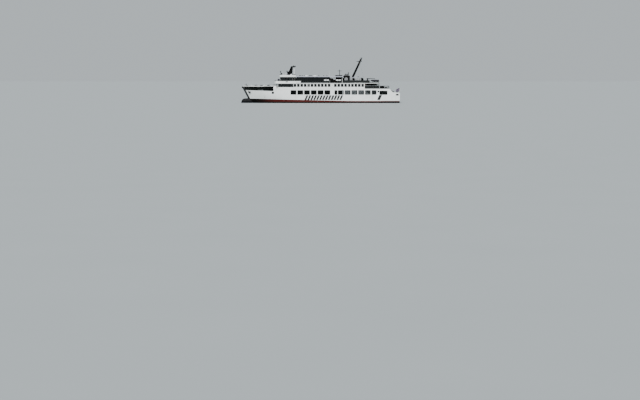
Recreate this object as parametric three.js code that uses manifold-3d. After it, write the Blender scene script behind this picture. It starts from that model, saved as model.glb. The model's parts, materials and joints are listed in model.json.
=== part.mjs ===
// A coastal passenger and vehicle ferry as a 1:2 model, afloat, bow towards +X, port towards +Y, up +Z.
// Every size below is in metres of the real ship, measured from amidships on the centreline at the waterline.
// The group's scale turns them into millimetres of the half-size model.
import * as THREE from "three";
import { mergeVertices } from "three/addons/utils/BufferGeometryUtils.js";
import Module from "manifold-3d";

const wasm = await Module();
wasm.setup();

const MODEL_MM_PER_METRE = 500;
const GAP = 0.002; // between pieces that rest on each other
const WALL = 0.25; // steel side or bulkhead with its frames
const HALF_BEAM = 7.2;
const TRANSOM = -35.1;
const KEEL = -2.9;
const CAR_DECK = 2.2;
const MOORING_DECK = 4.5;
const UPPER_DECK = 6.6;
const FORECASTLE_DECK = 7.6;
const BOAT_DECK = 9.1;
const DECK_THICK = 0.3;
const ROOF_UNDER = 11.65;
const TAU = 2 * Math.PI;
const CLEAR = 12; // reach of a cutter that goes right past a side
const { degToRad } = THREE.MathUtils;

const PAINT = {
  white: { color: 0xe4e8e6, roughness: 0.45, metalness: 0 },
  red: { color: 0x7a2f2a, roughness: 0.6, metalness: 0 },
  deck: { color: 0x4c6a58, roughness: 0.8, metalness: 0 },
  black: { color: 0x101314, roughness: 0.5, metalness: 0 },
  steel: { color: 0x8a8f91, roughness: 0.5, metalness: 0.4 },
  bronze: { color: 0xb08a4a, roughness: 0.35, metalness: 0.9 },
  glass: { color: 0x0c1214, roughness: 0.1, metalness: 0 },
  cloth: { color: 0x8a2f4c, roughness: 0.9, metalness: 0 },
};

const ship = new THREE.Group();
ship.scale.setScalar(MODEL_MM_PER_METRE);

// Solids: a three.js geometry becomes a manifold to be joined or cut, and comes back as a named mesh.
function solid(geometry) {
  const bare = geometry.clone();
  bare.deleteAttribute("normal");
  bare.deleteAttribute("uv");
  const merged = mergeVertices(bare, 1e-5);
  const mesh = new wasm.Mesh({
    numProp: 3,
    vertProperties: merged.attributes.position.array,
    triVerts: new Uint32Array(merged.index.array),
  });
  return new wasm.Manifold(mesh);
}

function geometryOf(body) {
  const mesh = body.getMesh();
  const geometry = new THREE.BufferGeometry();
  geometry.setAttribute("position", new THREE.BufferAttribute(mesh.vertProperties, 3));
  geometry.setIndex(new THREE.BufferAttribute(mesh.triVerts, 1));
  return geometry;
}

function piece(name, body, paint) {
  const mesh = new THREE.Mesh(geometryOf(body), new THREE.MeshStandardMaterial(PAINT[paint]));
  mesh.name = name;
  ship.add(mesh);
}

function mirrored(body) {
  const geometry = geometryOf(body);
  geometry.scale(1, -1, 1);
  const index = geometry.index.array;
  for (let i = 0; i < index.length; i += 3) {
    const second = index[i + 1];
    index[i + 1] = index[i + 2];
    index[i + 2] = second;
  }
  return solid(geometry);
}

// A piece made for the port side and mirrored to starboard.
function pair(name, body, paint) {
  piece(`${name}_port`, body, paint);
  piece(`${name}_starboard`, mirrored(body), paint);
}

const join = (bodies) => bodies.reduce((a, b) => a.add(b));
const cut = (body, cutters) => cutters.reduce((a, b) => a.subtract(b), body);

function box([x0, x1], [y0, y1], [z0, z1]) {
  const geometry = new THREE.BoxGeometry(x1 - x0, y1 - y0, z1 - z0);
  return solid(geometry.translate((x0 + x1) / 2, (y0 + y1) / 2, (z0 + z1) / 2));
}

function extruded(points, depth) {
  const shape = new THREE.Shape(points.map(([a, b]) => new THREE.Vector2(a, b)));
  return new THREE.ExtrudeGeometry(shape, { depth, bevelEnabled: false });
}

// An outline in plan, of [x, y] points, raised from z0 to z1.
const planPrism = (points, z0, z1) => solid(extruded(points, z1 - z0).translate(0, 0, z0));

// A side profile, of [x, z] points, carried across from y0 to y1.
const profilePrism = (points, y0, y1) =>
  solid(extruded(points, y1 - y0).rotateX(Math.PI / 2).translate(0, y1, 0));

function rod(from, to, radius, sides = 8, radiusTo = radius) {
  const a = new THREE.Vector3(...from);
  const b = new THREE.Vector3(...to);
  const along = b.clone().sub(a);
  const geometry = new THREE.CylinderGeometry(radiusTo, radius, along.length(), sides);
  geometry.translate(0, along.length() / 2, 0);
  const turn = new THREE.Quaternion().setFromUnitVectors(new THREE.Vector3(0, 1, 0), along.normalize());
  return solid(geometry.applyQuaternion(turn).translate(a.x, a.y, a.z));
}

// A body through rings of points, all with the same count, placed one after another along the ship.
function loft(rings) {
  const flat = (ring) => ring.map(([, y, z]) => new THREE.Vector2(y, z));
  if (THREE.ShapeUtils.area(flat(rings[0])) < 0) rings = rings.map((ring) => [...ring].reverse());
  const count = rings[0].length;
  const index = [];
  for (let r = 0; r + 1 < rings.length; r++) {
    for (let k = 0; k < count; k++) {
      const a = r * count + k;
      const b = r * count + ((k + 1) % count);
      index.push(a, b, b + count, a, b + count, a + count);
    }
  }
  const last = (rings.length - 1) * count;
  for (const [i, j, k] of THREE.ShapeUtils.triangulateShape(flat(rings[0]), [])) index.push(i, k, j);
  for (const [i, j, k] of THREE.ShapeUtils.triangulateShape(flat(rings.at(-1)), []))
    index.push(last + i, last + j, last + k);
  const backwards = rings[0][0][0] > rings.at(-1)[0][0];
  const geometry = new THREE.BufferGeometry();
  geometry.setAttribute("position", new THREE.Float32BufferAttribute(rings.flat(2), 3));
  geometry.setIndex(backwards ? index.reverse() : index);
  return solid(geometry);
}

// Hull form: full beam aft of FORE_START, then a forebody that narrows to a raked stem, fuller at deck level.
const FORE_START = 8;
const STEM_AT_CAR_DECK = 33.35;
const STEM_RAKE = 0.52;
const STEM_HALF = 0.12;
const NARROW_FROM = -20;
const TRANSOM_NARROWING = 0.35;
const AFT_STATIONS = [TRANSOM, -32.5, -29, -25.5, -20, -16, -12, -2, FORE_START];
const FORE_SHARES = [0.15, 0.3, 0.43, 0.55, 0.66, 0.76, 0.85, 0.92, 0.97, 1];

// The stem rakes up to the upper deck's height and is upright above it.
const stemX = (z) => STEM_AT_CAR_DECK + STEM_RAKE * (Math.min(z, UPPER_DECK) - CAR_DECK);
const fullness = (z) => 2 + (z > 0 ? 0.4 : 0.2) * z;

function halfBreadth(x, z) {
  if (x <= FORE_START) {
    const aft = Math.max(0, (NARROW_FROM - x) / (NARROW_FROM - TRANSOM));
    return HALF_BEAM - TRANSOM_NARROWING * aft ** 2;
  }
  const share = Math.min(1, (x - FORE_START) / (stemX(z) - FORE_START));
  return STEM_HALF + (HALF_BEAM - STEM_HALF) * (1 - share ** fullness(z));
}

// A station is a place x on the aft body, or a share of the forebody whose x follows the stem's rake.
const aftStation = (x) => ({ fore: 0, xAt: () => x });
const foreStation = (fore) => ({ fore, xAt: (z) => FORE_START + fore * (stemX(z) - FORE_START) });

// The bottom is flat to RUN_START, then rises to clear the propellers and meets the transom near the water.
const RUN_START = -12;
const RUN_END = -29;
const TRANSOM_BOTTOM = -0.35;
function bottomAt(x) {
  const share = Math.min(1, Math.max(0, (RUN_START - x) / (RUN_START - RUN_END)));
  return KEEL + (TRANSOM_BOTTOM - KEEL) * share ** 1.3;
}

const BILGE_HEIGHT = 1.8;
const FLAT_SHARE = 0.7;
const BILGE_ANGLES = [0, 30, 60, 90];
function hullRing({ fore, xAt }) {
  const low = bottomAt(xAt(KEEL));
  const high = Math.min(BILGE_HEIGHT + 1.1 * fore, CAR_DECK - 0.7 - low);
  const flat = FLAT_SHARE * (1 - fore);
  const power = 1 + 0.35 * fore; // from a round bilge amidships to a V at the stem
  const side = BILGE_ANGLES.map((degrees) => {
    const a = degToRad(degrees);
    const z = low + high * (1 - Math.cos(a) ** power);
    const y = halfBreadth(xAt(z), z) * (flat + (1 - flat) * Math.sin(a) ** power);
    return [xAt(z), Math.max(y, STEM_HALF / 2), z];
  });
  for (const share of [0.5, 1]) {
    const z = low + high + (CAR_DECK - low - high) * share;
    side.push([xAt(z), halfBreadth(xAt(z), z), z]);
  }
  const other = side.map(([x, y, z]) => [x, -y, z]).reverse();
  return [...side, ...other];
}

// The bulb ahead of the stem: nose rings of [x, share of the full section].
const BULB = { centre: -0.38, halfHeight: 2.48, halfWidth: 1.05, squareness: 0.8, sides: 14 };
const BULB_RINGS = [
  [27, 0.5],
  [31, 0.95],
  [33.5, 1],
  [35.1, 0.94],
  [35.9, 0.76],
  [36.25, 0.45],
  [36.35, 0.12],
];
function bulb() {
  const power = (v) => Math.sign(v) * Math.abs(v) ** BULB.squareness;
  return loft(
    BULB_RINGS.map(([x, share]) =>
      Array.from({ length: BULB.sides }, (_, k) => {
        const a = (k / BULB.sides) * TAU;
        const y = BULB.halfWidth * share * power(Math.cos(a));
        return [x, y, BULB.centre + BULB.halfHeight * share * power(Math.sin(a))];
      }),
    ),
  );
}

// Twin screws: each shaft leaves the hull through a bossing and turns in a bracket ahead of its propeller.
const SHAFT = { y: 3.3, z: -1.75, radius: 0.16, bore: 0.19, start: -22.6 };
const BOSSING = { start: -18, radius: 0.42 };
const BRACKET = { x0: -29.3, x1: -28.7, radius: 0.34, spread: 1.1, strut: 0.16 };
const RUDDER = { x: -32.3, half: 0.16, low: -2.65, high: -0.64, stock: 0.14, head: -0.12 };
const RUDDER_TRUNK = { radius: 0.32, low: -0.56, bore: 0.16 };

function sternGear() {
  const { y, z } = SHAFT;
  const middle = (BRACKET.x0 + BRACKET.x1) / 2;
  const strut = (dy) => rod([middle, y, z], [middle, y + dy, 0], BRACKET.strut, 6);
  const solidGear = join([
    rod([BOSSING.start, y, z], [SHAFT.start - 0.3, y, z], BOSSING.radius, 12),
    rod([BRACKET.x0, y, z], [BRACKET.x1, y, z], BRACKET.radius, 12),
    strut(BRACKET.spread),
    strut(-BRACKET.spread),
    rod([RUDDER.x, y, RUDDER_TRUNK.low], [RUDDER.x, y, 0.3], RUDDER_TRUNK.radius, 12),
  ]);
  const bores = [
    rod([BRACKET.x0 - 0.1, y, z], [SHAFT.start - 0.1, y, z], SHAFT.bore, 12),
    rod([RUDDER.x, y, RUDDER_TRUNK.low - 0.1], [RUDDER.x, y, -0.05], RUDDER_TRUNK.bore, 12),
  ];
  return [solidGear, bores];
}

const SKEG = { half: 0.3, start: -10, end: -26.5, heel: -28.2 };
const BILGE_KEEL = { from: -10, to: 8, y: 6.35, z: -2.2, depth: 0.5, half: 0.04 };
function bilgeKeel() {
  const { from, to, y, z, depth, half } = BILGE_KEEL;
  const plate = new THREE.BoxGeometry(to - from, 2 * depth, 2 * half);
  plate.rotateX(-Math.PI / 4);
  return solid(plate.translate((from + to) / 2, y, z));
}

function lowerHull() {
  const rings = [...AFT_STATIONS.map(aftStation), ...FORE_SHARES.map(foreStation)].map(hullRing);
  const skeg = profilePrism(
    [
      [SKEG.end, KEEL],
      [SKEG.start, KEEL],
      [SKEG.start, KEEL + 0.6],
      [SKEG.heel, 0],
      [SKEG.heel, bottomAt(SKEG.heel) - 0.3],
    ],
    -SKEG.half,
    SKEG.half,
  );
  const [gear, bores] = sternGear();
  const keel = bilgeKeel();
  const body = join([loft(rings), bulb(), skeg, keel, mirrored(keel), gear, mirrored(gear)]);
  return cut(body, [...bores, ...bores.map(mirrored)]);
}
piece("lower_hull", lowerHull(), "red");

// A curved wall that follows the hull's side between two heights, on the port side.
function sidePlate(stations, heights, thick) {
  return loft(
    stations.map(({ xAt }) => {
      const outer = heights.map((z) => [xAt(z), halfBreadth(xAt(z), z), z]);
      const inner = outer.map(([x, y, z]) => [x, Math.max(y - thick, GAP), z]);
      return [...outer, ...inner.reverse()];
    }),
  );
}

// Bow: a solid block up to the mooring deck, then an open shell with a long slot under the forecastle deck.
// The forecastle deck starts at a step ahead of the saloon.
const GARAGE_FRONT = 20;
const BOW_START = GARAGE_FRONT + WALL;
const FORE_STEP = { aft: 21.25, shell: 21.3, fore: 21.45 };
const upperUnder = UPPER_DECK - DECK_THICK - GAP;
const foreUnder = FORECASTLE_DECK - DECK_THICK - GAP;
const SHELL = 0.1; // the bow's plating above the mooring deck
const BOW_SHARES = [0.4, 0.5, 0.6, 0.7, 0.78, 0.85, 0.91, 0.96, 1];

// The anchor hangs flat against the flare below the slot, on a boss of the shell.
const ANCHOR = { x: 32.5, z: 5.2, boss: 0.45, bossOut: 0.06, lean: 0.4 };
const ANCHOR_YAW = Math.atan2(
  halfBreadth(ANCHOR.x - ANCHOR.lean, ANCHOR.z) - halfBreadth(ANCHOR.x + ANCHOR.lean, ANCHOR.z),
  2 * ANCHOR.lean,
);
const ANCHOR_TILT = Math.atan2(
  halfBreadth(ANCHOR.x, ANCHOR.z + ANCHOR.lean) - halfBreadth(ANCHOR.x, ANCHOR.z - ANCHOR.lean),
  2 * ANCHOR.lean,
);
// From a frame with x along the flare, y outwards and z up the flare.
function atAnchor(body) {
  const geometry = geometryOf(body);
  geometry.rotateX(-ANCHOR_TILT).rotateZ(-ANCHOR_YAW);
  return solid(geometry.translate(ANCHOR.x, halfBreadth(ANCHOR.x, ANCHOR.z), ANCHOR.z));
}
const anchorBoss = atAnchor(rod([0, -SHELL / 2, 0], [0, ANCHOR.bossOut, 0], ANCHOR.boss, 12));

const MOORING_WALL = { foreLow: 34.1, fore: 34.95, half: 0.075 };
const WINDLASS_NOTCH = { aft: 26.4, fore: 28.8, top: 5.8 };
function bowBlock() {
  const heights = [CAR_DECK + GAP, (CAR_DECK + MOORING_DECK) / 2, MOORING_DECK];
  const rings = BOW_SHARES.map(foreStation).map(({ xAt }) => {
    const side = heights.map((z) => [xAt(z), halfBreadth(xAt(z), z), z]);
    return [...side, ...side.map(([x, y, z]) => [x, -y, z]).reverse()];
  });
  const abaft = box([0, GARAGE_FRONT], [-CLEAR, CLEAR], [0, CLEAR]);
  const side = halfBreadth(GARAGE_FRONT, CAR_DECK) - WALL - 0.02;
  const span = [GARAGE_FRONT - WALL, GARAGE_FRONT + WALL];
  const bulkhead = box(span, [-side, side], [CAR_DECK + GAP, upperUnder]);
  return join([cut(loft(rings), [abaft]), bulkhead, mooringWall()]);
}

// The wall on the centreline of the mooring deck stops round the windlass.
function mooringWall() {
  const { foreLow, fore, half } = MOORING_WALL;
  const notch = WINDLASS_NOTCH;
  const foot = MOORING_DECK - 0.1;
  const step = FORE_STEP.fore + GAP;
  const profile = [
    [GARAGE_FRONT, foot],
    [notch.aft, foot],
    [notch.aft, notch.top],
    [notch.fore, notch.top],
    [notch.fore, foot],
    [foreLow, foot],
    [fore, foreUnder],
    [step, foreUnder],
    [step, upperUnder],
    [GARAGE_FRONT, upperUnder],
  ];
  return profilePrism(profile, -half, half);
}
piece("bow_block", bowBlock(), "white");

const FLUKE = [
  [0.28, -0.36],
  [0.65, -0.36],
  [0.48, 0.24],
];
const fluke = profilePrism(FLUKE, 0.14, 0.3);
const otherFluke = profilePrism(FLUKE.map(([x, z]) => [-x, z]), 0.14, 0.3);
const anchor = atAnchor(
  join([
    box([-0.1, 0.1], [0.1, 0.28], [-0.48, 0.48]),
    box([-0.65, 0.65], [0.1, 0.36], [-0.58, -0.34]),
    box([-0.06, 0.06], [ANCHOR.bossOut + GAP, 0.2], [0.24, 0.36]),
    fluke,
    otherFluke,
  ]),
);
pair("anchor", anchor, "black");

const SLOT = { aft: 21.6, fore: 34.45, lowAft: 5.4, lowFore: 5.85, top: FORECASTLE_DECK, corner: 0.45 };
function slotProfile() {
  const r = SLOT.corner;
  const corner = [0, 30, 60, 90].map((degrees) => {
    const a = degToRad(degrees);
    return [SLOT.aft + r - r * Math.cos(a), SLOT.lowAft + r - r * Math.sin(a)];
  });
  const fore = [
    [SLOT.fore, SLOT.lowFore],
    [SLOT.fore, SLOT.top],
  ];
  return [[SLOT.aft, SLOT.top], ...corner, ...fore];
}

function bowShell() {
  const rings = BOW_SHARES.map(foreStation).map(({ xAt }) => {
    const heights = [MOORING_DECK + GAP, (MOORING_DECK + UPPER_DECK) / 2, UPPER_DECK, foreUnder];
    const outer = heights.map((z) => [xAt(z), halfBreadth(xAt(z), z), z]);
    const inner = outer.map(([x, y, z]) => [x, Math.max(y - SHELL, GAP), z]);
    return [...outer, ...inner.reverse()];
  });
  const abaft = box([0, BOW_START], [-CLEAR, CLEAR], [0, CLEAR]);
  const overWell = box([0, FORE_STEP.shell], [-CLEAR, CLEAR], [upperUnder, CLEAR]);
  return cut(loft(rings), [abaft, overWell, profilePrism(slotProfile(), SHELL, CLEAR)]).add(anchorBoss);
}
pair("bow_shell", bowShell(), "white");

const deckSection = (x, y, low, high) => [
  [x, -y, low],
  [x, y, low],
  [x, y, high],
  [x, -y, high],
];
const FENDER = { length: 0.4, half: 0.5, low: 6.62, joint: 7.33, high: 7.52 };
function bowFender() {
  const stem = stemX(FORECASTLE_DECK);
  const nose = (back) =>
    [0, 30, 60, 90, 120, 150, 180].map((degrees) => {
      const a = degToRad(degrees);
      return [back + FENDER.length * Math.sin(a), FENDER.half * Math.cos(a)];
    });
  const hanging = planPrism(nose(stem + 0.02), FENDER.low, FENDER.joint);
  return join([hanging, planPrism(nose(stem - 0.05), FENDER.joint - 0.02, FENDER.high)]);
}
const FORECASTLE_SHARES = [0.45, 0.52, 0.62, 0.72, 0.8, 0.87, 0.93, 0.97, 1];
function raisedDeck() {
  const rings = FORECASTLE_SHARES.map(foreStation).map(({ xAt }) => {
    const x = xAt(FORECASTLE_DECK);
    const y = halfBreadth(x, FORECASTLE_DECK);
    return deckSection(x, y, FORECASTLE_DECK - DECK_THICK, FORECASTLE_DECK);
  });
  return cut(loft(rings), [box([0, FORE_STEP.aft], [-CLEAR, CLEAR], [0, CLEAR])]);
}

// The well between the saloon and the step: its deck, its bulwarks and the step's wall.
const WELL = { fore: FORE_STEP.shell - GAP, bulwark: 0.2, top: 7.58 };
function well() {
  const stations = [BOW_START + GAP, WELL.fore];
  const low = UPPER_DECK - DECK_THICK;
  const half = halfBreadth(FORE_STEP.fore, upperUnder) - SHELL - 0.02;
  const wall = box([FORE_STEP.aft, FORE_STEP.fore], [-half, half], [low, foreUnder + 0.1]);
  const ends = [stations[0] + 0.15, WELL.fore].map(aftStation);
  const bulwark = sidePlate(ends, [UPPER_DECK - 0.1, WELL.top], WELL.bulwark);
  return join([deckPlate(stations, low, UPPER_DECK), wall, bulwark, mirrored(bulwark)]);
}

function deckPlate(stations, low, high) {
  return loft(
    stations.map((x) => {
      const y = halfBreadth(x, UPPER_DECK);
      return deckSection(x, y, low, high);
    }),
  );
}
piece("forecastle_deck", join([raisedDeck(), well(), bowFender()]), "deck");

// Garage: side walls with big openings, a front bulkhead, casings inside, and the upper deck as its roof.
const OPENING = { low: 3.8, high: 5.75, width: 2.35, pitch: 3.03, first: 12.55 };
const evenly = [0, 1, 2, 3, 4, 5, 7, 8, 9, 10];
const openings = evenly.map((k) => [OPENING.first - k * OPENING.pitch, OPENING.width]);
// Three more of their own width: middle, width.
openings.push([-6.45, 1.0], [-20.75, 2.25], [-23.55, 1.9]);
const MOORING_WINDOW = { x0: -29.5, x1: -26.3, low: 3.75, high: 5.5 };
const SCUTTLE = { x0: -25.7, x1: -25.2, low: 4.85, high: 5.5 };
const QUARTER = { start: -24.95, top: 4.25, sweep: 6.5 }; // the stern's own shell and its bulwark
const MOORING_ROOM = { x0: -30.2, x1: -25.0, y: 4.4, wall: 0.15 };
const RAMP = { half: 2.75, thick: 0.16, hingeX: -35.02, hingeZ: 2.42, foot: 2.34, top: 4.2, sill: 2.3 };
const garageFoot = CAR_DECK + GAP;
const garageHead = upperUnder;
const shellHeights = [garageFoot, 4.2, garageHead];

function sideShell() {
  const stations = [QUARTER.start, -20, FORE_START, 11, 14, 17, GARAGE_FRONT - GAP];
  const holes = openings.map(([x, width]) =>
    box([x - width / 2, x + width / 2], [5, 9], [OPENING.low, OPENING.high]),
  );
  return cut(sidePlate(stations.map(aftStation), shellHeights, WALL), holes);
}
pair("side_shell", sideShell(), "white");

const UPPER_DECK_AFT = -30.4;
const wing = [TRANSOM, TRANSOM + WALL];

// One side of the stern: shell swept down to the bulwark, mooring room, and the transom beside the ramp.
function quarter() {
  const stations = [TRANSOM, -32, -29, QUARTER.start - GAP];
  const shell = sidePlate(stations.map(aftStation), shellHeights, WALL);
  const sweep = new THREE.QuadraticBezierCurve(
    new THREE.Vector2(UPPER_DECK_AFT, QUARTER.sweep),
    new THREE.Vector2(-31.3, 4.7),
    new THREE.Vector2(TRANSOM - 0.1, QUARTER.top),
  );
  const swept = sweep.getPoints(8).map(({ x, y }) => [x, y]);
  const above = [[UPPER_DECK_AFT, BOAT_DECK], ...swept, [TRANSOM - 0.1, BOAT_DECK]];
  const { x0, x1, y, wall } = MOORING_ROOM;
  const rooms = [
    box([x0, x1], [y, y + wall], [garageFoot, garageHead]),
    box([x1 - wall, x1], [y, 7.0], [garageFoot, garageHead]),
    box(wing, [RAMP.half + 0.05, halfBreadth(TRANSOM, CAR_DECK) - 0.1], [garageFoot, QUARTER.top]),
  ];
  const windows = [MOORING_WINDOW, SCUTTLE].map((w) => box([w.x0, w.x1], [6, 9], [w.low, w.high]));
  return cut(join([cut(shell, [profilePrism(above, 5, 9)]), ...rooms]), windows);
}
const portQuarter = quarter();
const sill = box(wing, [-RAMP.half - 0.2, RAMP.half + 0.2], [garageFoot, RAMP.sill]);
piece("stern_shell", join([portQuarter, mirrored(portQuarter), sill]), "white");

const CASING = { x0: -9.5, x1: 14.2, half: 1.0 };
const STAIR = { inner: 5.6, outer: 6.8 };
const STAIR_TOP = [-22.6, -19.9];
const STAIR_FOOT = [-24.6, -23.2];
const upperDeck = deckPlate(
  [UPPER_DECK_AFT, -25, -20, FORE_START, 12, 16, BOW_START],
  UPPER_DECK - DECK_THICK,
  UPPER_DECK,
);
const casing = box([CASING.x0, CASING.x1], [-CASING.half, CASING.half], [garageFoot, UPPER_DECK - 0.1]);
const stairTrunk = profilePrism(
  [
    [STAIR_TOP[1], UPPER_DECK - 0.1],
    [STAIR_TOP[0], UPPER_DECK - 0.1],
    [STAIR_FOOT[0], garageFoot],
    [STAIR_FOOT[1], garageFoot],
  ],
  STAIR.inner,
  STAIR.outer,
);
piece("upper_deck", join([upperDeck, casing, stairTrunk, mirrored(stairTrunk)]), "deck");

// Stern ramp: a lower panel and a flap that folds in against it.
const HINGE_RADIUS = 0.08;
const acrossRamp = (x, z) => rod([x, -RAMP.half, z], [x, RAMP.half, z], HINGE_RADIUS, 10);
const rampWidth = [-RAMP.half, RAMP.half];
const rampPanel = box([TRANSOM, TRANSOM + RAMP.thick], rampWidth, [RAMP.foot, RAMP.top]);
piece("ramp_panel", rampPanel.add(acrossRamp(RAMP.hingeX, RAMP.hingeZ)), "steel");

const FLAP = { x: -34.88, foot: 2.4, hingeX: -34.91, armWidth: 0.2, arms: [-2.2, 2.0] };
const flapPanel = box([FLAP.x, FLAP.x + RAMP.thick], rampWidth, [FLAP.foot, RAMP.top - 0.02]);
const flapArms = FLAP.arms.map((y) =>
  box([FLAP.x - 0.02, FLAP.x + 0.08], [y, y + FLAP.armWidth], [RAMP.top - 0.2, RAMP.top + 0.12]),
);
piece("ramp_flap", join([flapPanel, ...flapArms, acrossRamp(FLAP.hingeX, RAMP.top + 0.09)]), "steel");

// Screws and rudders.
const PROPELLER = { x: -30.1, hub: 0.27, hubAft: 0.18, hubLength: 0.66, blades: 4 };
const BLADE_SECTIONS = [
  // radius, chord, thickness, pitch angle in degrees
  [0.2, 0.36, 0.09, 62],
  [0.5, 0.56, 0.06, 42],
  [0.8, 0.6, 0.045, 31],
  [0.98, 0.3, 0.03, 26],
];
function propeller() {
  const blade = loft(
    BLADE_SECTIONS.map(([radius, chord, thick, pitch]) => {
      const a = degToRad(pitch);
      const outline = [
        [-chord / 2, 0],
        [0, -thick / 2],
        [chord / 2, 0],
        [0, thick / 2],
      ];
      return outline.map(([c, t]) => [
        radius,
        c * Math.cos(a) - t * Math.sin(a),
        c * Math.sin(a) + t * Math.cos(a),
      ]);
    }),
  );
  const standing = geometryOf(blade).rotateY(-Math.PI / 2);
  const blades = Array.from({ length: PROPELLER.blades }, (_, k) =>
    solid(standing.clone().rotateX((k / PROPELLER.blades) * TAU)),
  );
  const { hub, hubAft, hubLength } = PROPELLER;
  const boss = rod([-hubLength / 2, 0, 0], [hubLength / 2, 0, 0], hubAft, 12, hub);
  const whole = geometryOf(join([boss, ...blades]));
  const shaft = rod([PROPELLER.x, SHAFT.y, SHAFT.z], [SHAFT.start - 0.3, SHAFT.y, SHAFT.z], SHAFT.radius, 12);
  return solid(whole.translate(PROPELLER.x, SHAFT.y, SHAFT.z)).add(shaft);
}
pair("propeller", propeller(), "bronze");

const FOIL = [
  // along the chord from the stock, share of the half thickness
  [0.62, 0],
  [0.45, 0.75],
  [0, 1],
  [-0.6, 0.7],
  [-1.25, 0.1],
];
function rudder() {
  const outline = [...FOIL, ...FOIL.slice(1).map(([x, y]) => [x, -y]).reverse()];
  const place = ([x, y]) => [RUDDER.x + x, SHAFT.y + RUDDER.half * y];
  const blade = planPrism(outline.map(place), RUDDER.low, RUDDER.high);
  const axis = (z) => [RUDDER.x, SHAFT.y, z];
  return blade.add(rod(axis(RUDDER.high - 0.3), axis(RUDDER.head), RUDDER.stock, 12));
}
pair("rudder", rudder(), "red");

// Saloon on the upper deck: flush sides, a faceted front with a band of windows, an aft bulkhead with doors.
const SALOON = { side: 7.1, aft: -19.35, fore: 19.5, nose: 20.2, noseHalf: 4.2 };
const saloonFoot = UPPER_DECK + GAP;
const saloonHead = BOAT_DECK - DECK_THICK - GAP;
const BAND = { low: 7.3, high: 8.6, aft: 12.75 };
const frontLine = (offset) => [
  [SALOON.fore - offset, -SALOON.side + WALL + GAP],
  [SALOON.nose - offset, -SALOON.noseHalf],
  [SALOON.nose - offset, SALOON.noseHalf],
  [SALOON.fore - offset, SALOON.side - WALL - GAP],
];
const bandPosts = (from, to, pitch) => {
  const count = Math.round((to - from) / pitch);
  return Array.from({ length: count }, (_, k) => from + ((to - from) * (k + 0.5)) / count);
};

function saloonSide() {
  const wall = box([SALOON.aft, SALOON.fore], [SALOON.side - WALL, SALOON.side], [saloonFoot, saloonHead]);
  const panes = bandPosts(BAND.aft, SALOON.fore - 0.15, 1.65).map((x) =>
    box([x - 0.76, x + 0.76], [5, 9], [BAND.low, BAND.high]),
  );
  return cut(wall, panes);
}
pair("saloon_side", saloonSide(), "white");

function saloonFront() {
  const wall = planPrism([...frontLine(0), ...frontLine(WALL).reverse()], saloonFoot, saloonHead);
  const panes = bandPosts(-SALOON.side + WALL, SALOON.side - WALL, 1.55).map((y) =>
    box([17, 22], [y - 0.7, y + 0.7], [BAND.low, BAND.high]),
  );
  return cut(wall, panes);
}
piece("saloon_front", saloonFront(), "white");

const GLASS_BACK = 0.04;
function saloonGlass() {
  const set = WALL + GAP;
  const line = (offset) => [
    [BAND.aft - 0.1, -SALOON.side + set + offset],
    [SALOON.fore - set - offset, -SALOON.side + set + offset],
    [SALOON.nose - set - offset, -SALOON.noseHalf + offset * 0.5],
    [SALOON.nose - set - offset, SALOON.noseHalf - offset * 0.5],
    [SALOON.fore - set - offset, SALOON.side - set - offset],
    [BAND.aft - 0.1, SALOON.side - set - offset],
  ];
  return planPrism([...line(GAP), ...line(GLASS_BACK + GAP).reverse()], BAND.low - 0.1, BAND.high + 0.1);
}
piece("saloon_glass", saloonGlass(), "glass");

const DOOR = { width: 0.9, sill: 0.15, height: 1.8, thick: 0.08, y: 4.6 };
const doorZ = [UPPER_DECK + DOOR.sill, UPPER_DECK + DOOR.sill + DOOR.height];
const doorway = (y) => box([-21, -18], [y - DOOR.width / 2, y + DOOR.width / 2], doorZ);
piece(
  "saloon_aft_bulkhead",
  cut(
    box(
      [SALOON.aft, SALOON.aft + WALL],
      [-SALOON.side + WALL + GAP, SALOON.side - WALL - GAP],
      [saloonFoot, saloonHead],
    ),
    [doorway(DOOR.y), doorway(-DOOR.y)],
  ),
  "white",
);
const DOOR_CLEARANCE = 0.02;
pair(
  "saloon_door",
  box(
    [SALOON.aft, SALOON.aft + DOOR.thick],
    [DOOR.y - DOOR.width / 2 + DOOR_CLEARANCE, DOOR.y + DOOR.width / 2 - DOOR_CLEARANCE],
    [doorZ[0] + DOOR_CLEARANCE, doorZ[1] - DOOR_CLEARANCE],
  ),
  "white",
);

// Boat deck, the bridge front and its wings.
const BOAT_DECK_AFT = -25.9;
const BOAT_DECK_FORE = 20.4;
const BOAT_DECK_NOSE = 21.1;
const deckOutline = (inset) => [
  [BOAT_DECK_AFT, -HALF_BEAM + inset],
  [BOAT_DECK_FORE - inset, -HALF_BEAM + inset],
  [BOAT_DECK_NOSE - inset, -SALOON.noseHalf],
  [BOAT_DECK_NOSE - inset, SALOON.noseHalf],
  [BOAT_DECK_FORE - inset, HALF_BEAM - inset],
  [BOAT_DECK_AFT, HALF_BEAM - inset],
];
piece("boat_deck", planPrism(deckOutline(0), BOAT_DECK - DECK_THICK, BOAT_DECK), "deck");

const BRIDGE_BULWARK = { aft: 9.3, top: 9.75, rail: 10.28, thick: 0.12 };
function bridgeBulwark() {
  const abaft = box([-40, BRIDGE_BULWARK.aft], [-9, 9], [0, 20]);
  const wall = planPrism(deckOutline(0.02), BOAT_DECK + GAP, BRIDGE_BULWARK.top);
  const room = planPrism(deckOutline(0.02 + BRIDGE_BULWARK.thick), BOAT_DECK - 1, BRIDGE_BULWARK.top + 1);
  const line = deckOutline(0.08).slice(1, 5);
  const wings = [[15.6, line[0][1]], ...line, [15.6, line[3][1]]];
  const rail = railing(wings, BRIDGE_BULWARK.top - 0.05, [BRIDGE_BULWARK.rail], 1.9);
  return cut(wall, [room, abaft]).add(rail);
}

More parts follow.
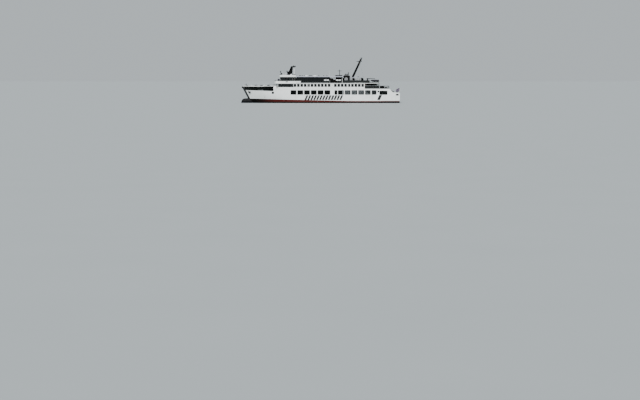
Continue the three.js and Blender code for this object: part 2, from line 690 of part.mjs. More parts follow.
// A railing on [x, y] corners: square posts from foot to the highest bar, and bars at the given heights.
function railing(corners, foot, bars, pitch, half = 0.035) {
  const bodies = [];
  const barRadius = 0.8 * half;
  const top = Math.max(...bars) + half;
  const post = ([x, y]) => bodies.push(box([x - half, x + half], [y - half, y + half], [foot, top]));
  for (let k = 0; k + 1 < corners.length; k++) {
    const [a, b] = [corners[k], corners[k + 1]];
    const length = Math.hypot(b[0] - a[0], b[1] - a[1]);
    const count = Math.max(1, Math.round(length / pitch));
    for (let n = k ? 1 : 0; n <= count; n++) {
      const s = n / count;
      post([a[0] + (b[0] - a[0]) * s, a[1] + (b[1] - a[1]) * s]);
    }
    for (const z of bars) bodies.push(rod([...a, z], [...b, z], barRadius, 4));
  }
  return join(bodies);
}
piece("bridge_bulwark", bridgeBulwark(), "white");

// Wheelhouse: one welded room with windows all round and a door on each wing.
const WHEELHOUSE = { aft: 11.6, fore: 18.1, nose: 18.6, noseHalf: 3, half: 5.6, wall: 0.15, top: ROOF_UNDER };
const BRIDGE_PANE = { low: 10.0, high: 11.4 };
const roomOutline = (inset) => [
  [WHEELHOUSE.aft + inset, -WHEELHOUSE.half + inset],
  [WHEELHOUSE.fore - inset, -WHEELHOUSE.half + inset],
  [WHEELHOUSE.nose - inset, -WHEELHOUSE.noseHalf],
  [WHEELHOUSE.nose - inset, WHEELHOUSE.noseHalf],
  [WHEELHOUSE.fore - inset, WHEELHOUSE.half - inset],
  [WHEELHOUSE.aft + inset, WHEELHOUSE.half - inset],
];
const BRIDGE_DOOR = { x0: 12.0, x1: 12.9, low: BOAT_DECK + 0.15, high: BOAT_DECK + 2.05, thick: 0.06 };
function wheelhouse() {
  const walls = planPrism(roomOutline(0), BOAT_DECK + GAP, WHEELHOUSE.top - GAP);
  const room = planPrism(roomOutline(WHEELHOUSE.wall), BOAT_DECK - 1, WHEELHOUSE.top + 1);
  const band = [BRIDGE_PANE.low, BRIDGE_PANE.high];
  const front = bandPosts(-5.4, 5.4, 1.35).map((y) => box([16, 20], [y - 0.59, y + 0.59], band));
  const sides = bandPosts(13.2, 17.9, 1.55).map((x) => box([x - 0.68, x + 0.68], [-9, 9], band));
  const doors = box([BRIDGE_DOOR.x0, BRIDGE_DOOR.x1], [-9, 9], [BRIDGE_DOOR.low, BRIDGE_DOOR.high]);
  return cut(walls, [room, ...front, ...sides, doors]);
}
piece("wheelhouse", wheelhouse(), "white");
pair(
  "bridge_door",
  box(
    [BRIDGE_DOOR.x0 + DOOR_CLEARANCE, BRIDGE_DOOR.x1 - DOOR_CLEARANCE],
    [WHEELHOUSE.half - BRIDGE_DOOR.thick, WHEELHOUSE.half],
    [BRIDGE_DOOR.low + DOOR_CLEARANCE, BRIDGE_DOOR.high - DOOR_CLEARANCE],
  ),
  "white",
);
const roofOutline = (x0, inset) => [
  [x0, -5.95 + inset],
  [WHEELHOUSE.fore + 0.45 - inset, -5.95 + inset],
  [WHEELHOUSE.nose + 0.45 - inset, -3],
  [WHEELHOUSE.nose + 0.45 - inset, 3],
  [WHEELHOUSE.fore + 0.45 - inset, 5.95 - inset],
  [x0, 5.95 - inset],
];
const WHEELHOUSE_ROOF_TOP = 12.3;
piece("wheelhouse_roof", planPrism(roofOutline(11.47, 0), WHEELHOUSE.top, WHEELHOUSE_ROOF_TOP), "white");

// Upper lounge: walls that are nearly all dark glass, under a long roof that runs on aft over the raft deck.
const LOUNGE = { fore: 11.4, aft: -3.7, half: 6.55, wall: 0.15, low: 9.3, high: 11.5, slope: 1.9 };
function loungeSide() {
  const y = [LOUNGE.half - LOUNGE.wall, LOUNGE.half];
  const profile = [
    [LOUNGE.fore, BOAT_DECK + GAP],
    [LOUNGE.fore, ROOF_UNDER - GAP],
    [LOUNGE.aft, ROOF_UNDER - GAP],
    [LOUNGE.aft - LOUNGE.slope, BOAT_DECK + GAP],
  ];
  const panes = bandPosts(LOUNGE.aft + 0.05, LOUNGE.fore - 0.1, 1.88).map((x) =>
    box([x - 0.88, x + 0.88], [5, 9], [LOUNGE.low, LOUNGE.high]),
  );
  return cut(profilePrism(profile, ...y), panes);
}
pair("lounge_side", loungeSide(), "black");
function loungeGlass() {
  const y = LOUNGE.half - LOUNGE.wall - GAP;
  const pane = box([LOUNGE.aft + LOUNGE.wall + GAP, LOUNGE.fore - 0.2], [y - GLASS_BACK, y], [9.2, 11.6]);
  const header = box([LOUNGE.fore - 0.25, LOUNGE.fore - 0.2], [-y, y], [11.45, 11.6]);
  return join([pane, mirrored(pane), header]);
}
piece("lounge_glass", loungeGlass(), "glass");
const loungeEnd = (x0, doorHalf) => {
  const inner = LOUNGE.half - LOUNGE.wall - 0.06;
  const wall = box([x0, x0 + LOUNGE.wall], [-inner, inner], [BOAT_DECK + GAP, ROOF_UNDER - GAP]);
  return cut(wall, [box([x0 - 1, x0 + 1], [-doorHalf, doorHalf], [BOAT_DECK - 1, BOAT_DECK + 2.1])]);
};
piece("lounge_aft_bulkhead", loungeEnd(LOUNGE.aft, 0.9), "white");

const ROOF = { aft: -9.75, fore: 11.45, half: 7.15, top: 12.02 };
function loungeRoof() {
  const plate = box([ROOF.aft, ROOF.fore], [-ROOF.half, ROOF.half], [ROOF_UNDER, ROOF.top]);
  const post = (x, lean) => {
    const foot = BOAT_DECK + GAP;
    const head = ROOF_UNDER + 0.1;
    const profile = [
      [x - 0.1, foot],
      [x + 0.1, foot],
      [x + 0.1 + lean, head],
      [x - 0.1 + lean, head],
    ];
    return profilePrism(profile, 6.1, 6.3);
  };
  const posts = join([post(-6.3, 0.6), post(-9.3, 0)]);
  return join([plate, posts, mirrored(posts)]);
}
piece("lounge_roof", loungeRoof(), "white");

// Funnels, vents, masts and gear on the boat deck.
const FUNNEL = { aft: -12.75, fore: -9.85, y0: 3.9, y1: 6.1, top: 12.0, capTop: 12.3, lip: 0.1 };
const UPTAKE = { fore: -6.4, outer: 6.0, top: 11.6 }; // the lower casing ahead of it, under the roof
const EXHAUSTS = [
  // foot, head, height, radius
  [-10.6, -10.95, 13.15, 0.22],
  [-11.4, -11.65, 13.15, 0.22],
  [-12.1, -12.2, 13.85, 0.12],
];
function funnel() {
  const { aft, fore, y0, y1, top, capTop, lip } = FUNNEL;
  const middle = (y0 + y1) / 2;
  const pipes = EXHAUSTS.map(([foot, head, z, radius]) =>
    rod([foot, middle, capTop - 0.1], [head, middle, z], radius, 10),
  );
  return join([
    box([aft, fore], [y0, y1], [BOAT_DECK + GAP, top]),
    box([aft - lip, fore + 0.06], [y0 - lip, y1 + lip], [top - 0.02, capTop]),
    box([fore - lip, UPTAKE.fore], [y0, UPTAKE.outer], [BOAT_DECK + GAP, UPTAKE.top]),
    ...pipes,
  ]);
}
pair("funnel", funnel(), "black");
const VENT_HOUSE = { aft: -17.9, fore: -13.2, half: 2.6, top: 11.6 };
piece(
  "vent_house",
  box(
    [VENT_HOUSE.aft, VENT_HOUSE.fore],
    [-VENT_HOUSE.half, VENT_HOUSE.half],
    [BOAT_DECK + GAP, VENT_HOUSE.top],
  ),
  "white",
);

// A cowl ventilator: a trunk whose top bends over towards the bow.
const COWL = { trunk: 0.34, z: 10.75, back: 0.55, mouth: 0.66, rows: [-14.5, -18.4], y: 4.7 };
function cowl(x) {
  const { trunk, z, back, mouth, y } = COWL;
  const shaft = rod([x - 0.15, y, BOAT_DECK + GAP], [x - 0.15, y, z - 0.15], trunk, 10);
  const hood = rod([x - 0.3, y, z], [x + 0.55, y, z], back, 10, mouth);
  const crown = rod([x - 0.15, y, z - 0.25], [x - 0.15, y, z + 0.35], trunk, 10, trunk - 0.06);
  const hollow = rod([x + 0.25, y, z], [x + 0.6, y, z], back - 0.03, 10, mouth - 0.06);
  return cut(join([shaft, hood, crown]), [hollow]);
}
const VENT_TRUNK = [
  [-18.8, -14.1],
  [4.4, 5.0],
  [BOAT_DECK + GAP, 9.5],
];
pair("cowl_vents", join([...COWL.rows.map(cowl), box(...VENT_TRUNK)]), "black");

const AFT_MAST = { foot: [-14.1, 11.62], head: [-17.85, 19.7], top: [-18.35, 20.45] };
const MAST_RADIUS = { foot: 0.45, head: 0.36, step: 0.24, top: 0.16 };
const YARD = { share: 0.88, aft: 0.9, fore: 1.6, half: 2.1, deep: 0.07, wide: 0.1 };
const onCentre = ([x, z]) => [x, 0, z];
function aftMast() {
  const { foot, head, top } = AFT_MAST;
  const x = foot[0] + (head[0] - foot[0]) * YARD.share;
  const z = foot[1] + (head[1] - foot[1]) * YARD.share;
  const heights = [z - YARD.deep, z + YARD.deep];
  const below = box([-20, 0], [-CLEAR, CLEAR], [0, VENT_HOUSE.top + GAP]);
  const mast = join([
    box([foot[0] - 0.5, foot[0] + 0.5], [-0.5, 0.5], [VENT_HOUSE.top + GAP, VENT_HOUSE.top + 0.14]),
    rod(onCentre(foot), onCentre(head), MAST_RADIUS.foot, 10, MAST_RADIUS.head),
    rod([head[0], 0, head[1] - 0.1], onCentre(top), MAST_RADIUS.step, 8, MAST_RADIUS.top),
    box([x - YARD.aft, x + YARD.fore], [-YARD.wide, YARD.wide], heights),
    box([x - YARD.wide, x + YARD.wide], [-YARD.half, YARD.half], heights),
  ]);
  return cut(mast, [below]);
}
piece("aft_mast", aftMast(), "black");

// Radar mast: a raked fin on the wheelhouse roof with a shelf at its head for the scanner.
const RADAR_MAST = [
  [15.5, WHEELHOUSE_ROOF_TOP + GAP],
  [12.4, WHEELHOUSE_ROOF_TOP + GAP],
  [12.4, 12.6],
  [13.15, 12.9],
  [12.95, 16.2],
  [11.6, 16.35],
  [11.6, 16.5],
  [13.8, 16.5],
  [14.85, 14.1],
  [15.5, 14.1],
];
const UPPER_SHELF = [
  [11.6, 13.7],
  [-0.75, 0.75],
  [16.4, 16.55],
];
const LOWER_SHELF = [
  [14.2, 15.95],
  [-0.45, 0.45],
  [14.0, 14.15],
];
const fin = profilePrism(RADAR_MAST, -0.3, 0.3);
piece("radar_mast", join([fin, box(...UPPER_SHELF), box(...LOWER_SHELF)]), "black");
const SCANNER = { unit: 0.16, deep: 0.1, low: 0.24, high: 0.44 };
const scanner = (x, z, half) =>
  join([
    rod([x, 0, z + GAP], [x, 0, z + 0.3], SCANNER.unit, 10),
    box([x - SCANNER.deep, x + SCANNER.deep], [-half, half], [z + SCANNER.low, z + SCANNER.high]),
  ]);
piece("radar_scanner_upper", scanner(12.6, 16.56, 1.25), "white");
piece("radar_scanner_lower", scanner(15.6, 14.16, 0.65), "white");

// Life-raft canisters in pairs, on racks joined by a launching rail at the deck edge.
const RAFT = { y: 7.05, z: 10.2, radius: 0.34, half: 0.54, apart: 0.58, legs: 0.7, racks: [-2.25, -7.6] };
const RACK_Y = [RAFT.y - 0.05, RAFT.y + 0.05];
function raftRack(x) {
  const canister = (at) =>
    rod([at - RAFT.half, RAFT.y, RAFT.z], [at + RAFT.half, RAFT.y, RAFT.z], RAFT.radius, 12);
  const leg = (at) => box([at - 0.05, at + 0.05], RACK_Y, [BOAT_DECK + GAP, RAFT.z - 0.3]);
  const places = [x - RAFT.apart, x + RAFT.apart];
  return join([...places.map(canister), leg(x - RAFT.legs), leg(x + RAFT.legs)]);
}
const raftRail = box([-8.8, -1.1], RACK_Y, [9.8, 9.95]);
pair("liferafts", join([...RAFT.racks.map(raftRack), raftRail]), "white");

// Rescue boat on the port quarter and the davit that lifts it.
const BOAT = { x0: -25.6, x1: -22.1, y: 4.9, half: 0.8, keel: 9.5, bilge: 9.72, side: 10.1, top: 10.55 };
const BOAT_STATIONS = [
  // place along the boat as a share, half width share, keel rise
  [0, 0.75, 0.1],
  [0.2, 0.95, 0],
  [0.6, 1, 0],
  [0.85, 0.7, 0.12],
  [1, 0.12, 0.4],
];
function rescueBoat() {
  const rings = BOAT_STATIONS.map(([share, wide, rise]) => {
    const x = BOAT.x0 + (BOAT.x1 - BOAT.x0) * share;
    const w = BOAT.half * wide;
    const half = [
      [w * 0.75, BOAT.bilge + rise * 0.6],
      [w, BOAT.side],
      [w * 0.8, BOAT.top - 0.2],
    ];
    const other = half.map(([y, z]) => [-y, z]).reverse();
    const section = [[0, BOAT.keel + rise], ...half, [0, BOAT.top], ...other];
    return section.map(([y, z]) => [x, BOAT.y + y, z]);
  });
  return loft(rings);
}
piece("rescue_boat", rescueBoat(), "black");
const CRADLE = { feet: [-24.9, -22.9], wide: 0.1, half: 0.65, top: 9.48, railHalf: 0.08, railTop: 9.3 };
const cradleFoot = (x) =>
  box(
    [x - CRADLE.wide, x + CRADLE.wide],
    [BOAT.y - CRADLE.half, BOAT.y + CRADLE.half],
    [BOAT_DECK + GAP, CRADLE.top],
  );
const DAVIT = { x: -20.7, y: 4.9, foot: 9.65, base: 0.34, post: 0.24, jib: 10.95, deep: 0.14, wide: 0.13 };
const DAVIT_WINCH = [
  [-20.9, -19.9],
  [DAVIT.y - 0.25, DAVIT.y + 0.25],
  [10.0, 10.5],
];
const HOOK = { x: -23.8, low: 10.65, high: 10.9, radius: 0.09 };
const onDavit = (z) => [DAVIT.x, DAVIT.y, z];
const cradleRail = box(
  [-25.0, DAVIT.x],
  [DAVIT.y - CRADLE.railHalf, DAVIT.y + CRADLE.railHalf],
  [BOAT_DECK + GAP, CRADLE.railTop],
);
const pedestal = rod(onDavit(BOAT_DECK + GAP), onDavit(DAVIT.foot), DAVIT.base, 12);
piece("boat_cradle", join([...CRADLE.feet.map(cradleFoot), cradleRail, pedestal]), "steel");
piece(
  "davit_arm",
  join([
    rod(onDavit(DAVIT.foot + 0.02), onDavit(DAVIT.jib), DAVIT.post, 12),
    box(
      [-24.1, -20.2],
      [DAVIT.y - DAVIT.wide, DAVIT.y + DAVIT.wide],
      [DAVIT.jib - DAVIT.deep, DAVIT.jib + DAVIT.deep],
    ),
    box(...DAVIT_WINCH),
    rod([HOOK.x, DAVIT.y, HOOK.low], [HOOK.x, DAVIT.y, HOOK.high], HOOK.radius, 8),
  ]),
  "steel",
);

// Railings and screens. A rail made for one side runs a little past the centreline to join its mirror.
const PAST_CENTRE = 0.02;
const railSide = HALF_BEAM - 0.1;
const boatRailEnd = BOAT_DECK_AFT + 0.1;
const boatRailLine = [
  [-9.3, railSide],
  [boatRailEnd, railSide],
  [boatRailEnd, -PAST_CENTRE],
];
const boatRail = railing(boatRailLine, BOAT_DECK + GAP, [9.65, 10.2], 2.2);
piece("boat_deck_rail", boatRail.add(mirrored(boatRail)), "white");
pair(
  "side_screen",
  box([-21.6, -9.4], [railSide - 0.09, railSide - 0.05], [BOAT_DECK + 0.05, 10.15]),
  "black",
);
// The upper deck's rail carries a screen beside the promenade and the pillars that hold the boat deck up.
const deckRailY = (x) => halfBreadth(x, UPPER_DECK) - 0.1;
const PILLARS = [-21.6, -23.7, -25.8];
const SCREEN = { fore: -19.6, aft: -25.8, low: 6.7, high: 7.62, thick: 0.04 };
const upperRailLine = [
  [-19.5, deckRailY(-19.5)],
  [-25.8, deckRailY(-25.8)],
  [UPPER_DECK_AFT + 0.1, deckRailY(UPPER_DECK_AFT)],
  [UPPER_DECK_AFT + 0.1, -PAST_CENTRE],
];
const screenLine = [SCREEN.fore, SCREEN.aft].map((x) => [x, deckRailY(x) + SCREEN.thick / 2]);
const screenBack = screenLine.map(([x, y]) => [x, y - SCREEN.thick]).reverse();
const upperRail = join([
  railing(upperRailLine, UPPER_DECK + GAP, [7.15, 7.7], 2.1),
  planPrism([...screenLine, ...screenBack], SCREEN.low, SCREEN.high),
  ...PILLARS.map((x) =>
    box([x - 0.07, x + 0.07], [deckRailY(x) - 0.1, deckRailY(x) + 0.04], [UPPER_DECK + GAP, saloonHead]),
  ),
]);
piece("upper_deck_rail", upperRail.add(mirrored(upperRail)), "white");
const FORE_RAIL_X = [21.6, 24.2, 27, 29.4, 31.5, 33.3, 34.7];
function forecastleRail() {
  const side = FORE_RAIL_X.map((x) => [x, halfBreadth(x, FORECASTLE_DECK) - 0.15]);
  const line = [...side, [FORE_RAIL_X.at(-1), -PAST_CENTRE]];
  return railing(line, FORECASTLE_DECK + GAP, [8.1, 8.6], 3.5, 0.03);
}
const bowRail = forecastleRail();
piece("forecastle_rail", bowRail.add(mirrored(bowRail)), "white");

// Mooring gear: a windlass under the forecastle deck, a winch and a locker on the upper deck aft.
// Each has a base, a barrel on an axis across the ship, and cheeks that carry it.
function deckWinch({ base, foot, axis, barrel, barrelHalf, cheek, cheekTop, cheeks }) {
  const [x, z] = axis;
  const top = foot + 0.15;
  const cheekBox = (y) => box([x - cheek, x + cheek], [y - 0.1, y + 0.1], [top - 0.1, cheekTop]);
  return join([
    box(base[0], base[1], [foot + GAP, top]),
    rod([x, -barrelHalf, z], [x, barrelHalf, z], barrel, 10),
    ...cheeks.map(cheekBox),
  ]);
}
const WINDLASS = {
  base: [
    [26.6, 28.6],
    [-1.9, 1.9],
  ],
  foot: MOORING_DECK,
  axis: [27.6, 5.15],
  barrel: 0.3,
  barrelHalf: 1.8,
  cheek: 0.3,
  cheekTop: 5.3,
  cheeks: [-1.2, 1.2],
};
const GYPSY = { radius: 0.5, inner: 1.45, outer: 1.75 };
const onWindlass = (y) => [WINDLASS.axis[0], y, WINDLASS.axis[1]];
const gypsy = (side) => rod(onWindlass(side * GYPSY.inner), onWindlass(side * GYPSY.outer), GYPSY.radius, 10);
piece("windlass", join([deckWinch(WINDLASS), gypsy(1), gypsy(-1)]), "steel");
const LOCKER = [
  [-28.3, -26.3],
  [2.6, 4.6],
  [UPPER_DECK + GAP, 7.75],
];
piece("deck_locker", box(...LOCKER), "black");
const AFT_WINCH = {
  base: [
    [-29.9, -28.9],
    [-1.6, 1.6],
  ],
  foot: UPPER_DECK,
  axis: [-29.4, 7.1],
  barrel: 0.28,
  barrelHalf: 1.5,
  cheek: 0.2,
  cheekTop: 7.2,
  cheeks: [-1.1, 1.1],
};
piece("mooring_winch", deckWinch(AFT_WINCH), "steel");

// Ensign on a staff at the port side of the stern, blown forwards.
const STAFF = { foot: [-34.95, 4.6, 4.27], head: [-35.35, 4.6, 6.95], radius: 0.05 };
const STAFF_BASE = [
  [-35.08, -34.87],
  [4.5, 4.7],
  [QUARTER.top + GAP, 4.4],
];
piece("ensign_staff", join([rod(STAFF.foot, STAFF.head, STAFF.radius, 8), box(...STAFF_BASE)]), "white");
const ENSIGN = [
  [-35.22, 6.8],
  [-35.0, 5.35],
  [-34.2, 4.95],
  [-33.45, 4.85],
  [-33.4, 5.9],
  [-34.3, 6.55],
];
piece("ensign", profilePrism(ENSIGN, 4.48, 4.72), "cloth");

export default ship;
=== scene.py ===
import json
import math

import bmesh
import bpy
from mathutils import Matrix, Vector
from mathutils.geometry import tessellate_polygon

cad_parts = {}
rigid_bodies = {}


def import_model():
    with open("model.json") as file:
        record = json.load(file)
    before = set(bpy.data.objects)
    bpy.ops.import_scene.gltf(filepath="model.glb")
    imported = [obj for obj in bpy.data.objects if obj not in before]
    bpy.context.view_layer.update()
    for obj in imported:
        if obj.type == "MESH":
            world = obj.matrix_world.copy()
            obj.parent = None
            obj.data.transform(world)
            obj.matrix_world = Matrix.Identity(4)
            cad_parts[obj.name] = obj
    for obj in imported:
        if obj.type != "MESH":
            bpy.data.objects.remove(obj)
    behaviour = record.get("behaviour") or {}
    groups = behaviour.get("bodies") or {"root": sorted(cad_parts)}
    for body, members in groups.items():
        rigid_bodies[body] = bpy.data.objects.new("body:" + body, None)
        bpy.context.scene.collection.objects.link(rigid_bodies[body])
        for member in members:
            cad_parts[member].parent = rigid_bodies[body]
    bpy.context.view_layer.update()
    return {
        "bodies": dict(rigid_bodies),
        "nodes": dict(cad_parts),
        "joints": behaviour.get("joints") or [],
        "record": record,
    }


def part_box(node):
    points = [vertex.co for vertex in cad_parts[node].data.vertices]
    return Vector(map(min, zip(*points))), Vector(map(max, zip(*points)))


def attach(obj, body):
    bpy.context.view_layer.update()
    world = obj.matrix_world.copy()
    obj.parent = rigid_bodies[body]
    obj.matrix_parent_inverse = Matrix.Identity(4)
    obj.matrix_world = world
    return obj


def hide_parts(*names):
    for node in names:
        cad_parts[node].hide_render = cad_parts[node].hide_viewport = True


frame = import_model()

# A passenger and vehicle ferry as a 1:2 model. Sizes are metres of the real ship unless they say model.
SCALE = 0.5
HALF_BEAM = 7.2
TRANSOM = -35.1
KEEL = -2.9
CAR_DECK = 2.2
MOORING_DECK = 4.5
UPPER_DECK = 6.6
BOAT_DECK = 9.1
DECK_THICK = 0.3
ROOF_UNDER = 11.65
LOUNGE_TOP = 12.02
HOUSE_TOP = 12.3
RAIL_OUT = 7.1  # how far out the rails stand
WALL = 0.25
PROUD = 0.03  # how far frames stand out of the plating behind them
TAU = 2 * math.pi

# Hull form
FORE_START = 8.0
STEM_AT_CAR_DECK = 33.35
STEM_RAKE = 0.52
STEM_HALF = 0.12
NARROW_FROM = -20.0
TRANSOM_NARROWING = 0.35
RUN_START, RUN_END, TRANSOM_BOTTOM = -12.0, -29.0, -0.35
BILGE_HEIGHT, FLAT_SHARE = 1.8, 0.7
BOW_START, FORECASTLE_DECK = 20.25, 7.6
FORE_STEP = {"aft": 21.25, "shell": 21.3, "fore": 21.45}  # the step from the well up to the forecastle
QUARTER_TOP, QUARTER_SWEEP = 4.25, 6.5
UPPER_DECK_AFT = -30.4


def stem_x(z):
    """The stem rakes up to the upper deck's height and is upright above it."""
    return STEM_AT_CAR_DECK + STEM_RAKE * (min(z, UPPER_DECK) - CAR_DECK)


def fullness(z):
    """The power of the bow's curve in plan: the hull is fuller the higher it is."""
    return 2 + (0.4 if z > 0 else 0.2) * z


def half_breadth(x, z):
    """Half the hull's width outside its plating."""
    if x <= FORE_START:
        aft = max(0.0, (NARROW_FROM - x) / (NARROW_FROM - TRANSOM))
        return HALF_BEAM - TRANSOM_NARROWING * aft**2
    share = min(1.0, (x - FORE_START) / (stem_x(z) - FORE_START))
    return STEM_HALF + (HALF_BEAM - STEM_HALF) * (1 - share ** fullness(z))


def bottom_at(x):
    """Height of the hull's bottom, which rises from the keel towards the transom."""
    share = min(1.0, max(0.0, (RUN_START - x) / (RUN_START - RUN_END)))
    return KEEL + (TRANSOM_BOTTOM - KEEL) * share**1.3


def span(node):
    """A CAD node's extent along x, y and z, in metres of the real ship."""
    low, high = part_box(node)
    return [(low[k] / SCALE, high[k] / SCALE) for k in range(3)]


def steps(start, end, count):
    """The ends of count equal parts, both ends included."""
    return [start + (end - start) * k / count for k in range(count + 1)]


def about(middle, half):
    """The two ends of a stretch round its middle."""
    return (middle - half, middle + half)


def around(count):
    """Angles evenly round a circle, without the last one that repeats the first."""
    return steps(0, TAU, count)[:-1]


# Finishes: every material is a node tree in the frame's own coordinates, in model metres.
NOISE_ROUGHNESS = 0.55


class Finish:
    def __init__(self, name, roughness=0.5, metallic=0.0):
        self.material = bpy.data.materials.new(name)
        self.material.use_nodes = True
        self.tree = self.material.node_tree
        self.shader = self.tree.nodes["Principled BSDF"]
        self.shader.inputs["Metallic"].default_value = metallic
        self.shader.inputs["Roughness"].default_value = roughness
        self.place = self.node("ShaderNodeTexCoord").outputs["Object"]
        self.normal = None

    def node(self, kind, **settings):
        made = self.tree.nodes.new(kind)
        for key, value in settings.items():
            setattr(made, key, value)
        return made

    def feed(self, socket, value):
        if hasattr(value, "is_output"):
            self.tree.links.new(value, socket)
        elif isinstance(value, tuple) and len(value) == 3 and socket.type == "RGBA":
            socket.default_value = (*value, 1.0)
        else:
            socket.default_value = value

    def math(self, operation, a, b=0.0):
        made = self.node("ShaderNodeMath", operation=operation)
        self.feed(made.inputs[0], a)
        self.feed(made.inputs[1], b)
        return made.outputs[0]

    def stretched(self, factors):
        made = self.node("ShaderNodeVectorMath", operation="MULTIPLY")
        self.feed(made.inputs[0], self.place)
        made.inputs[1].default_value = factors
        return made.outputs[0]

    def axes(self):
        made = self.node("ShaderNodeSeparateXYZ")
        self.feed(made.inputs[0], self.place)
        return made.outputs

    def noise(self, size, detail=3.0, stretch=(1, 1, 1)):
        made = self.node("ShaderNodeTexNoise")
        self.feed(made.inputs["Vector"], self.stretched(stretch))
        made.inputs["Scale"].default_value = 1 / size
        made.inputs["Detail"].default_value = detail
        made.inputs["Roughness"].default_value = NOISE_ROUGHNESS
        return made.outputs[0]

    def between(self, value, low, high, to_low=0.0, to_high=1.0, smooth=False):
        made = self.node("ShaderNodeMapRange")
        if smooth:
            made.interpolation_type = "SMOOTHSTEP"
        for socket, number in zip(made.inputs[:5], (value, low, high, to_low, to_high)):
            self.feed(socket, number)
        return made.outputs[0]

    def mix(self, share, a, b):
        made = self.node("ShaderNodeMix", data_type="RGBA")
        self.feed(made.inputs[0], share)
        self.feed(made.inputs[6], a)
        self.feed(made.inputs[7], b)
        return made.outputs[2]

    def bump(self, height, depth, strength=1.0):
        made = self.node("ShaderNodeBump")
        made.inputs["Strength"].default_value = strength
        made.inputs["Distance"].default_value = depth
        self.feed(made.inputs["Height"], height)
        if self.normal:
            self.feed(made.inputs["Normal"], self.normal)
        self.normal = made.outputs[0]

    def done(self, colour, rough=None):
        self.feed(self.shader.inputs["Base Color"], colour)
        if rough is not None:
            self.feed(self.shader.inputs["Roughness"], rough)
        if self.normal:
            self.feed(self.shader.inputs["Normal"], self.normal)
        return self.material


def plating(finish, length, height):
    """Weld seams between plates, as a shallow groove along x and z."""
    x, y, z = finish.axes()
    along = finish.node("ShaderNodeCombineXYZ")
    finish.feed(along.inputs[0], finish.math("ADD", x, y))
    finish.feed(along.inputs[1], z)
    brick = finish.node("ShaderNodeTexBrick", offset=0.37)
    finish.feed(brick.inputs["Vector"], along.outputs[0])
    for socket, number in (("Scale", 1.0), ("Mortar Size", 0.006), ("Mortar Smooth", 0.6)):
        brick.inputs[socket].default_value = number
    brick.inputs["Brick Width"].default_value = length * SCALE
    brick.inputs["Row Height"].default_value = height * SCALE
    finish.bump(finish.math("SUBTRACT", 1.0, brick.outputs["Fac"]), 0.004, 0.6)
    return brick.outputs["Fac"]


def weather(finish, colour, dirt, streaks, rust):
    """Dirt and rust that water has drawn down the plates."""
    patches = finish.between(finish.noise(1.6, 4.0), 0.42, 0.78, 0.0, 0.35)
    colour = finish.mix(patches, colour, dirt)
    runs = finish.noise(0.22, 3.0, (1, 1, 0.07))
    colour = finish.mix(finish.between(runs, 0.55, 0.8, 0.0, streaks), colour, dirt)
    thin = finish.noise(0.09, 2.0, (1, 1, 0.06))
    where = finish.between(finish.noise(1.1, 2.0), 0.52, 0.7)
    marks = finish.math("MULTIPLY", finish.between(thin, 0.66, 0.78, 0.0, rust), where)
    return finish.mix(marks, colour, RUST)


RUST = (0.30, 0.12, 0.045)
WHITE = (0.78, 0.80, 0.79)
GRIME = (0.50, 0.51, 0.47)
MARK_BLACK = (0.003, 0.0035, 0.004)


def white_paint():
    finish = Finish("white_paint")
    seams = plating(finish, 3.2, 1.25)
    colour = weather(finish, WHITE, GRIME, 0.45, 0.7)
    colour = finish.mix(finish.math("MULTIPLY", seams, 0.16), colour, GRIME)
    dents = finish.noise(0.35, 2.0)
    finish.bump(dents, 0.006, 0.35)
    return finish.done(colour, finish.between(dents, 0.3, 0.7, 0.34, 0.52))


# The hull's side: white above, a dark red boot-top, a black stem, and a row of plain slanted bars.
BOOT_TOP = {"aft": 0.97, "bow": 1.95, "from": -12.0, "to": 30.0}
BAR_FIELDS = [
    # x from, x to, z from, z to, pitch, share of the pitch that is black
    (-8.25, 8.65, 1.4, 3.5, 1.3, 0.68),
    (-25.6, -23.75, 1.4, 3.6, 1.9, 0.68),
]
BAR_SLANT = 0.42
STEM_BLACK = 1.0  # how far abaft the stem the black strip reaches
BLACK_TIP = (33.5, 6.2)  # the bow is black ahead of this x and above this z
BOOT_REDS = ((0.075, 0.013, 0.012), (0.042, 0.012, 0.010))
# painted shade of the bow flare: the near black of the boot-top and the bulb towards the bow
BOW_BOOT_SHADE, BOW_BULB_SHADE = (0.006, 0.006, 0.005), (0.002, 0.0022, 0.002)
# the wet band's colours: weed on wet paint, darkened further as painted shade along the waterline
WEED_AND_SHADE = ((0.012, 0.008, 0.007), (0.009, 0.011, 0.008))
FOULED = ((0.16, 0.035, 0.03), (0.09, 0.06, 0.04))


def within(finish, value, low, high):
    above = finish.math("GREATER_THAN", value, low)
    return finish.math("MULTIPLY", above, finish.math("LESS_THAN", value, high))


def slanted_bars(finish, x, z):
    marks = 0.0
    slanted = finish.math("ADD", x, finish.math("MULTIPLY", z, BAR_SLANT))
    for x0, x1, z0, z1, pitch, share in BAR_FIELDS:
        turns = finish.math("DIVIDE", finish.math("SUBTRACT", slanted, x0 * SCALE), pitch * SCALE)
        bar = finish.math("LESS_THAN", finish.math("FRACT", turns), share)
        row = finish.math("MULTIPLY", bar, within(finish, slanted, x0 * SCALE, x1 * SCALE))
        row = finish.math("MULTIPLY", row, within(finish, z, z0 * SCALE, z1 * SCALE))
        marks = finish.math("MAXIMUM", marks, row)
    return marks


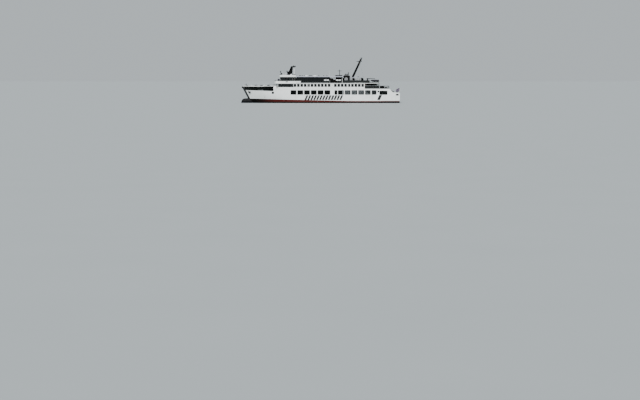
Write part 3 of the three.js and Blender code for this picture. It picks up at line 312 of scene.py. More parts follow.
def underwater(finish, x, z):
    """The boot-top's red, near black towards the bow with painted shade of the bow flare, wet and weedy lower
    down with painted shade along the waterline, and the fouled bottom paint.
    """
    wavy = finish.math("ADD", z, finish.math("MULTIPLY", finish.noise(0.6), 0.015))
    red = finish.mix(finish.between(finish.noise(0.45, 4.0), 0.4, 0.7), *BOOT_REDS)
    # painted shade of the bow flare, darkening the boot-top and the bulb towards the bow
    flare_shade = finish.between(x, 11.0, 15.0, 0.0, 0.95)
    red = finish.mix(flare_shade, red, BOW_BOOT_SHADE)
    # darker lower down: wet, weedy paint and painted shade along the waterline
    wet_and_shaded = finish.between(wavy, 0.36, 0.22)
    weed_and_shade = finish.mix(finish.noise(0.12, 4.0), *WEED_AND_SHADE)
    below = finish.mix(flare_shade, finish.mix(wet_and_shaded, red, weed_and_shade), BOW_BULB_SHADE)
    deep = finish.between(z, 0.0, -0.3)
    fouled = finish.mix(finish.between(finish.noise(0.3, 5.0), 0.35, 0.7), *FOULED)
    return finish.mix(deep, below, fouled)


def black_bow(finish, x, z, colour):
    """A black strip along the stem, and the bow's black tip above it."""
    raked = finish.math("SUBTRACT", finish.math("MINIMUM", z, UPPER_DECK * SCALE), CAR_DECK * SCALE)
    start = (STEM_AT_CAR_DECK - STEM_BLACK) * SCALE
    stem = finish.math("ADD", finish.math("MULTIPLY", raked, STEM_RAKE), start)
    colour = finish.mix(finish.math("GREATER_THAN", x, stem), colour, MARK_BLACK)
    past = [finish.math("GREATER_THAN", v, low * SCALE) for v, low in zip((x, z), BLACK_TIP)]
    return finish.mix(finish.math("MULTIPLY", *past), colour, MARK_BLACK)


def hull_paint():
    finish = Finish("hull_paint")
    x, _, z = finish.axes()
    seams = plating(finish, 6.5, 1.7)
    frames = finish.node("ShaderNodeTexWave", wave_type="BANDS", bands_direction="X")
    finish.feed(frames.inputs["Vector"], finish.place)
    frames.inputs["Scale"].default_value = 0.85
    finish.bump(frames.outputs["Fac"], 0.003, 0.5)
    dents = finish.noise(0.5, 2.0)
    finish.bump(dents, 0.008, 0.4)
    white = weather(finish, WHITE, GRIME, 0.55, 0.85)
    white = finish.mix(finish.math("MULTIPLY", seams, 0.2), white, GRIME)
    white = finish.mix(slanted_bars(finish, x, z), white, MARK_BLACK)
    line = [BOOT_TOP[key] * SCALE for key in ("from", "to", "aft", "bow")]
    top = finish.between(x, *line)
    below = underwater(finish, x, z)
    under = finish.math("LESS_THAN", z, top)
    colour = finish.mix(under, white, below)
    finish.feed(finish.shader.inputs["Specular IOR Level"], finish.between(under, 0, 1, 0.5, 0.06))
    colour = black_bow(finish, x, z, colour)
    return finish.done(colour, finish.between(dents, 0.3, 0.7, 0.36, 0.55))


def painted(
    name, colour, worn, size=0.4, roughness=(0.4, 0.6), rust=0.0, metallic=0.0, depth=0.002, gloss=0.5
):
    """A plain coat with patches of wear, fine unevenness and a little rust."""
    finish = Finish(name, metallic=metallic)
    finish.shader.inputs["Specular IOR Level"].default_value = gloss
    tone = finish.noise(size, 4.0)
    mixed = finish.mix(finish.between(tone, 0.4, 0.72), colour, worn)
    if rust:
        spots = finish.noise(0.12, 4.0, (1, 1, 0.35))
        mixed = finish.mix(finish.between(spots, 0.6, 0.7, 0.0, rust), mixed, RUST)
    finish.bump(finish.noise(0.04, 3.0), depth, 0.5)
    return finish.done(mixed, finish.between(tone, 0.3, 0.7, *roughness))


DECK_GREENS = ((0.060, 0.135, 0.095), (0.115, 0.15, 0.12))
DECK_STAIN = (0.09, 0.075, 0.055)
# painted shade: near-black paint for the garage, the mooring space and the other covered spaces
GARAGE_SHADE_COLOURS = ((0.030, 0.043, 0.038), (0.018, 0.022, 0.020))
FACING = 0.7  # how squarely a face looks up, down or sideways to be painted as such
DECK_EDGE_LINES = [
    # the dark lines along the edges of the boat deck and of the upper deck: z from, z to, x from, x to
    (8.95, 9.15, -26.0, 11.4),
    (6.42, 6.65, -30.3, -19.5),
]


def dark_edge_lines(finish, x, z):
    lines = 0.0
    for low, high, aft, fore in DECK_EDGE_LINES:
        strip = within(finish, z, low * SCALE, high * SCALE)
        strip = finish.math("MULTIPLY", strip, within(finish, x, aft * SCALE, fore * SCALE))
        lines = finish.math("MAXIMUM", lines, strip)
    return lines


def deck_paint():
    """Green on what faces up, white on edges and ceilings, and the garage's near-black paint, painted shade,
    below the upper deck and on ceilings below the forecastle deck.
    """
    finish = Finish("deck_paint")
    facing = finish.node("ShaderNodeSeparateXYZ")
    coord = finish.node("ShaderNodeTexCoord")
    finish.feed(facing.inputs[0], coord.outputs["Normal"])
    green = finish.mix(finish.between(finish.noise(0.9, 5.0), 0.38, 0.7), *DECK_GREENS)
    green = finish.mix(finish.between(finish.noise(0.25, 4.0), 0.6, 0.75, 0, 0.6), green, DECK_STAIN)
    white = weather(finish, WHITE, GRIME, 0.4, 0.7)
    up = finish.math("GREATER_THAN", facing.outputs[2], FACING)
    colour = finish.mix(up, white, green)
    z = finish.axes()[2]
    low = finish.math("LESS_THAN", z, (UPPER_DECK - DECK_THICK + 0.01) * SCALE)
    ceiling = finish.math("LESS_THAN", facing.outputs[2], -FACING)
    ceiling = finish.math("MULTIPLY", ceiling, finish.math("LESS_THAN", z, FORECASTLE_DECK * SCALE))
    # painted shade of the covered spaces below the upper deck and under the forecastle
    inside = weather(finish, *GARAGE_SHADE_COLOURS, 0.8, 0.8)
    colour = finish.mix(finish.math("MAXIMUM", low, ceiling), colour, inside)
    x = finish.axes()[0]
    lines = dark_edge_lines(finish, x, z)
    sideways = finish.math("GREATER_THAN", finish.math("ABSOLUTE", facing.outputs[1]), FACING)
    colour = finish.mix(finish.math("MULTIPLY", lines, sideways), colour, MARK_BLACK)
    finish.bump(finish.noise(0.012, 2.0), 0.002, 0.6)
    return finish.done(colour, finish.between(up, 0, 1, 0.45, 0.8))


# painted shade: the near-black paint of the garage and the covered spaces
def shaded_garage_paint():
    finish = Finish("shaded_garage_paint")
    colour = weather(finish, *GARAGE_SHADE_COLOURS, 0.8, 0.8)
    finish.bump(finish.noise(0.3), 0.004, 0.4)
    return finish.done(colour, 0.6)


def dark_glass():
    finish = Finish("dark_glass", roughness=0.06)
    tone = finish.noise(0.5)
    finish.shader.inputs["Specular IOR Level"].default_value = 0.25
    finish.bump(finish.noise(0.8, 1.0), 0.002, 0.25)
    colour = finish.mix(tone, (0.002, 0.003, 0.0035), (0.005, 0.007, 0.008))
    return finish.done(colour, finish.between(tone, 0.3, 0.7, 0.04, 0.1))


def clear_glass(name="clear_glass", alpha=0.8):
    finish = Finish(name, roughness=0.03)
    tone = finish.noise(0.6)
    finish.shader.inputs["Alpha"].default_value = alpha
    colour = finish.mix(tone, (0.003, 0.0045, 0.005), (0.006, 0.009, 0.010))
    return finish.done(colour, finish.between(tone, 0.3, 0.7, 0.02, 0.06))


def tinted_glass():
    return clear_glass("tinted_glass", 0.38)


def woven(name, colour, faded, thread=0.006):
    """Cloth with a plain weave, faded in patches."""
    finish = Finish(name, roughness=0.85)
    finish.shader.inputs["Sheen Weight"].default_value = 0.08
    mixed = finish.mix(finish.between(finish.noise(0.5, 4.0), 0.35, 0.7), colour, faded)
    weave = finish.node("ShaderNodeTexChecker")
    finish.feed(weave.inputs["Vector"], finish.place)
    weave.inputs["Scale"].default_value = 1 / thread
    finish.bump(weave.outputs["Fac"], 0.0008, 0.4)
    finish.bump(finish.noise(0.15, 3.0), 0.004, 0.4)
    return finish.done(mixed)


ENSIGN_STRIPES = [
    # share of the height where each stripe starts, colour
    (0.0, (0.034, 0.018, 0.042)),
    (0.2, (0.11, 0.09, 0.13)),
    (0.8, (0.034, 0.018, 0.042)),
]
ENSIGN_WORN = (0.10, 0.08, 0.115)
# The lower edge and the height of the hanging cloth at its fly, and how both change towards the staff
ENSIGN = {"fly": -33.45, "low": 4.87, "low_slope": -0.33, "height": 1.03, "height_slope": -0.27}


def ensign_cloth():
    finish = Finish("ensign_cloth", roughness=0.85)
    x, _, z = finish.axes()
    along = finish.math("SUBTRACT", x, ENSIGN["fly"] * SCALE)
    low, tall = (
        finish.math("ADD", finish.math("MULTIPLY", along, ENSIGN[key + "_slope"]), ENSIGN[key] * SCALE)
        for key in ("low", "height")
    )
    share = finish.math("DIVIDE", finish.math("SUBTRACT", z, low), tall)
    colour = ENSIGN_STRIPES[0][1]
    for start, paint in ENSIGN_STRIPES[1:]:
        colour = finish.mix(finish.math("GREATER_THAN", share, start), colour, paint)
    colour = finish.mix(finish.between(finish.noise(0.2), 0.4, 0.8, 0, 0.3), colour, ENSIGN_WORN)
    finish.bump(finish.noise(0.01, 2.0), 0.0006, 0.5)
    return finish.done(colour)


FINISHES = {
    "white": white_paint,
    "hull": hull_paint,
    "deck": deck_paint,
    "garage": shaded_garage_paint,
    "glass": dark_glass,
    "pane": clear_glass,
    "tint": tinted_glass,
    "ensign": ensign_cloth,
}
COATS = {
    # finish: material, colour, worn colour, what differs from the usual coat
    "black": ("black_paint", (0.0022, 0.0026, 0.0030), (0.006, 0.007, 0.0075), {"rust": 0.15, "gloss": 0.06}),
    "grey": ("grey_paint", (0.32, 0.34, 0.35), (0.22, 0.24, 0.25), {"rust": 0.5}),
    "disc": ("funnel_grey", (0.185, 0.195, 0.20), (0.15, 0.16, 0.165), {"size": 0.6, "rust": 0.2}),
    "lavender": ("roof_grey", (0.40, 0.41, 0.48), (0.33, 0.34, 0.38), {"size": 1.2}),
    "steel": (
        "grey_steel", (0.34, 0.35, 0.36), (0.2,) * 3,
        {"roughness": (0.3, 0.55), "rust": 0.7, "metallic": 0.7},
    ),
    "bronze": (
        "bronze", (0.55, 0.36, 0.15), (0.28, 0.24, 0.13), {"roughness": (0.22, 0.45), "metallic": 0.95},
    ),
    "rubber": ("black_rubber", (0.006,) * 3, (0.016, 0.016, 0.015), {"roughness": (0.75, 0.9), "gloss": 0.1}),
    "orange": ("orange_paint", (0.75, 0.14, 0.02), (0.55, 0.12, 0.03), {}),
    "yellow": ("yellow_paint", (0.75, 0.50, 0.04), (0.5, 0.34, 0.05), {"rust": 0.4}),
    "red": ("red_paint", (0.42, 0.03, 0.02), (0.28, 0.03, 0.02), {"rust": 0.2}),
    "antifouling": (
        "red_antifouling", (0.15, 0.034, 0.028), (0.08, 0.05, 0.035), {"size": 0.3, "roughness": (0.6, 0.8)},
    ),
    "canister": (
        "raft_white", (0.74, 0.76, 0.76), (0.60, 0.62, 0.61), {"size": 0.5, "roughness": (0.3, 0.45)},
    ),
    "wood": ("teak", (0.22, 0.11, 0.05), (0.14, 0.08, 0.045), {"size": 0.15, "roughness": (0.5, 0.7)}),
    "rope": (
        "rope", (0.36, 0.31, 0.2), (0.2, 0.18, 0.13),
        {"size": 0.06, "roughness": (0.8, 0.95), "depth": 0.006},
    ),
    "soot": ("sooty_steel", (0.035, 0.037, 0.038), (0.02,) * 3, {"roughness": (0.5, 0.7), "rust": 0.3}),
}
CLOTHS = {
    # finish: material, colour, faded colour
    "screen": ("screen_cloth", (0.003, 0.005, 0.0055), (0.008, 0.012, 0.0125)),
    "cover": ("dark_cover", (0.004, 0.0035, 0.010), (0.011, 0.009, 0.020)),
    "canvas": ("grey_canvas", (0.085, 0.105, 0.10), (0.12, 0.14, 0.135)),
}
made_finishes = {}


def new_material(name):
    if name in COATS:
        *coat, options = COATS[name]
        return painted(*coat, **options)
    if name in CLOTHS:
        return woven(*CLOTHS[name])
    return FINISHES[name]()


def material(name):
    if name not in made_finishes:
        made_finishes[name] = new_material(name)
    return made_finishes[name]


# How a flat outline's two numbers and the distance from its plane become x, y and z
PLANES = {
    "xy": lambda a, b, c: (a, b, c),
    "xz": lambda a, b, c: (a, c, b),
    "yz": lambda a, b, c: (c, a, b),
}


# Shapes: points and faces in metres of the real ship, each face with the finish it was added in.
class Shape:
    def __init__(self, finish="white"):
        self.points = []
        self.faces = []
        self.finishes = []
        self.finish = finish

    def add(self, points, faces, finish=None):
        start = len(self.points)
        self.points += [tuple(p) for p in points]
        self.faces += [[start + i for i in face] for face in faces]
        self.finishes += [finish or self.finish] * len(faces)

    def join(self, other):
        start = len(self.points)
        self.points += other.points
        self.faces += [[start + i for i in face] for face in other.faces]
        self.finishes += other.finishes
        return self

    def copied(self, change):
        other = Shape(self.finish)
        other.points = [change(p) for p in self.points]
        other.faces = self.faces
        other.finishes = self.finishes
        return other

    def moved(self, dx=0.0, dy=0.0, dz=0.0):
        return self.copied(lambda p: (p[0] + dx, p[1] + dy, p[2] + dz))

    def turned(self, degrees, axis="Z"):
        turn = Matrix.Rotation(math.radians(degrees), 3, axis)
        return self.copied(lambda p: tuple(turn @ Vector(p)))

    def mirrored(self):
        return self.copied(lambda p: (p[0], -p[1], p[2]))

    def both_sides(self):
        return self.join(self.mirrored())

    def box(self, x, y, z, finish=None):
        points = [(a, b, c) for c in z for a, b in ((x[0], y[0]), (x[1], y[0]), (x[1], y[1]), (x[0], y[1]))]
        faces = [(3, 2, 1, 0), (4, 5, 6, 7), (0, 1, 5, 4), (1, 2, 6, 5), (2, 3, 7, 6), (3, 0, 4, 7)]
        self.add(points, faces, finish)

    def loft(self, rings, finish=None, caps=True, last_finish=None):
        """Faces between rings of points; a ring of one point is a pole.

        last_finish is for the strip that closes the rings."""
        starts, points, faces, finishes = [], [], [], []
        for ring in rings:
            starts.append(len(points))
            points += ring
        for r in range(len(rings) - 1):
            a, b = starts[r], starts[r + 1]
            na, nb = len(rings[r]), len(rings[r + 1])
            count = max(na, nb)
            for k in range(count):
                n = (k + 1) % count
                if na == 1:
                    faces.append((a, b + n, b + k))
                elif nb == 1:
                    faces.append((a + k, a + n, b))
                else:
                    faces.append((a + k, a + n, b + n, b + k))
                finishes.append(last_finish if last_finish and k == count - 1 else finish)
        if caps:
            for start, ring in ((starts[0], rings[0]), (starts[-1], rings[-1])):
                if len(ring) > 2:
                    faces.append(tuple(range(start, start + len(ring))))
                    finishes.append(finish)
        begin = len(self.finishes)
        self.add(points, faces)
        for k, paint in enumerate(finishes):
            self.finishes[begin + k] = paint or self.finish

    def tube(self, path, radius, sides=8, finish=None, closed=False):
        """A round bar along a path, mitred at its corners; radius is a number or one for each point."""
        path = [Vector(p) for p in path]
        count = len(path)
        radii = radius if isinstance(radius, (list, tuple)) else [radius] * count
        rings = []
        up = None
        for k, point in enumerate(path):
            before = path[k - 1] if k or closed else None
            after = path[(k + 1) % count] if k + 1 < count or closed else None
            into = (point - before).normalized() if before is not None else (after - point).normalized()
            out = (after - point).normalized() if after is not None else into
            along = (into + out).normalized()
            if up is None:
                up = Vector((0, 0, 1)) if abs(along.z) < 0.9 else Vector((1, 0, 0))
            up = (up - along * up.dot(along)).normalized()
            side = along.cross(up)
            bend = out - into
            stretch = 1 / max(0.6, math.sqrt(max(0.0, (1 + into.dot(out)) / 2))) - 1
            bend = bend.normalized() if bend.length > 1e-6 else Vector()
            ring = []
            for s in range(sides):
                a = TAU * (s + 0.5) / sides
                offset = (up * math.cos(a) + side * math.sin(a)) * radii[k]
                ring.append(tuple(point + offset + bend * (offset.dot(bend) * stretch)))
            rings.append(ring)
        if closed:
            rings.append(rings[0])
        self.loft(rings, finish, caps=not closed)

    def post(self, x, y, low, high, radius, sides=6, finish=None):
        self.tube([(x, y, low), (x, y, high)], radius, sides, finish)

    def prism(self, outline, low, high, plane="xy", finish=None):
        """A flat outline carried along the third axis from low to high."""
        place = PLANES[plane]
        self.loft([[place(a, b, c) for a, b in outline] for c in (low, high)], finish)

    def lathe(self, profile, centre, axis="z", sides=16, finish=None):
        """A profile of (radius, distance along the axis) turned about an axis through centre."""
        rings = []
        for radius, along in profile:
            ring = []
            for s in range(1 if radius < 1e-4 else sides):
                a = TAU * s / sides
                u, v = radius * math.cos(a), radius * math.sin(a)
                point = {"z": (u, v, along), "y": (v, along, u), "x": (along, u, v)}[axis]
                ring.append(tuple(c + p for c, p in zip(centre, point)))
            rings.append(ring)
        self.loft(rings, finish)

    def plate(self, outline, holes, low, high, plane="xz", finish=None, faces_finish=None):
        """A flat plate with holes; faces_finish is for its two faces and finish for the edges."""
        place = PLANES[plane]
        loops = [outline, *holes]
        triangles = tessellate_polygon([[Vector((a, b, 0)) for a, b in loop] for loop in loops])
        flat = [p for loop in loops for p in loop]
        total = len(flat)
        points = [place(a, b, c) for c in (low, high) for a, b in flat]
        self.add(points, triangles, faces_finish or finish)
        start = len(self.points) - 2 * total
        self.faces += [[start + total + i for i in reversed(t)] for t in triangles]
        self.finishes += [faces_finish or finish or self.finish] * len(triangles)
        first = 0
        for loop in loops:
            for k in range(len(loop)):
                a, b = start + first + k, start + first + (k + 1) % len(loop)
                self.faces.append([a, b, b + total, a + total])
                self.finishes.append(finish or self.finish)
            first += len(loop)


def rounded(x0, x1, z0, z1, radius, per_corner=4):
    """A rectangle's outline with round corners."""
    low_x, high_x, low_z, high_z = x0 + radius, x1 - radius, z0 + radius, z1 - radius
    corners = [(high_x, high_z, 0), (low_x, high_z, 90), (low_x, low_z, 180), (high_x, low_z, 270)]
    outline = []
    for cx, cz, start in corners:
        for k in range(per_corner + 1):
            a = math.radians(start + 90 * k / per_corner)
            outline.append((cx + radius * math.cos(a), cz + radius * math.sin(a)))
    return outline


def circle(cx, cz, radius, count=20):
    turns = [TAU * k / count for k in range(count)]
    return [(cx + radius * math.cos(a), cz + radius * math.sin(a)) for a in turns]


def shrunk(outline, by):
    """The outline, anticlockwise, with every edge moved inwards."""
    count = len(outline)
    moved = []
    for k, here in enumerate(outline):
        into = (Vector(here) - Vector(outline[k - 1])).normalized()
        out = (Vector(outline[(k + 1) % count]) - Vector(here)).normalized()
        inward = Vector((-into.y - out.y, into.x + out.x)).normalized()
        reach = by / max(0.3, inward.dot(Vector((-into.y, into.x))))
        moved.append(tuple(Vector(here) + inward * reach))
    return moved


def widened(outline, dx, dz):
    """The outline with each point moved away from the middle along both axes."""
    x, z = ((min(p[k] for p in outline) + max(p[k] for p in outline)) / 2 for k in (0, 1))
    return [(a + math.copysign(dx, a - x), b + math.copysign(dz, b - z)) for a, b in outline]


def piece(name, shape, body="ship", replaces=(), slot="white_paint", bevel=0.0, sharp=35):
    """Makes the shape a Blender object of the model's size, riding on a CAD body."""
    mesh = bpy.data.meshes.new(name)
    mesh.from_pydata([Vector(p) * SCALE for p in shape.points], [], shape.faces)
    names = sorted(set(shape.finishes))
    for finish in names:
        mesh.materials.append(material(finish))
    mesh.polygons.foreach_set("material_index", [names.index(f) for f in shape.finishes])
    work = bmesh.new()
    work.from_mesh(mesh)
    bmesh.ops.recalc_face_normals(work, faces=work.faces)
    work.to_mesh(mesh)
    work.free()
    mesh.polygons.foreach_set("use_smooth", [True] * len(mesh.polygons))
    made = bpy.data.objects.new(name, mesh)
    bpy.context.scene.collection.objects.link(made)
    if bevel:
        soften = made.modifiers.new("edges", "BEVEL")
        soften.width = bevel * SCALE
        soften.segments = 2
        soften.limit_method = "ANGLE"
        soften.angle_limit = math.radians(40)
        soften.harden_normals = True
    else:
        mesh.set_sharp_from_angle(angle=math.radians(sharp))
    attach(made, body)
    if replaces:
        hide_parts(*replaces)
    return made


def dress(node, finish):
    """Gives a CAD node that stays in view its finish."""
    kept = frame["nodes"][node]
    kept.data.materials.clear()
    kept.data.materials.append(material(finish))


# Hull below the vehicle deck
def hull_ring(x_at, fore):
    """A section from the port edge of the vehicle deck down, under and up to the starboard edge."""
    low = bottom_at(x_at(KEEL))
    high = min(BILGE_HEIGHT + 1.1 * fore, CAR_DECK - 0.7 - low)
    flat = FLAT_SHARE * (1 - fore)
    power = 1 + 0.35 * fore
    side = []
    for a in steps(0, math.pi / 2, 12):
        z = low + high * (1 - max(0.0, math.cos(a)) ** power)
        y = half_breadth(x_at(z), z) * (flat + (1 - flat) * math.sin(a) ** power)
        side.append((x_at(z), max(y, STEM_HALF / 2), z))
    for z in steps(low + high, CAR_DECK, 5)[1:]:
        side.append((x_at(z), half_breadth(x_at(z), z), z))
    return side[::-1] + [(x, -y, z) for x, y, z in side]


def hull_body():
    shape = Shape("hull")
    aft = [hull_ring(lambda z, x=x: x, 0.0) for x in steps(TRANSOM, FORE_START, 44)]
    shares = [math.sin(s * math.pi / 2) for s in steps(0.0, 1.0, 26)[1:]]
    fore = [hull_ring(lambda z, s=s: FORE_START + s * (stem_x(z) - FORE_START), s) for s in shares]
    shape.loft(aft + fore, last_finish="garage")
    return shape


BULB = {"start": 27.0, "full": 33.5, "nose": 36.35, "centre": -0.38, "half_height": 2.48, "half_width": 1.05}
BULB_END = 2.84  # from the fullest section to the last ring, just short of the nose


def bulb_share(x):
    """The size of the bulb's section at x, as a share of the fullest one."""
    if x <= BULB["full"]:
        return 1 - 0.5 * (1 - (x - BULB["start"]) / (BULB["full"] - BULB["start"])) ** 2.4
    ahead = min(1.0, (x - BULB["full"]) / (BULB["nose"] - BULB["full"]))
    return max(0.0, 1 - ahead**3) ** (1 / 3)


def bulb():
    shape = Shape("hull")
    places = steps(BULB["start"], BULB["full"], 10)
    places += [BULB["full"] + BULB_END * math.sin(s) for s in steps(0.1, math.pi / 2, 12)]
    rings = []
    for x in places:
        wide, tall = (BULB[key] * bulb_share(x) for key in ("half_width", "half_height"))
        ring = []
        for a in around(32):
            y, z = (math.copysign(abs(v) ** 0.8, v) for v in (math.cos(a), math.sin(a)))
            ring.append((x, wide * y, BULB["centre"] + tall * z))
        rings.append(ring)
    shape.loft(rings)
    return shape


SHAFT = {"y": 3.3, "z": -1.75, "start": -22.6}
SKEG = [(-26.5, KEEL), (-10.0, KEEL), (-10.0, KEEL + 0.6), (-28.2, 0.0), (-28.2, bottom_at(-28.2) - 0.3)]
# Profiles turned about an axis: (radius, distance along it)
BOSSING = [(0.19, -22.92), (0.3, -22.9), (0.36, -22.5), (0.42, -21.5), (0.42, -18.0)]
BRACKET_HUB = [(0.2, -29.3), (0.3, -29.3), (0.34, -29.22), (0.34, -28.78), (0.3, -28.7), (0.2, -28.7)]
BRACKET_ARM = {"aft": -29.28, "chord": 0.56, "spread": 1.1, "root": 1.2}
RUDDER_STOCK = -32.3
RUDDER_TRUNK = [(0.17, -0.56), (0.28, -0.56), (0.32, -0.5), (0.32, 0.3)]
BILGE_KEEL = {"out": 0.35, "half": 0.04, "y": 6.0, "z": -1.85}
BILGE_KEEL_LINE = [(-10.0, 0), (-9.2, 0.45), (7.2, 0.45), (8.0, 0)]


def bilge_keel(shape):
    """A plate that stands out at 45 degrees from the turn of the bilge."""
    slope = math.sqrt(0.5)
    y, z = BILGE_KEEL["y"], BILGE_KEEL["z"]
    line = [(x, BILGE_KEEL["out"] + deep) for x, deep in BILGE_KEEL_LINE]
    rings = []
    for thick in (-BILGE_KEEL["half"], BILGE_KEEL["half"]):
        rings.append([(x, y + (out + thick) * slope, z - (out - thick) * slope) for x, out in line])
    shape.loft(rings)


def stern_gear():
    """Skeg, bossings, shaft brackets, rudder trunks and bilge keels."""
    shape = Shape("hull")
    shape.prism(SKEG, -0.3, 0.3, "xz")
    side = Shape("hull")
    y, z = SHAFT["y"], SHAFT["z"]
    for profile in (BOSSING, BRACKET_HUB):
        side.lathe(profile, (0, y, z), "x", 24)
    arm = BRACKET_ARM
    for spread in (arm["spread"], -arm["spread"]):
        ring = [(arm["aft"] + arm["chord"] * along, across) for along, across in foil_outline(6)]
        root = [(a, y + b * arm["root"], z) for a, b in ring]
        side.loft([root, [(a, y + spread + b, 0.0) for a, b in ring]])
    side.lathe(RUDDER_TRUNK, (RUDDER_STOCK, y, 0), "z", 24)
    bilge_keel(side)
    return shape.join(side.both_sides())


def foil_thickness(s):
    return 0.27 * (math.sqrt(s) * (1 - s) + 0.08 * s * (1 - s))


def foil_outline(count):
    """A symmetric foil of unit chord, x from 0 to 1."""
    shares = [0.5 - 0.5 * math.cos(a) for a in steps(0, math.pi, count)]
    upper = [(s, foil_thickness(s)) for s in shares]
    lower = [(s, -foil_thickness(s)) for s in shares[1:-1]]
    return upper + lower[::-1]


FOIL_HALF = 0.104  # half thickness of that foil at its fullest


def pair(name, shape, replaces, body="ship", **settings):
    """The port piece and its mirror image; a star in a name stands for the side."""
    for side, made in (("port", shape), ("starboard", shape.mirrored())):
        names = [node.replace("*", side) for node in replaces]
        piece(name.replace("*", side), made, body.replace("*", side), names, **settings)


hull = hull_body().join(bulb()).join(stern_gear())
piece("hull_body", hull, replaces=["lower_hull"], slot="red_antifouling", sharp=38)


# Side plating from the transom to the stem, with its openings
SIDE_OPENING = {"low": 3.8, "high": 5.75, "width": 2.35, "pitch": 3.03, "first": 12.55, "round": 0.28}
MOORING_WINDOW = (-29.5, -26.3, 3.75, 5.5)
SCUTTLE = (-25.7, -25.2, 4.85, 5.5)
SLOT = {"aft": 21.6, "fore": 34.45, "low_aft": 5.4, "low_fore": 5.85, "top": 7.26, "corner": 0.45}


# The anchor hangs outside on a boss; its own axes are along the flare, outwards and up the flare
ANCHOR = {"x": 32.5, "z": 5.2, "boss": 0.45, "boss_out": 0.06, "lean": 0.4}
ANCHOR_YAW, ANCHOR_TILT = (
    math.atan2(
        half_breadth(ANCHOR["x"] - dx * ANCHOR["lean"], ANCHOR["z"] + dz * ANCHOR["lean"])
        - half_breadth(ANCHOR["x"] + dx * ANCHOR["lean"], ANCHOR["z"] - dz * ANCHOR["lean"]),
        2 * ANCHOR["lean"],
    )
    for dx, dz in ((1, 0), (0, 1))
)


def at_anchor(point):
    along, out, up = point
    out, up = (
        out * math.cos(ANCHOR_TILT) + up * math.sin(ANCHOR_TILT),
        up * math.cos(ANCHOR_TILT) - out * math.sin(ANCHOR_TILT),
    )
    x = ANCHOR["x"] + along * math.cos(ANCHOR_YAW) + out * math.sin(ANCHOR_YAW)
    y = out * math.cos(ANCHOR_YAW) - along * math.sin(ANCHOR_YAW)
    return (x, half_breadth(ANCHOR["x"], ANCHOR["z"]) + y, ANCHOR["z"] + up)


# Besides the even row: middle and width of a narrow opening and of two by the stairs
ODD_OPENINGS = [(SIDE_OPENING["first"] - 6.27 * SIDE_OPENING["pitch"], 1.0), (-20.75, 2.25), (-23.55, 1.9)]
EVEN_OPENINGS = (0, 1, 2, 3, 4, 5, 7, 8, 9, 10)  # places taken in the row


def side_openings():
    o = SIDE_OPENING
    places = [(o["first"] - k * o["pitch"], o["width"]) for k in EVEN_OPENINGS] + ODD_OPENINGS
    return [rounded(*about(x, w / 2), o["low"], o["high"], o["round"]) for x, w in places]


# painted shade: a black band round each opening widens its dark look
OPENING_SHADE_MARGIN = (0.13, 0.03)  # how far the black paint round an opening reaches, along x and z
MOORING_SHADE_MARGIN = (-29.55, -25.98, 3.72, 5.53)
GLAZED_ABAFT = -10.0  # the garage's openings abaft this x have tinted panes
STAIR_PANES_ABAFT = -22.5  # and darker ones by the stairs
PANE_DEPTH = 0.15  # how far in from the hull's side the panes stand


def opening_panes(holes):
    shape = Shape("tint")
    for hole in holes:
        x = sum(p[0] for p in hole) / len(hole)
        if x < GLAZED_ABAFT:
            y = half_breadth(x, CAR_DECK) - PANE_DEPTH
            shape.plate(hole, [], y, y + 0.03, "xz", "pane" if x < STAIR_PANES_ABAFT else "tint")
            bar = (SIDE_OPENING["low"], SIDE_OPENING["high"])
            shape.box(about(x, 0.02), (y, y + 0.05), bar, "black")
    return shape


def slot_outline():
    r, aft, fore, low, top = (SLOT[key] for key in ("corner", "aft", "fore", "low_aft", "top"))
    nip = 0.1  # cuts the fore corner
    corner = [(aft + r - r * math.cos(a), low + r - r * math.sin(a)) for a in steps(0, math.pi / 2, 6)]
    rise = SLOT["low_fore"] - low
    shares = steps(0, 1, 14)
    lower = [(aft + r + s * (fore - aft - r), low + s * rise) for s in shares[1:]]
    upper = [(fore - nip - s * (fore - aft - 0.22), top) for s in shares]
    return corner + lower + [(fore, top - nip)] + upper


SWEEP_MIDDLE = (-31.3, 4.7)  # the control point of the curve from the upper deck down to the quarter


def side_outline():
    """The side's outline in x and z: foot, stem, forecastle edge, step, upper deck edge and stern's sweep."""
    under, fore_under = UPPER_DECK - DECK_THICK, FORECASTLE_DECK - DECK_THICK
    stem = [(stem_x(z), z) for z in steps(CAR_DECK, UPPER_DECK, 9) + [fore_under]]
    step = [(FORE_STEP["shell"], fore_under), (FORE_STEP["shell"], under)]
    sweep = []
    for t in steps(0.0, 1.0, 12):
        x = (1 - t) ** 2 * UPPER_DECK_AFT + 2 * t * (1 - t) * SWEEP_MIDDLE[0] + t * t * TRANSOM
        z = (1 - t) ** 2 * QUARTER_SWEEP + 2 * t * (1 - t) * SWEEP_MIDDLE[1] + t * t * QUARTER_TOP
        sweep.append((x, min(z, under)))
    return [(TRANSOM, CAR_DECK)] + stem + step + sweep


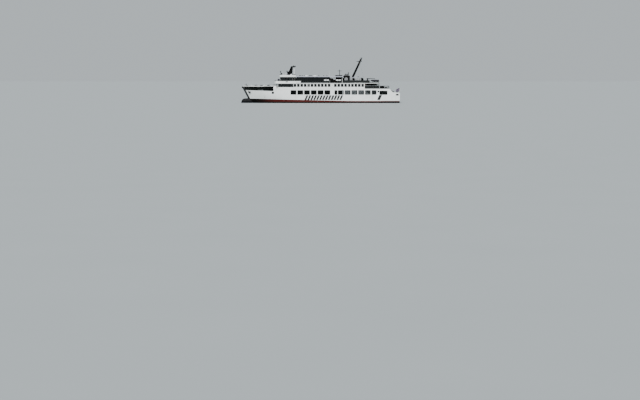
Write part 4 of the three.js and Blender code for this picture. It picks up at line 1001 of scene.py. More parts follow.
def cut_sheet(outline, holes, along, up):
    """A flat sheet with holes, cut at the given x and z lines: its points, faces and open edges."""
    loops = [outline, *holes]
    sheet = bmesh.new()
    points = [sheet.verts.new((x, 0, z)) for loop in loops for x, z in loop]
    for t in tessellate_polygon([[Vector((x, z, 0)) for x, z in loop] for loop in loops]):
        sheet.faces.new([points[i] for i in t])
    cuts = [((x, 0, 0), (1, 0, 0)) for x in along] + [((0, 0, z), (0, 0, 1)) for z in up]
    for place, across in cuts:
        everything = sheet.verts[:] + sheet.edges[:] + sheet.faces[:]
        bmesh.ops.bisect_plane(sheet, geom=everything, plane_co=place, plane_no=across)
    bmesh.ops.remove_doubles(sheet, verts=sheet.verts, dist=1e-4)
    sheet.verts.index_update()
    spots = [(v.co.x, v.co.z) for v in sheet.verts]
    faces = [[v.index for v in f.verts] for f in sheet.faces]
    edges = [[v.index for v in e.verts] for e in sheet.edges if len(e.link_faces) == 1]
    sheet.free()
    return spots, faces, edges


def skin(outline, holes, thick, along, up):
    """Curved side plating: the cut sheet carried to the hull's side, with an inner face and edges."""
    spots, faces, edges = cut_sheet(outline, holes, along, up)
    total = len(spots)
    outer = [(x, half_breadth(x, z) - PROUD, z) for x, z in spots]
    inner = [(x, max(half_breadth(x, z) - PROUD - thick, 0.004), z) for x, z in spots]
    shape = Shape("hull")
    shape.add(outer + inner, faces, "hull")
    shape.faces += [[i + total for i in reversed(face)] for face in faces]
    shape.finishes += ["garage"] * len(faces)
    shape.faces += [[a, b, b + total, a + total] for a, b in edges]
    at_stern = TRANSOM + 0.01
    shape.finishes += ["hull" if max(spots[a][0], spots[b][0]) < at_stern else "garage" for a, b in edges]
    return shape


def on_side(outline, out=0.0):
    return [(x, half_breadth(x, z) - PROUD + out, z) for x, z in outline]


SHELL = 0.2  # the side plating's thickness
PLATE_LINES = [3.0, 3.8, 4.5, 5.2, 5.8, 6.6]


def anchor_boss():
    radius, out = ANCHOR["boss"], ANCHOR["boss_out"]
    profile = [(0.0, -0.15), (radius, -0.15), (radius, out - 0.02), (radius - 0.03, out), (0.0, out)]
    boss = Shape("white")
    boss.lathe(profile, (0, 0, 0), "y", 24)
    return boss.copied(at_anchor)


def side_plating():
    mooring = rounded(*MOORING_WINDOW, 0.3)
    holes = side_openings() + [mooring, rounded(*SCUTTLE, 0.2), slot_outline()]
    along = steps(TRANSOM, FORE_START, 20) + steps(FORE_START, 35.5, 44)
    shape = skin(side_outline(), holes, SHELL, along, PLATE_LINES)
    # a black band round each opening and a black rim inside it: painted shade that widens the opening's dark
    # look
    for hole in holes:
        edge = widened(hole, *OPENING_SHADE_MARGIN)
        if hole is mooring:
            edge = rounded(*MOORING_SHADE_MARGIN, 0.3)
        shape.loft([on_side(hole, 0.012), on_side(edge, 0.012)], "black", caps=False)
        shape.tube(on_side(hole, -0.01), PROUD, 6, "black", closed=True)
    return shape.join(anchor_boss()).join(side_fittings()).join(opening_panes(side_openings()))


FAIRLEADS = [(21.35, 22.25, 4.2, 5.05), (-34.55, -33.4, 3.45, 4.05)]  # x from, x to, z from, z to
OUTLETS = [
    # x, z, radius
    (25.5, 2.7, 0.19),
    (15.2, 2.5, 0.09),
    (-13.6, 2.6, 0.09),
    (-21.4, 2.5, 0.11),
]


def side_fittings():
    """Round-cornered fairleads by the bow and on the quarter, and outlets with their rims; each mouth is a
    flat black disc, painted shade for the hollow behind it.
    """
    shape = Shape("white")
    leads = [rounded(*lead, 0.22) for lead in FAIRLEADS]
    mouths = leads + [circle(x, z, radius, 16) for x, z, radius in OUTLETS]
    for mouth in mouths:
        x, z = (sum(p[k] for p in mouth) / len(mouth) for k in (0, 1))
        shape.loft([on_side(mouth, 0.012), on_side([(x, z)], 0.012)], "black", caps=False)
        lead = mouth in leads
        shape.tube(on_side(mouth, 0.01), 0.05 if lead else 0.03, 6, "black" if lead else "white", closed=True)
    return shape


pair("hull_side_*", side_plating(), ["side_shell_*", "bow_shell_*"], sharp=30)


# Bow: the mooring deck with its centreline wall, the garage's front bulkhead and the anchors
MOORING_WALL = {"aft": 20.0, "fore_low": 34.1, "fore": 34.95, "half": 0.075}
WALL_STIFFENERS = (21.5, 23.0, 24.6, 25.9, 29.4, 30.8, 32.2)
WINDLASS_NOTCH = {"aft": 26.4, "fore": 28.8, "top": 5.8}


def deck_between(x0, x1, z, inset, thick, count=24):
    """A deck plate that follows the hull's side, as rings across the ship."""
    rings = []
    for x in steps(x0, x1, count):
        y = max(half_breadth(x, z) - inset, 0.02)
        rings.append([(x, -y, z - thick), (x, y, z - thick), (x, y, z), (x, -y, z)])
    return rings


def mooring_wall():
    """The wall on the centreline, cut round the windlass, with its stiffeners."""
    # the wall's near-black paint is painted shade of the mooring space
    shape = Shape("garage")
    notch, wall, half = WINDLASS_NOTCH, MOORING_WALL, MOORING_WALL["half"]
    foot = MOORING_DECK - 0.05
    under, fore_under = (z - DECK_THICK - 0.005 for z in (UPPER_DECK, FORECASTLE_DECK))
    profile = [(wall["aft"], foot), (notch["aft"], foot), (notch["aft"], notch["top"])]
    profile += [(notch["fore"], notch["top"]), (notch["fore"], foot)]
    profile += [(wall["fore_low"], foot), (wall["fore"], fore_under)]
    step = FORE_STEP["fore"] + 0.01
    profile += [(step, fore_under), (step, under), (wall["aft"], under)]
    shape.plate(profile, [], *about(0, half - 0.02), "xz")
    for x in WALL_STIFFENERS:
        shape.box(about(x, 0.03), (-half, half), (MOORING_DECK, fore_under))
    return shape


def bow_inside():
    shape = Shape("white")
    shape.loft(deck_between(BOW_START, stem_x(MOORING_DECK) - 0.3, MOORING_DECK, 0.16, 0.12), "garage")
    side = half_breadth(20, CAR_DECK) - 0.3
    shape.box((19.75, 20.25), (-side, side), (CAR_DECK, UPPER_DECK - DECK_THICK), "garage")
    ribs = Shape("garage")
    for x in steps(21.0, 33.0, 16):
        if SLOT["aft"] - 0.2 < x < SLOT["fore"]:
            foot, head = half_breadth(x, 4.5) - 0.3, half_breadth(x, 5.0) - 0.28
            ribs.tube([(x, foot, 4.5), (x, head, 5.05)], 0.05, 4)
    return shape.join(ribs.both_sides()).join(mooring_wall())


piece("bow_inside", bow_inside(), replaces=["bow_block"])


# The anchor's parts on its own axes
SHANK = ((-0.48, 0.1), (0.48, 0.07))  # height, half width
CROWN = ((-0.65, 0.6), (-0.58, 0.95), (-0.36, 1.0), (0.36, 1.0), (0.58, 0.95), (0.65, 0.6))  # along, share
CROWN_AT, CROWN_HALF = (0.23, -0.46), (0.13, 0.12)
FLUKE = (
    # along from, along to, out from, out to, height
    (0.28, 0.65, 0.14, 0.3, -0.36),
    (0.37, 0.6, 0.16, 0.29, 0.0),
    (0.46, 0.49, 0.21, 0.23, 0.24),
)
SHACKLE = {"out": 0.19, "height": 0.4, "radius": 0.08}


def anchor():
    """A stockless anchor flat against its boss: shank, crown, two flukes and the shackle."""
    shape = Shape("black")
    shape.loft([[(x, y, z) for x, y in rounded(-half, half, 0.1, 0.28, 0.03, 2)] for z, half in SHANK])
    crown = []
    for x, share in CROWN:
        (y0, y1), (z0, z1) = (about(middle, half * share) for middle, half in zip(CROWN_AT, CROWN_HALF))
        crown.append([(x, y, z) for y, z in rounded(y0, y1, z0, z1, 0.04, 2)])
    shape.loft(crown)
    for sign in (-1, 1):
        fluke = []
        for x0, x1, y0, y1, z in FLUKE:
            fluke.append([(sign * x, y, z) for x, y in ((x0, y0), (x1, y0), (x1, y1), (x0, y1))])
        shape.loft(fluke)
    out, height, radius = SHACKLE["out"], SHACKLE["height"], SHACKLE["radius"]
    shape.tube([(0, 0.065, 0.31), (0, out, 0.31)], 0.055, 10)
    bow = [(radius * math.sin(a), out, height - radius * math.cos(a)) for a in around(12)]
    shape.tube(bow, 0.022, 6, closed=True)
    return shape.copied(at_anchor)


pair("bower_anchor_*", anchor(), ["anchor_*"], slot="black_paint")


FORE_TRIM = 7.31  # the lower edge of the forecastle's black strip
FORE_STRIPS = [(21.32, 25.9, 7.52), (25.9, 35.3, 7.44)]  # x from, x to, upper edge
STEM_FENDER = [(0.03, 6.66, 7.32, "rubber"), (-0.05, 7.32, 7.5, "black")]  # ahead of the stem, z from, z to


def edge_strips():
    edge = Shape("black")
    for x0, x1, top in FORE_STRIPS:
        rings = []
        for x in steps(x0, x1, 24):
            y = half_breadth(x, FORECASTLE_DECK)
            out, back = y + 0.008, y - 0.04
            rings.append([(x, out, FORE_TRIM), (x, out, top), (x, back, top), (x, back, FORE_TRIM)])
        edge.loft(rings)
    return edge.both_sides()


def forecastle():
    """The raised forecastle deck with its edge, the well behind it and the fender over the stem."""
    shape = Shape("deck")
    thick = DECK_THICK - 0.004
    stem = stem_x(FORECASTLE_DECK)
    shape.loft(deck_between(FORE_STEP["aft"], stem - 0.02, FORECASTLE_DECK, 0.0, thick, 42))
    trim = Shape("white")
    line = [(x, half_breadth(x, FORECASTLE_DECK) - 0.03, FORECASTLE_DECK) for x in steps(21.3, 35.5, 44)]
    trim.tube(line, 0.04, 6)
    shape.join(trim.both_sides()).join(well()).join(edge_strips())
    for ahead, low, high, finish in STEM_FENDER:
        nose = [(stem + ahead + 0.4 * math.sin(a), 0.5 * math.cos(a)) for a in steps(0, math.pi, 16)]
        shape.prism(nose, low, high, "xy", finish)
    return shape


WELL = {"bulwark_foot": 6.52, "bulwark_top": 7.54, "rail": 8.2, "posts": (20.45, 20.9, 21.75)}
WELL_LADDER = {"foot": 21.0, "lean": 0.2, "y": (1.7, 2.3), "rungs": (6.83, 7.43)}


def well_bulwark(start, end):
    """The well's bulwark with its cap, and a black handrail over it."""
    side = Shape("white")
    foot, top = WELL["bulwark_foot"], WELL["bulwark_top"]
    rings = []
    for x in steps(start + 0.16, end, 4):
        y, y_top = half_breadth(x, UPPER_DECK) - 0.02, half_breadth(x, top) - 0.02
        rings.append([(x, y, foot), (x, y_top, top), (x, y_top - 0.1, top), (x, y - 0.1, foot)])
    side.loft(rings)
    side.tube([(x, y - 0.05, z) for x, y, z in (ring[1] for ring in rings)], 0.05, 8)
    hand = [(x, half_breadth(x, top) - 0.09, WELL["rail"]) for x in WELL["posts"]]
    side.tube(hand, 0.055, 8, "black")
    for x, y, z in hand:
        side.post(x, y, 7.5 if x < end else FORECASTLE_DECK, z, 0.035, 6, "black")
    return side


def well_ladder():
    side = Shape("white")
    foot, lean = WELL_LADDER["foot"], WELL_LADDER["lean"]
    for y in WELL_LADDER["y"]:
        side.tube([(foot, y, UPPER_DECK), (foot + lean, y, FORECASTLE_DECK + 0.02)], 0.03, 6)
    for z in steps(*WELL_LADDER["rungs"], 3):
        x = foot + lean * (z - UPPER_DECK)
        side.box((x - 0.06, x + 0.1), WELL_LADDER["y"], about(z, 0.015))
    return side


def well():
    """The well between the saloon and the forecastle: deck, step's wall, bulwarks and two short ladders."""
    shape = Shape("deck")
    start, end = BOW_START + 0.01, FORE_STEP["shell"] - 0.01
    shape.loft(deck_between(start, end, UPPER_DECK, 0.0, DECK_THICK - 0.004, 4))
    half = half_breadth(FORE_STEP["fore"], UPPER_DECK - DECK_THICK) - 0.25
    middle = 0.5 * (FORE_STEP["aft"] + FORE_STEP["fore"])
    shape.box((FORE_STEP["aft"], middle), (-half, half), (UPPER_DECK - 0.25, FORE_TRIM), "white")
    shape.box((middle, FORE_STEP["fore"]), (-half, half), (UPPER_DECK - 0.28, FORE_TRIM), "garage")
    return shape.join(well_bulwark(start, end).join(well_ladder()).both_sides())


piece("forecastle_deck_plate", forecastle(), replaces=["forecastle_deck"], slot="green_deck")


def rail(shape, path, heights, pitch, radius=0.035, finish=None):
    """Round posts on a path of deck points, and bars above it at the given heights."""
    path = [Vector(p) for p in path]
    up = Vector((0, 0, 1))
    for height in heights:
        thick = radius if height == heights[-1] else 0.6 * radius
        shape.tube([p + up * height for p in path], thick, 6, finish)
    for k in range(len(path) - 1):
        count = max(1, round((path[k + 1] - path[k]).length / pitch))
        for n in range(0 if k == 0 else 1, count + 1):
            foot = path[k].lerp(path[k + 1], n / count)
            shape.tube([foot, foot + up * heights[-1]], 0.85 * radius, 6, finish)


FORE_POSTS = (21.6, 22.9, 24.2, 25.6, 27.0, 28.3, 29.4, 30.5, 31.5, 32.5, 33.3, 34.1, 34.7)


def forecastle_railing():
    shape = Shape("grey")
    side = [(x, half_breadth(x, FORECASTLE_DECK) - 0.15, FORECASTLE_DECK) for x in FORE_POSTS]
    whole = side + [(x, -y, z) for x, y, z in side[::-1]]
    rail(shape, whole, [0.26, 0.5, 0.75, 1.0], 1.6)
    return shape


piece("forecastle_railing", forecastle_railing(), replaces=["forecastle_rail"])


# Stern: transom beside the ramp, mooring rooms, bulwark rail and rollers
WING = {"inner": 2.8, "top": 4.25, "thick": 0.22, "hole": (4.9, 5.9, 3.0, 3.5)}
WING_STAYS = (-34.2, -33.2, -32.2)
ROOM_WALL = {"y": 4.4, "aft": -30.2, "fore": -25.0, "top": 6.3}  # the mooring rooms' inner walls
RAMP_POST = {"inner": 2.81, "outer": 3.05, "top": 4.9}
ROLLER = [(0.11, 0.0), (0.13, 0.05), (0.13, 0.28), (0.11, 0.33)]


def stern_wing():
    """The transom beside the ramp with its fairlead, cap and stays, and the post that the ramp closes on."""
    wing = Shape("white")
    side = half_breadth(TRANSOM, 3.2) - 0.235
    inner, top, hole = WING["inner"], WING["top"], rounded(*WING["hole"], 0.2)
    outline = [(inner, CAR_DECK), (side, CAR_DECK), (side, top), (inner, top)]
    wing.plate(outline, [hole], TRANSOM, TRANSOM + WING["thick"], "yz", "hull")
    middle = TRANSOM + WING["thick"] / 2
    wing.tube([(middle, y, z) for y, z in hole], 0.09, 6, "white", closed=True)
    sweep = [(x, half_breadth(x, z) - 0.12, z + 0.02) for x, z in side_outline()[-13:][::-1]]
    wing.tube([(middle, inner + 0.02, top + 0.02), (middle, side - 0.1, top + 0.02)], 0.09, 8)
    wing.tube(sweep[:-1], 0.09, 8)
    for x in WING_STAYS:
        y = half_breadth(x, 4) - 0.2
        wing.prism([(y, 4.3), (y - 0.1, 4.3), (y - 0.75, CAR_DECK), (y, CAR_DECK)], *about(x, 0.03), "yz")
    room, height = ROOM_WALL, (CAR_DECK, ROOM_WALL["top"])
    wing.box((room["aft"], room["fore"]), (room["y"], room["y"] + 0.15), height, "garage")
    wing.box((room["fore"] - 0.15, room["fore"]), (room["y"], 6.9), height, "garage")
    post = RAMP_POST
    across = (post["inner"], post["outer"])
    wing.box((TRANSOM + 0.02, TRANSOM + 0.3), across, (CAR_DECK, post["top"]), "white")
    wing.lathe(ROLLER, (TRANSOM + 0.15, 2.9, post["top"]), "z", 12, "steel")
    return wing


def stern_frame():
    shape = stern_wing().both_sides()
    shape.box((TRANSOM, TRANSOM + WALL), (-2.95, 2.95), (CAR_DECK, 2.3), "white")
    for y in steps(-2.6, 2.6, 12):
        shape.box((-35.12, -34.9), about(y, 0.07), (CAR_DECK, 2.36), "steel")
    return shape


piece("stern_frame", stern_frame(), replaces=["stern_shell"])


# Garage inside: frames, beams, lane marks, lights and the stairs
GIRDERS = (-5.2, -2.6, 2.6, 5.2)
# Pipes along the garage's sides: points, radius, finish
PIPES = [
    ([(-24.5, 6.75, 3.3), (13.0, 6.75, 3.3), (19.5, 6.2, 3.3)], 0.06, "red"),
    ([(-24.5, 6.6, 6.0), (13.0, 6.55, 6.0), (19.5, 6.4, 6.0)], 0.09, None),
]


def garage_inside():
    shape = Shape("garage")
    for x in steps(-29.5, 19.0, 32):
        shape.box(about(x, 0.05), (-7.0, 7.0), (6.02, 6.3))
    for y in GIRDERS:
        shape.box((-30.2, 19.7), about(y, 0.06), (5.9, 6.3))
    frames = Shape("garage")
    openings = [(min(a for a, _ in hole) - 0.1, max(a for a, _ in hole) + 0.1) for hole in side_openings()]
    for x in steps(-24.4, 19.3, 58):
        if not any(low < x < high for low, high in openings):
            y = half_breadth(x, CAR_DECK) - 0.24
            frames.box(about(x, 0.03), (y - 0.2, y), (CAR_DECK, 6.1))
    for path, radius, finish in PIPES:
        frames.tube(path, radius, 8, finish)
    for x in steps(-22.0, 18.0, 10):
        frames.box(about(x, 0.35), (3.7, 3.95), (5.86, 5.95), "canister")
    return shape.join(frames.both_sides())


piece("garage_inside", garage_inside(), slot="grey_steel")


LANE_LINES = (-4.4, -1.5, 1.5, 4.4)


def lane_marks():
    shape = Shape("yellow")
    for y in LANE_LINES:
        for x in steps(-33.0, 15.0, 16):
            shape.box((x, x + 1.8), about(y, 0.06), (CAR_DECK, CAR_DECK + 0.012))
    for x in steps(-34.0, -31.0, 6):
        shape.box((x, x + 0.08), (-2.6, 2.6), (CAR_DECK, CAR_DECK + 0.03), "steel")
    return shape


piece("lane_marks", lane_marks(), slot="grey_steel")
dress("upper_deck", "deck")
dress("boat_deck", "deck")


# Walls: plane walls with window holes, frames and glass, placed between two points of the plan
def wall(
    a, b, low, high, thick, holes, glass="glass", finish="white", frame="grey", outline=None, doorways=(),
    bands=(), border=0.0, rim=None,
):
    """Seen from outside, the wall runs from a to b anticlockwise round the house; holes are in (along, z).

    Each band is a black strip (start, end, low, high) round the holes that begin within it, and border
    the width of a flat frame round every hole."""
    local = Shape(finish)
    length = math.dist(a, b)
    outline = outline or [(0, low), (length, low), (length, high), (0, high)]
    local.plate(outline, [*holes, *doorways], 0, thick, "xz", finish)
    banded = []
    for start, end, foot, head in bands:
        inside = [hole for hole in holes if start < hole[0][0] < end]
        strip = [(start, foot), (end, foot), (end, head), (start, head)]
        local.plate(strip, inside, -0.012, 0.001, "xz", "black")
        banded += inside
    for hole in holes:
        paint = "black" if hole in banded else frame
        local.tube([(s, -0.005, z) for s, z in hole], 0.03, 6, paint, closed=True)
        local.plate(hole, [], 0.05, 0.08, "xz", glass)
        if border:
            local.plate(shrunk(hole, -border), [hole], -0.02, 0.0, "xz", frame)
    for hole in doorways:
        local.tube([(s, 0.0, z) for s, z in hole], 0.035, 6, rim or finish, closed=True)
    ux, uy = (b[0] - a[0]) / length, (b[1] - a[1]) / length
    return local.copied(lambda p: (a[0] + ux * p[0] - uy * p[1], a[1] + uy * p[0] + ux * p[1], p[2]))


def corner_post(shape, x, y, low, high, band, radius=0.04):
    """A round corner that is black where the window band passes it."""
    for start, end, paint in ((low, band[0], "white"), (*band, "black"), (band[1], high, "white")):
        shape.tube([(x, y, start), (x, y, end)], radius, 8, paint)


def even(start, end, count):
    """Middles of count equal parts."""
    return [start + (end - start) * (k + 0.5) / count for k in range(count)]


def window_row(middles, half, low, high, radius=0.12):
    return [rounded(m - half, m + half, low, high, radius) for m in middles]


# Saloon
SALOON = {"side": 7.1, "aft": -19.35, "fore": 19.5, "nose": 20.2, "nose_half": 4.2}
SALOON_HEAD = BOAT_DECK - DECK_THICK
BAND = {"low": 7.3, "high": 8.6, "aft": 12.75}
SALOON_BAND = (7.15, 8.76)
SMALL_WINDOW = {"low": 7.3, "high": 8.55, "half": 0.55, "pitch": 1.53}


def small_windows():
    """Middles, in x, of the two rows of small windows on each side."""
    pitch = SMALL_WINDOW["pitch"]
    return [11.9 - k * pitch for k in range(11)] + [-6.2 - k * pitch for k in range(9)]


RELIEF = {"half": 0.375, "height": 1.75}


def door_relief(shape, middle, z, porthole=True, paint="white"):
    """A closed weathertight door in a wall's own (along, depth, z) axes."""
    height = RELIEF["height"]
    a0, a1 = about(middle, RELIEF["half"])
    leaf = rounded(a0, a1, z, z + height, 0.15)
    shape.plate(leaf, [], -0.05, 0.0, "xz", paint)
    shape.tube([(a, -0.02, c) for a, c in leaf], 0.035, 6, paint, closed=True)
    for c in (z + 0.35, z + height - 0.35):
        shape.box((a0 - 0.08, a0 + 0.1), (-0.08, -0.03), about(c, 0.04), "grey")
        shape.tube([(a1 - 0.14, -0.10, c), (a1 + 0.08, -0.10, c)], 0.02, 6, "grey")
    if porthole:
        ring = circle(middle, z + height * 0.74, 0.14, 14)
        shape.plate(ring, [], -0.058, -0.05, "xz", "glass")
        shape.tube([(a, -0.055, c) for a, c in ring], 0.022, 6, "grey", closed=True)


# Places in x on the saloon's side: door in relief, two trims, after end of the black band, rain pipes
SALOON_SIDE = {"door": -4.8, "joint": 12.55, "quarter": -19.2, "band_aft": 12.62}
RAIN_PIPES = (-19.0, -12.0, -4.0, 6.0)


def from_fore(x):
    """Distance along the saloon's side wall from its fore end."""
    return SALOON["fore"] - x


def saloon_side():
    """The saloon's port side, from its fore end to its after end."""
    small, length = SMALL_WINDOW, SALOON["fore"] - SALOON["aft"]
    middles = [from_fore(x) for x in small_windows()]
    holes = window_row(middles, small["half"], small["low"], small["high"])
    middles = [from_fore(x) for x in even(BAND["aft"], SALOON["fore"] - 0.15, 4)]
    holes += window_row(middles, 0.76, BAND["low"], BAND["high"], 0.1)
    a, b = (SALOON["fore"], SALOON["side"]), (SALOON["aft"], SALOON["side"])
    band = (0.0, from_fore(SALOON_SIDE["band_aft"]), *SALOON_BAND)
    shape = wall(a, b, UPPER_DECK, SALOON_HEAD, WALL, holes, frame="black", bands=[band], border=0.04)
    extra = Shape("white")
    door_relief(extra, from_fore(SALOON_SIDE["door"]), UPPER_DECK + 0.12)
    extra.box(about(from_fore(SALOON_SIDE["joint"]), 0.04), (-0.03, 0.0), (UPPER_DECK, SALOON_HEAD))
    extra.box(about(from_fore(SALOON_SIDE["quarter"]), 0.06), (-0.02, 0.0), (UPPER_DECK, SALOON_HEAD))
    extra.box((0.05, length - 0.05), (-0.05, 0.0), (SALOON_HEAD - 0.14, SALOON_HEAD - 0.08))
    for x in RAIN_PIPES:
        pipe = [(from_fore(x), -0.05, SALOON_HEAD - 0.1), (from_fore(x), -0.05, UPPER_DECK + 0.05)]
        extra.tube(pipe, 0.04, 6)
    return shape.join(extra.copied(lambda p: (SALOON["fore"] - p[0], SALOON["side"] - p[1], p[2])))


pair("saloon_wall_*", saloon_side(), ["saloon_side_*"])


def saloon_front():
    nose, half, fore, side = SALOON["nose"], SALOON["nose_half"], SALOON["fore"], SALOON["side"]
    heights = (UPPER_DECK, SALOON_HEAD)
    panes = window_row(even(0.1, 2 * half - 0.1, 5), 0.74, BAND["low"], BAND["high"], 0.1)
    shape = wall((nose, -half), (nose, half), *heights, WALL, panes, bands=[(0.0, 2 * half, *SALOON_BAND)])
    panes = window_row([0.85], 0.6, BAND["low"], BAND["high"], 0.1)
    angled = wall((nose, half), (fore, side), *heights, WALL, panes, bands=[(0.0, 1.6, *SALOON_BAND)])
    corner_post(angled, nose, half, *heights, SALOON_BAND)
    angled.tube([(fore, side, z) for z in heights], 0.04, 8)
    shape.join(angled.both_sides())
    # a black sheet a little inside the front windows: painted shade of the saloon's interior
    inner = [(fore - 0.6, -side + 0.4), (nose - 0.6, -half), (nose - 0.6, half), (fore - 0.6, side - 0.4)]
    back = [(x - 0.05, y) for x, y in inner[::-1]]
    shape.prism(inner + back, UPPER_DECK + 0.1, SALOON_HEAD, "xy", "black")
    return shape


piece("saloon_front_wall", saloon_front(), replaces=["saloon_front", "saloon_glass"])


AFT_WINDOWS = (1.1, 2.6)
AFT_FRAME = [(5.1, 6.7), (5.1, 8.62), (4.1, 8.62), (4.1, 6.7)]  # round the doorway
# Red boxes for fire gear: depth, y from, y to, z from, z to
FIRE_BOXES = [(0.12, 5.7, 6.3, 7.4, 7.9), (0.1, 3.4, 3.7, 7.3, 8.0)]
AFT_LAMP = [(0.05, 0.0), (0.12, 0.06), (0.12, 0.16), (0.0, 0.2)]


def saloon_aft():
    """The after bulkhead's windows, door frames, fire boxes and lamps."""
    x = SALOON["aft"]
    half = Shape("white")
    for y in AFT_WINDOWS:
        outline = rounded(*about(y, 0.55), 7.5, 8.4, 0.12)
        half.plate(outline, [], x - 0.03, x - 0.01, "yz", "glass")
        half.tube([(x - 0.02, a, c) for a, c in outline], 0.035, 6, "grey", closed=True)
    half.tube([(x - 0.02, a, c) for a, c in AFT_FRAME], 0.05, 6, "grey")
    for depth, y0, y1, z0, z1 in FIRE_BOXES:
        half.box((x - depth, x), (y0, y1), (z0, z1), "red")
    half.lathe(AFT_LAMP, (x - 0.25, 4.6, 8.55), "z", 12, "canister")
    return half.both_sides()


piece("saloon_aft_trim", saloon_aft())
dress("saloon_aft_bulkhead", "white")


def hinged_door(name, node, body, axis, paint):
    """A leaf with a window, bars and a grip, in place of the plain CAD one; axis is its thickness."""
    (x0, x1), (y0, y1), (z0, z1) = span(node)
    across, depth, plane = ((y0, y1), (x0, x1), "yz") if axis == "x" else ((x0, x1), (y0, y1), "xz")
    place = PLANES[plane]
    outer = depth[0] if axis == "x" else max(depth, key=abs)
    away = -1 if axis == "x" or outer < 0 else 1
    middle = sum(across) / 2
    window = circle(middle, z0 + 0.74 * (z1 - z0), 0.19, 18)
    if axis == "y":
        window = rounded(middle - 0.25, middle + 0.25, z0 + 0.85, z1 - 0.25, 0.08)
    shape = Shape(paint)
    trim = "grey" if paint == "white" else paint
    shape.plate(rounded(*across, z0, z1, 0.1), [window], *depth, plane)
    shape.plate(window, [], depth[0] + 0.025, depth[0] + 0.04, plane, "pane")
    shape.tube([place(a, c, outer) for a, c in window], 0.025, 6, trim, closed=True)
    raised = outer + away * 0.03
    for c in (z0 + 0.3, z1 - 0.25):
        shape.tube([place(across[0] + 0.08, c, raised), place(across[1] - 0.08, c, raised)], 0.018, 6, trim)
    grip = across[0] + 0.12
    hand = outer + away * 0.05
    bar = [(0.75, outer), (0.78, hand), (0.98, hand), (1.01, outer)]
    shape.tube([place(grip, z0 + up, out) for up, out in bar], 0.015, 6, "steel")
    return piece(name, shape, body=body, replaces=[node])


for side in ("port", "starboard"):
    hinged_door(f"saloon_door_leaf_{side}", f"saloon_door_{side}", f"{side}_saloon_door", "x", "white")
    hinged_door(f"bridge_door_leaf_{side}", f"bridge_door_{side}", f"{side}_bridge_door", "y", "black")


# Bridge wings: bulwark, cap rail and upper rail round the front of the boat deck
BOAT_DECK_FORE, BOAT_DECK_NOSE = 20.4, 21.1
BULWARK = {"aft": 9.3, "top": 9.75, "rail_from": 15.6}


def both_halves(port):
    """A line across the ship from the port half of it, starboard first."""
    return [(a, -b) for a, b in port] + port[::-1]


def front_line(x, inset):
    """The edge round the front of the boat deck from abreast of x, moved inwards."""
    side, fore, nose = HALF_BEAM - inset, BOAT_DECK_FORE - inset, BOAT_DECK_NOSE - inset
    return both_halves([(x, side), (fore, side), (nose, SALOON["nose_half"])])


def bridge_front():
    shape = Shape("white")
    aft, top = BULWARK["aft"], BULWARK["top"]
    outer, inner = front_line(aft, 0.02), front_line(aft, 0.12)
    for k in range(5):
        shape.prism([outer[k], outer[k + 1], inner[k + 1], inner[k]], BOAT_DECK, top)
    shape.tube([(x, y, top + 0.02) for x, y in front_line(aft, 0.07)], 0.07, 8)
    upper = [(x, y, top) for x, y in front_line(BULWARK["rail_from"], 0.08)]
    rail(shape, upper, [0.27, 0.53], 1.9, 0.03, "black")
    stays = Shape("white")
    stay = [(7.06, BOAT_DECK), (7.06, 9.7), (6.98, 9.7), (6.6, BOAT_DECK)]
    for x in steps(10.2, 19.6, 7):
        stays.prism(stay, *about(x, 0.02), "yz")
    stays.prism(rounded(15.0, 16.1, 9.3, 9.66, 0.08, 3), 7.17, 7.19, "xz", "black")
    stays.box((15.05, 16.05), (7.0, 7.14), (9.84, 10.15), "black")
    return shape.join(stays.both_sides())


piece("bridge_front", bridge_front(), replaces=["bridge_bulwark"])


CONSOLE = (18.9, 19.7, 5.95, 6.65)  # x from, x to, y from, y to
CONSOLE_LEVELS = ((9.75, 0.08), (9.85, 0.0), (10.55, 0.03), (10.8, 0.1), (10.88, 0.22))  # height, inset
WING_LAMP = (18.75, 6.85)
WING_LAMP_HEAD = [(0.0, 0.0), (0.1, 0.02), (0.12, 0.1), (0.08, 0.2), (0.0, 0.22)]


def wing_gear():
    """A covered control console in each bridge wing, with its stand and a small lamp."""
    shape = Shape("cover")
    low = rounded(*CONSOLE, 0.12, 4)
    shape.loft([[(x, y, z) for x, y in shrunk(low, by)] for z, by in CONSOLE_LEVELS])
    shape.box((19.1, 19.5), (6.1, 6.5), (BOAT_DECK, 9.76), "grey")
    x, y = WING_LAMP
    shape.post(x, y, 9.75, 10.7, 0.03, 6, "grey")
    shape.lathe(WING_LAMP_HEAD, (x, y, 10.68), "z", 12, "grey")
    return shape.both_sides()


piece("wing_consoles", wing_gear(), slot="dark_cover")


# Wheelhouse
HOUSE = {"aft": 11.6, "fore": 18.1, "nose": 18.6, "nose_half": 3.0, "half": 5.6, "wall": 0.15}
PANE = {"low": 10.0, "high": 11.4}
HOUSE_BAND = (9.85, 11.62)
BRIDGE_DOOR = (12.0, 12.9, 9.25, 11.15)


DOOR_MARGIN = 0.06  # how far the black band stops short of the doorway
WIPER = [(18.66, -0.1, 11.5), (18.68, 0.15, 10.8), (18.68, 0.2, 10.35)]  # x, from the pane's middle, z
BROW = [(18.6, 11.58), (19.0, 11.5), (19.0, 11.55), (18.6, 11.65)]


def house_panes(middles, half):
    return window_row(middles, half, PANE["low"], PANE["high"], 0.06)


def house_wall(a, b, holes, bands, **doorways):
    fixed = {"low": BOAT_DECK, "high": ROOF_UNDER, "thick": HOUSE["wall"], "glass": "pane", "rim": "black"}
    return wall(a, b, holes=holes, bands=bands, **doorways, **fixed)


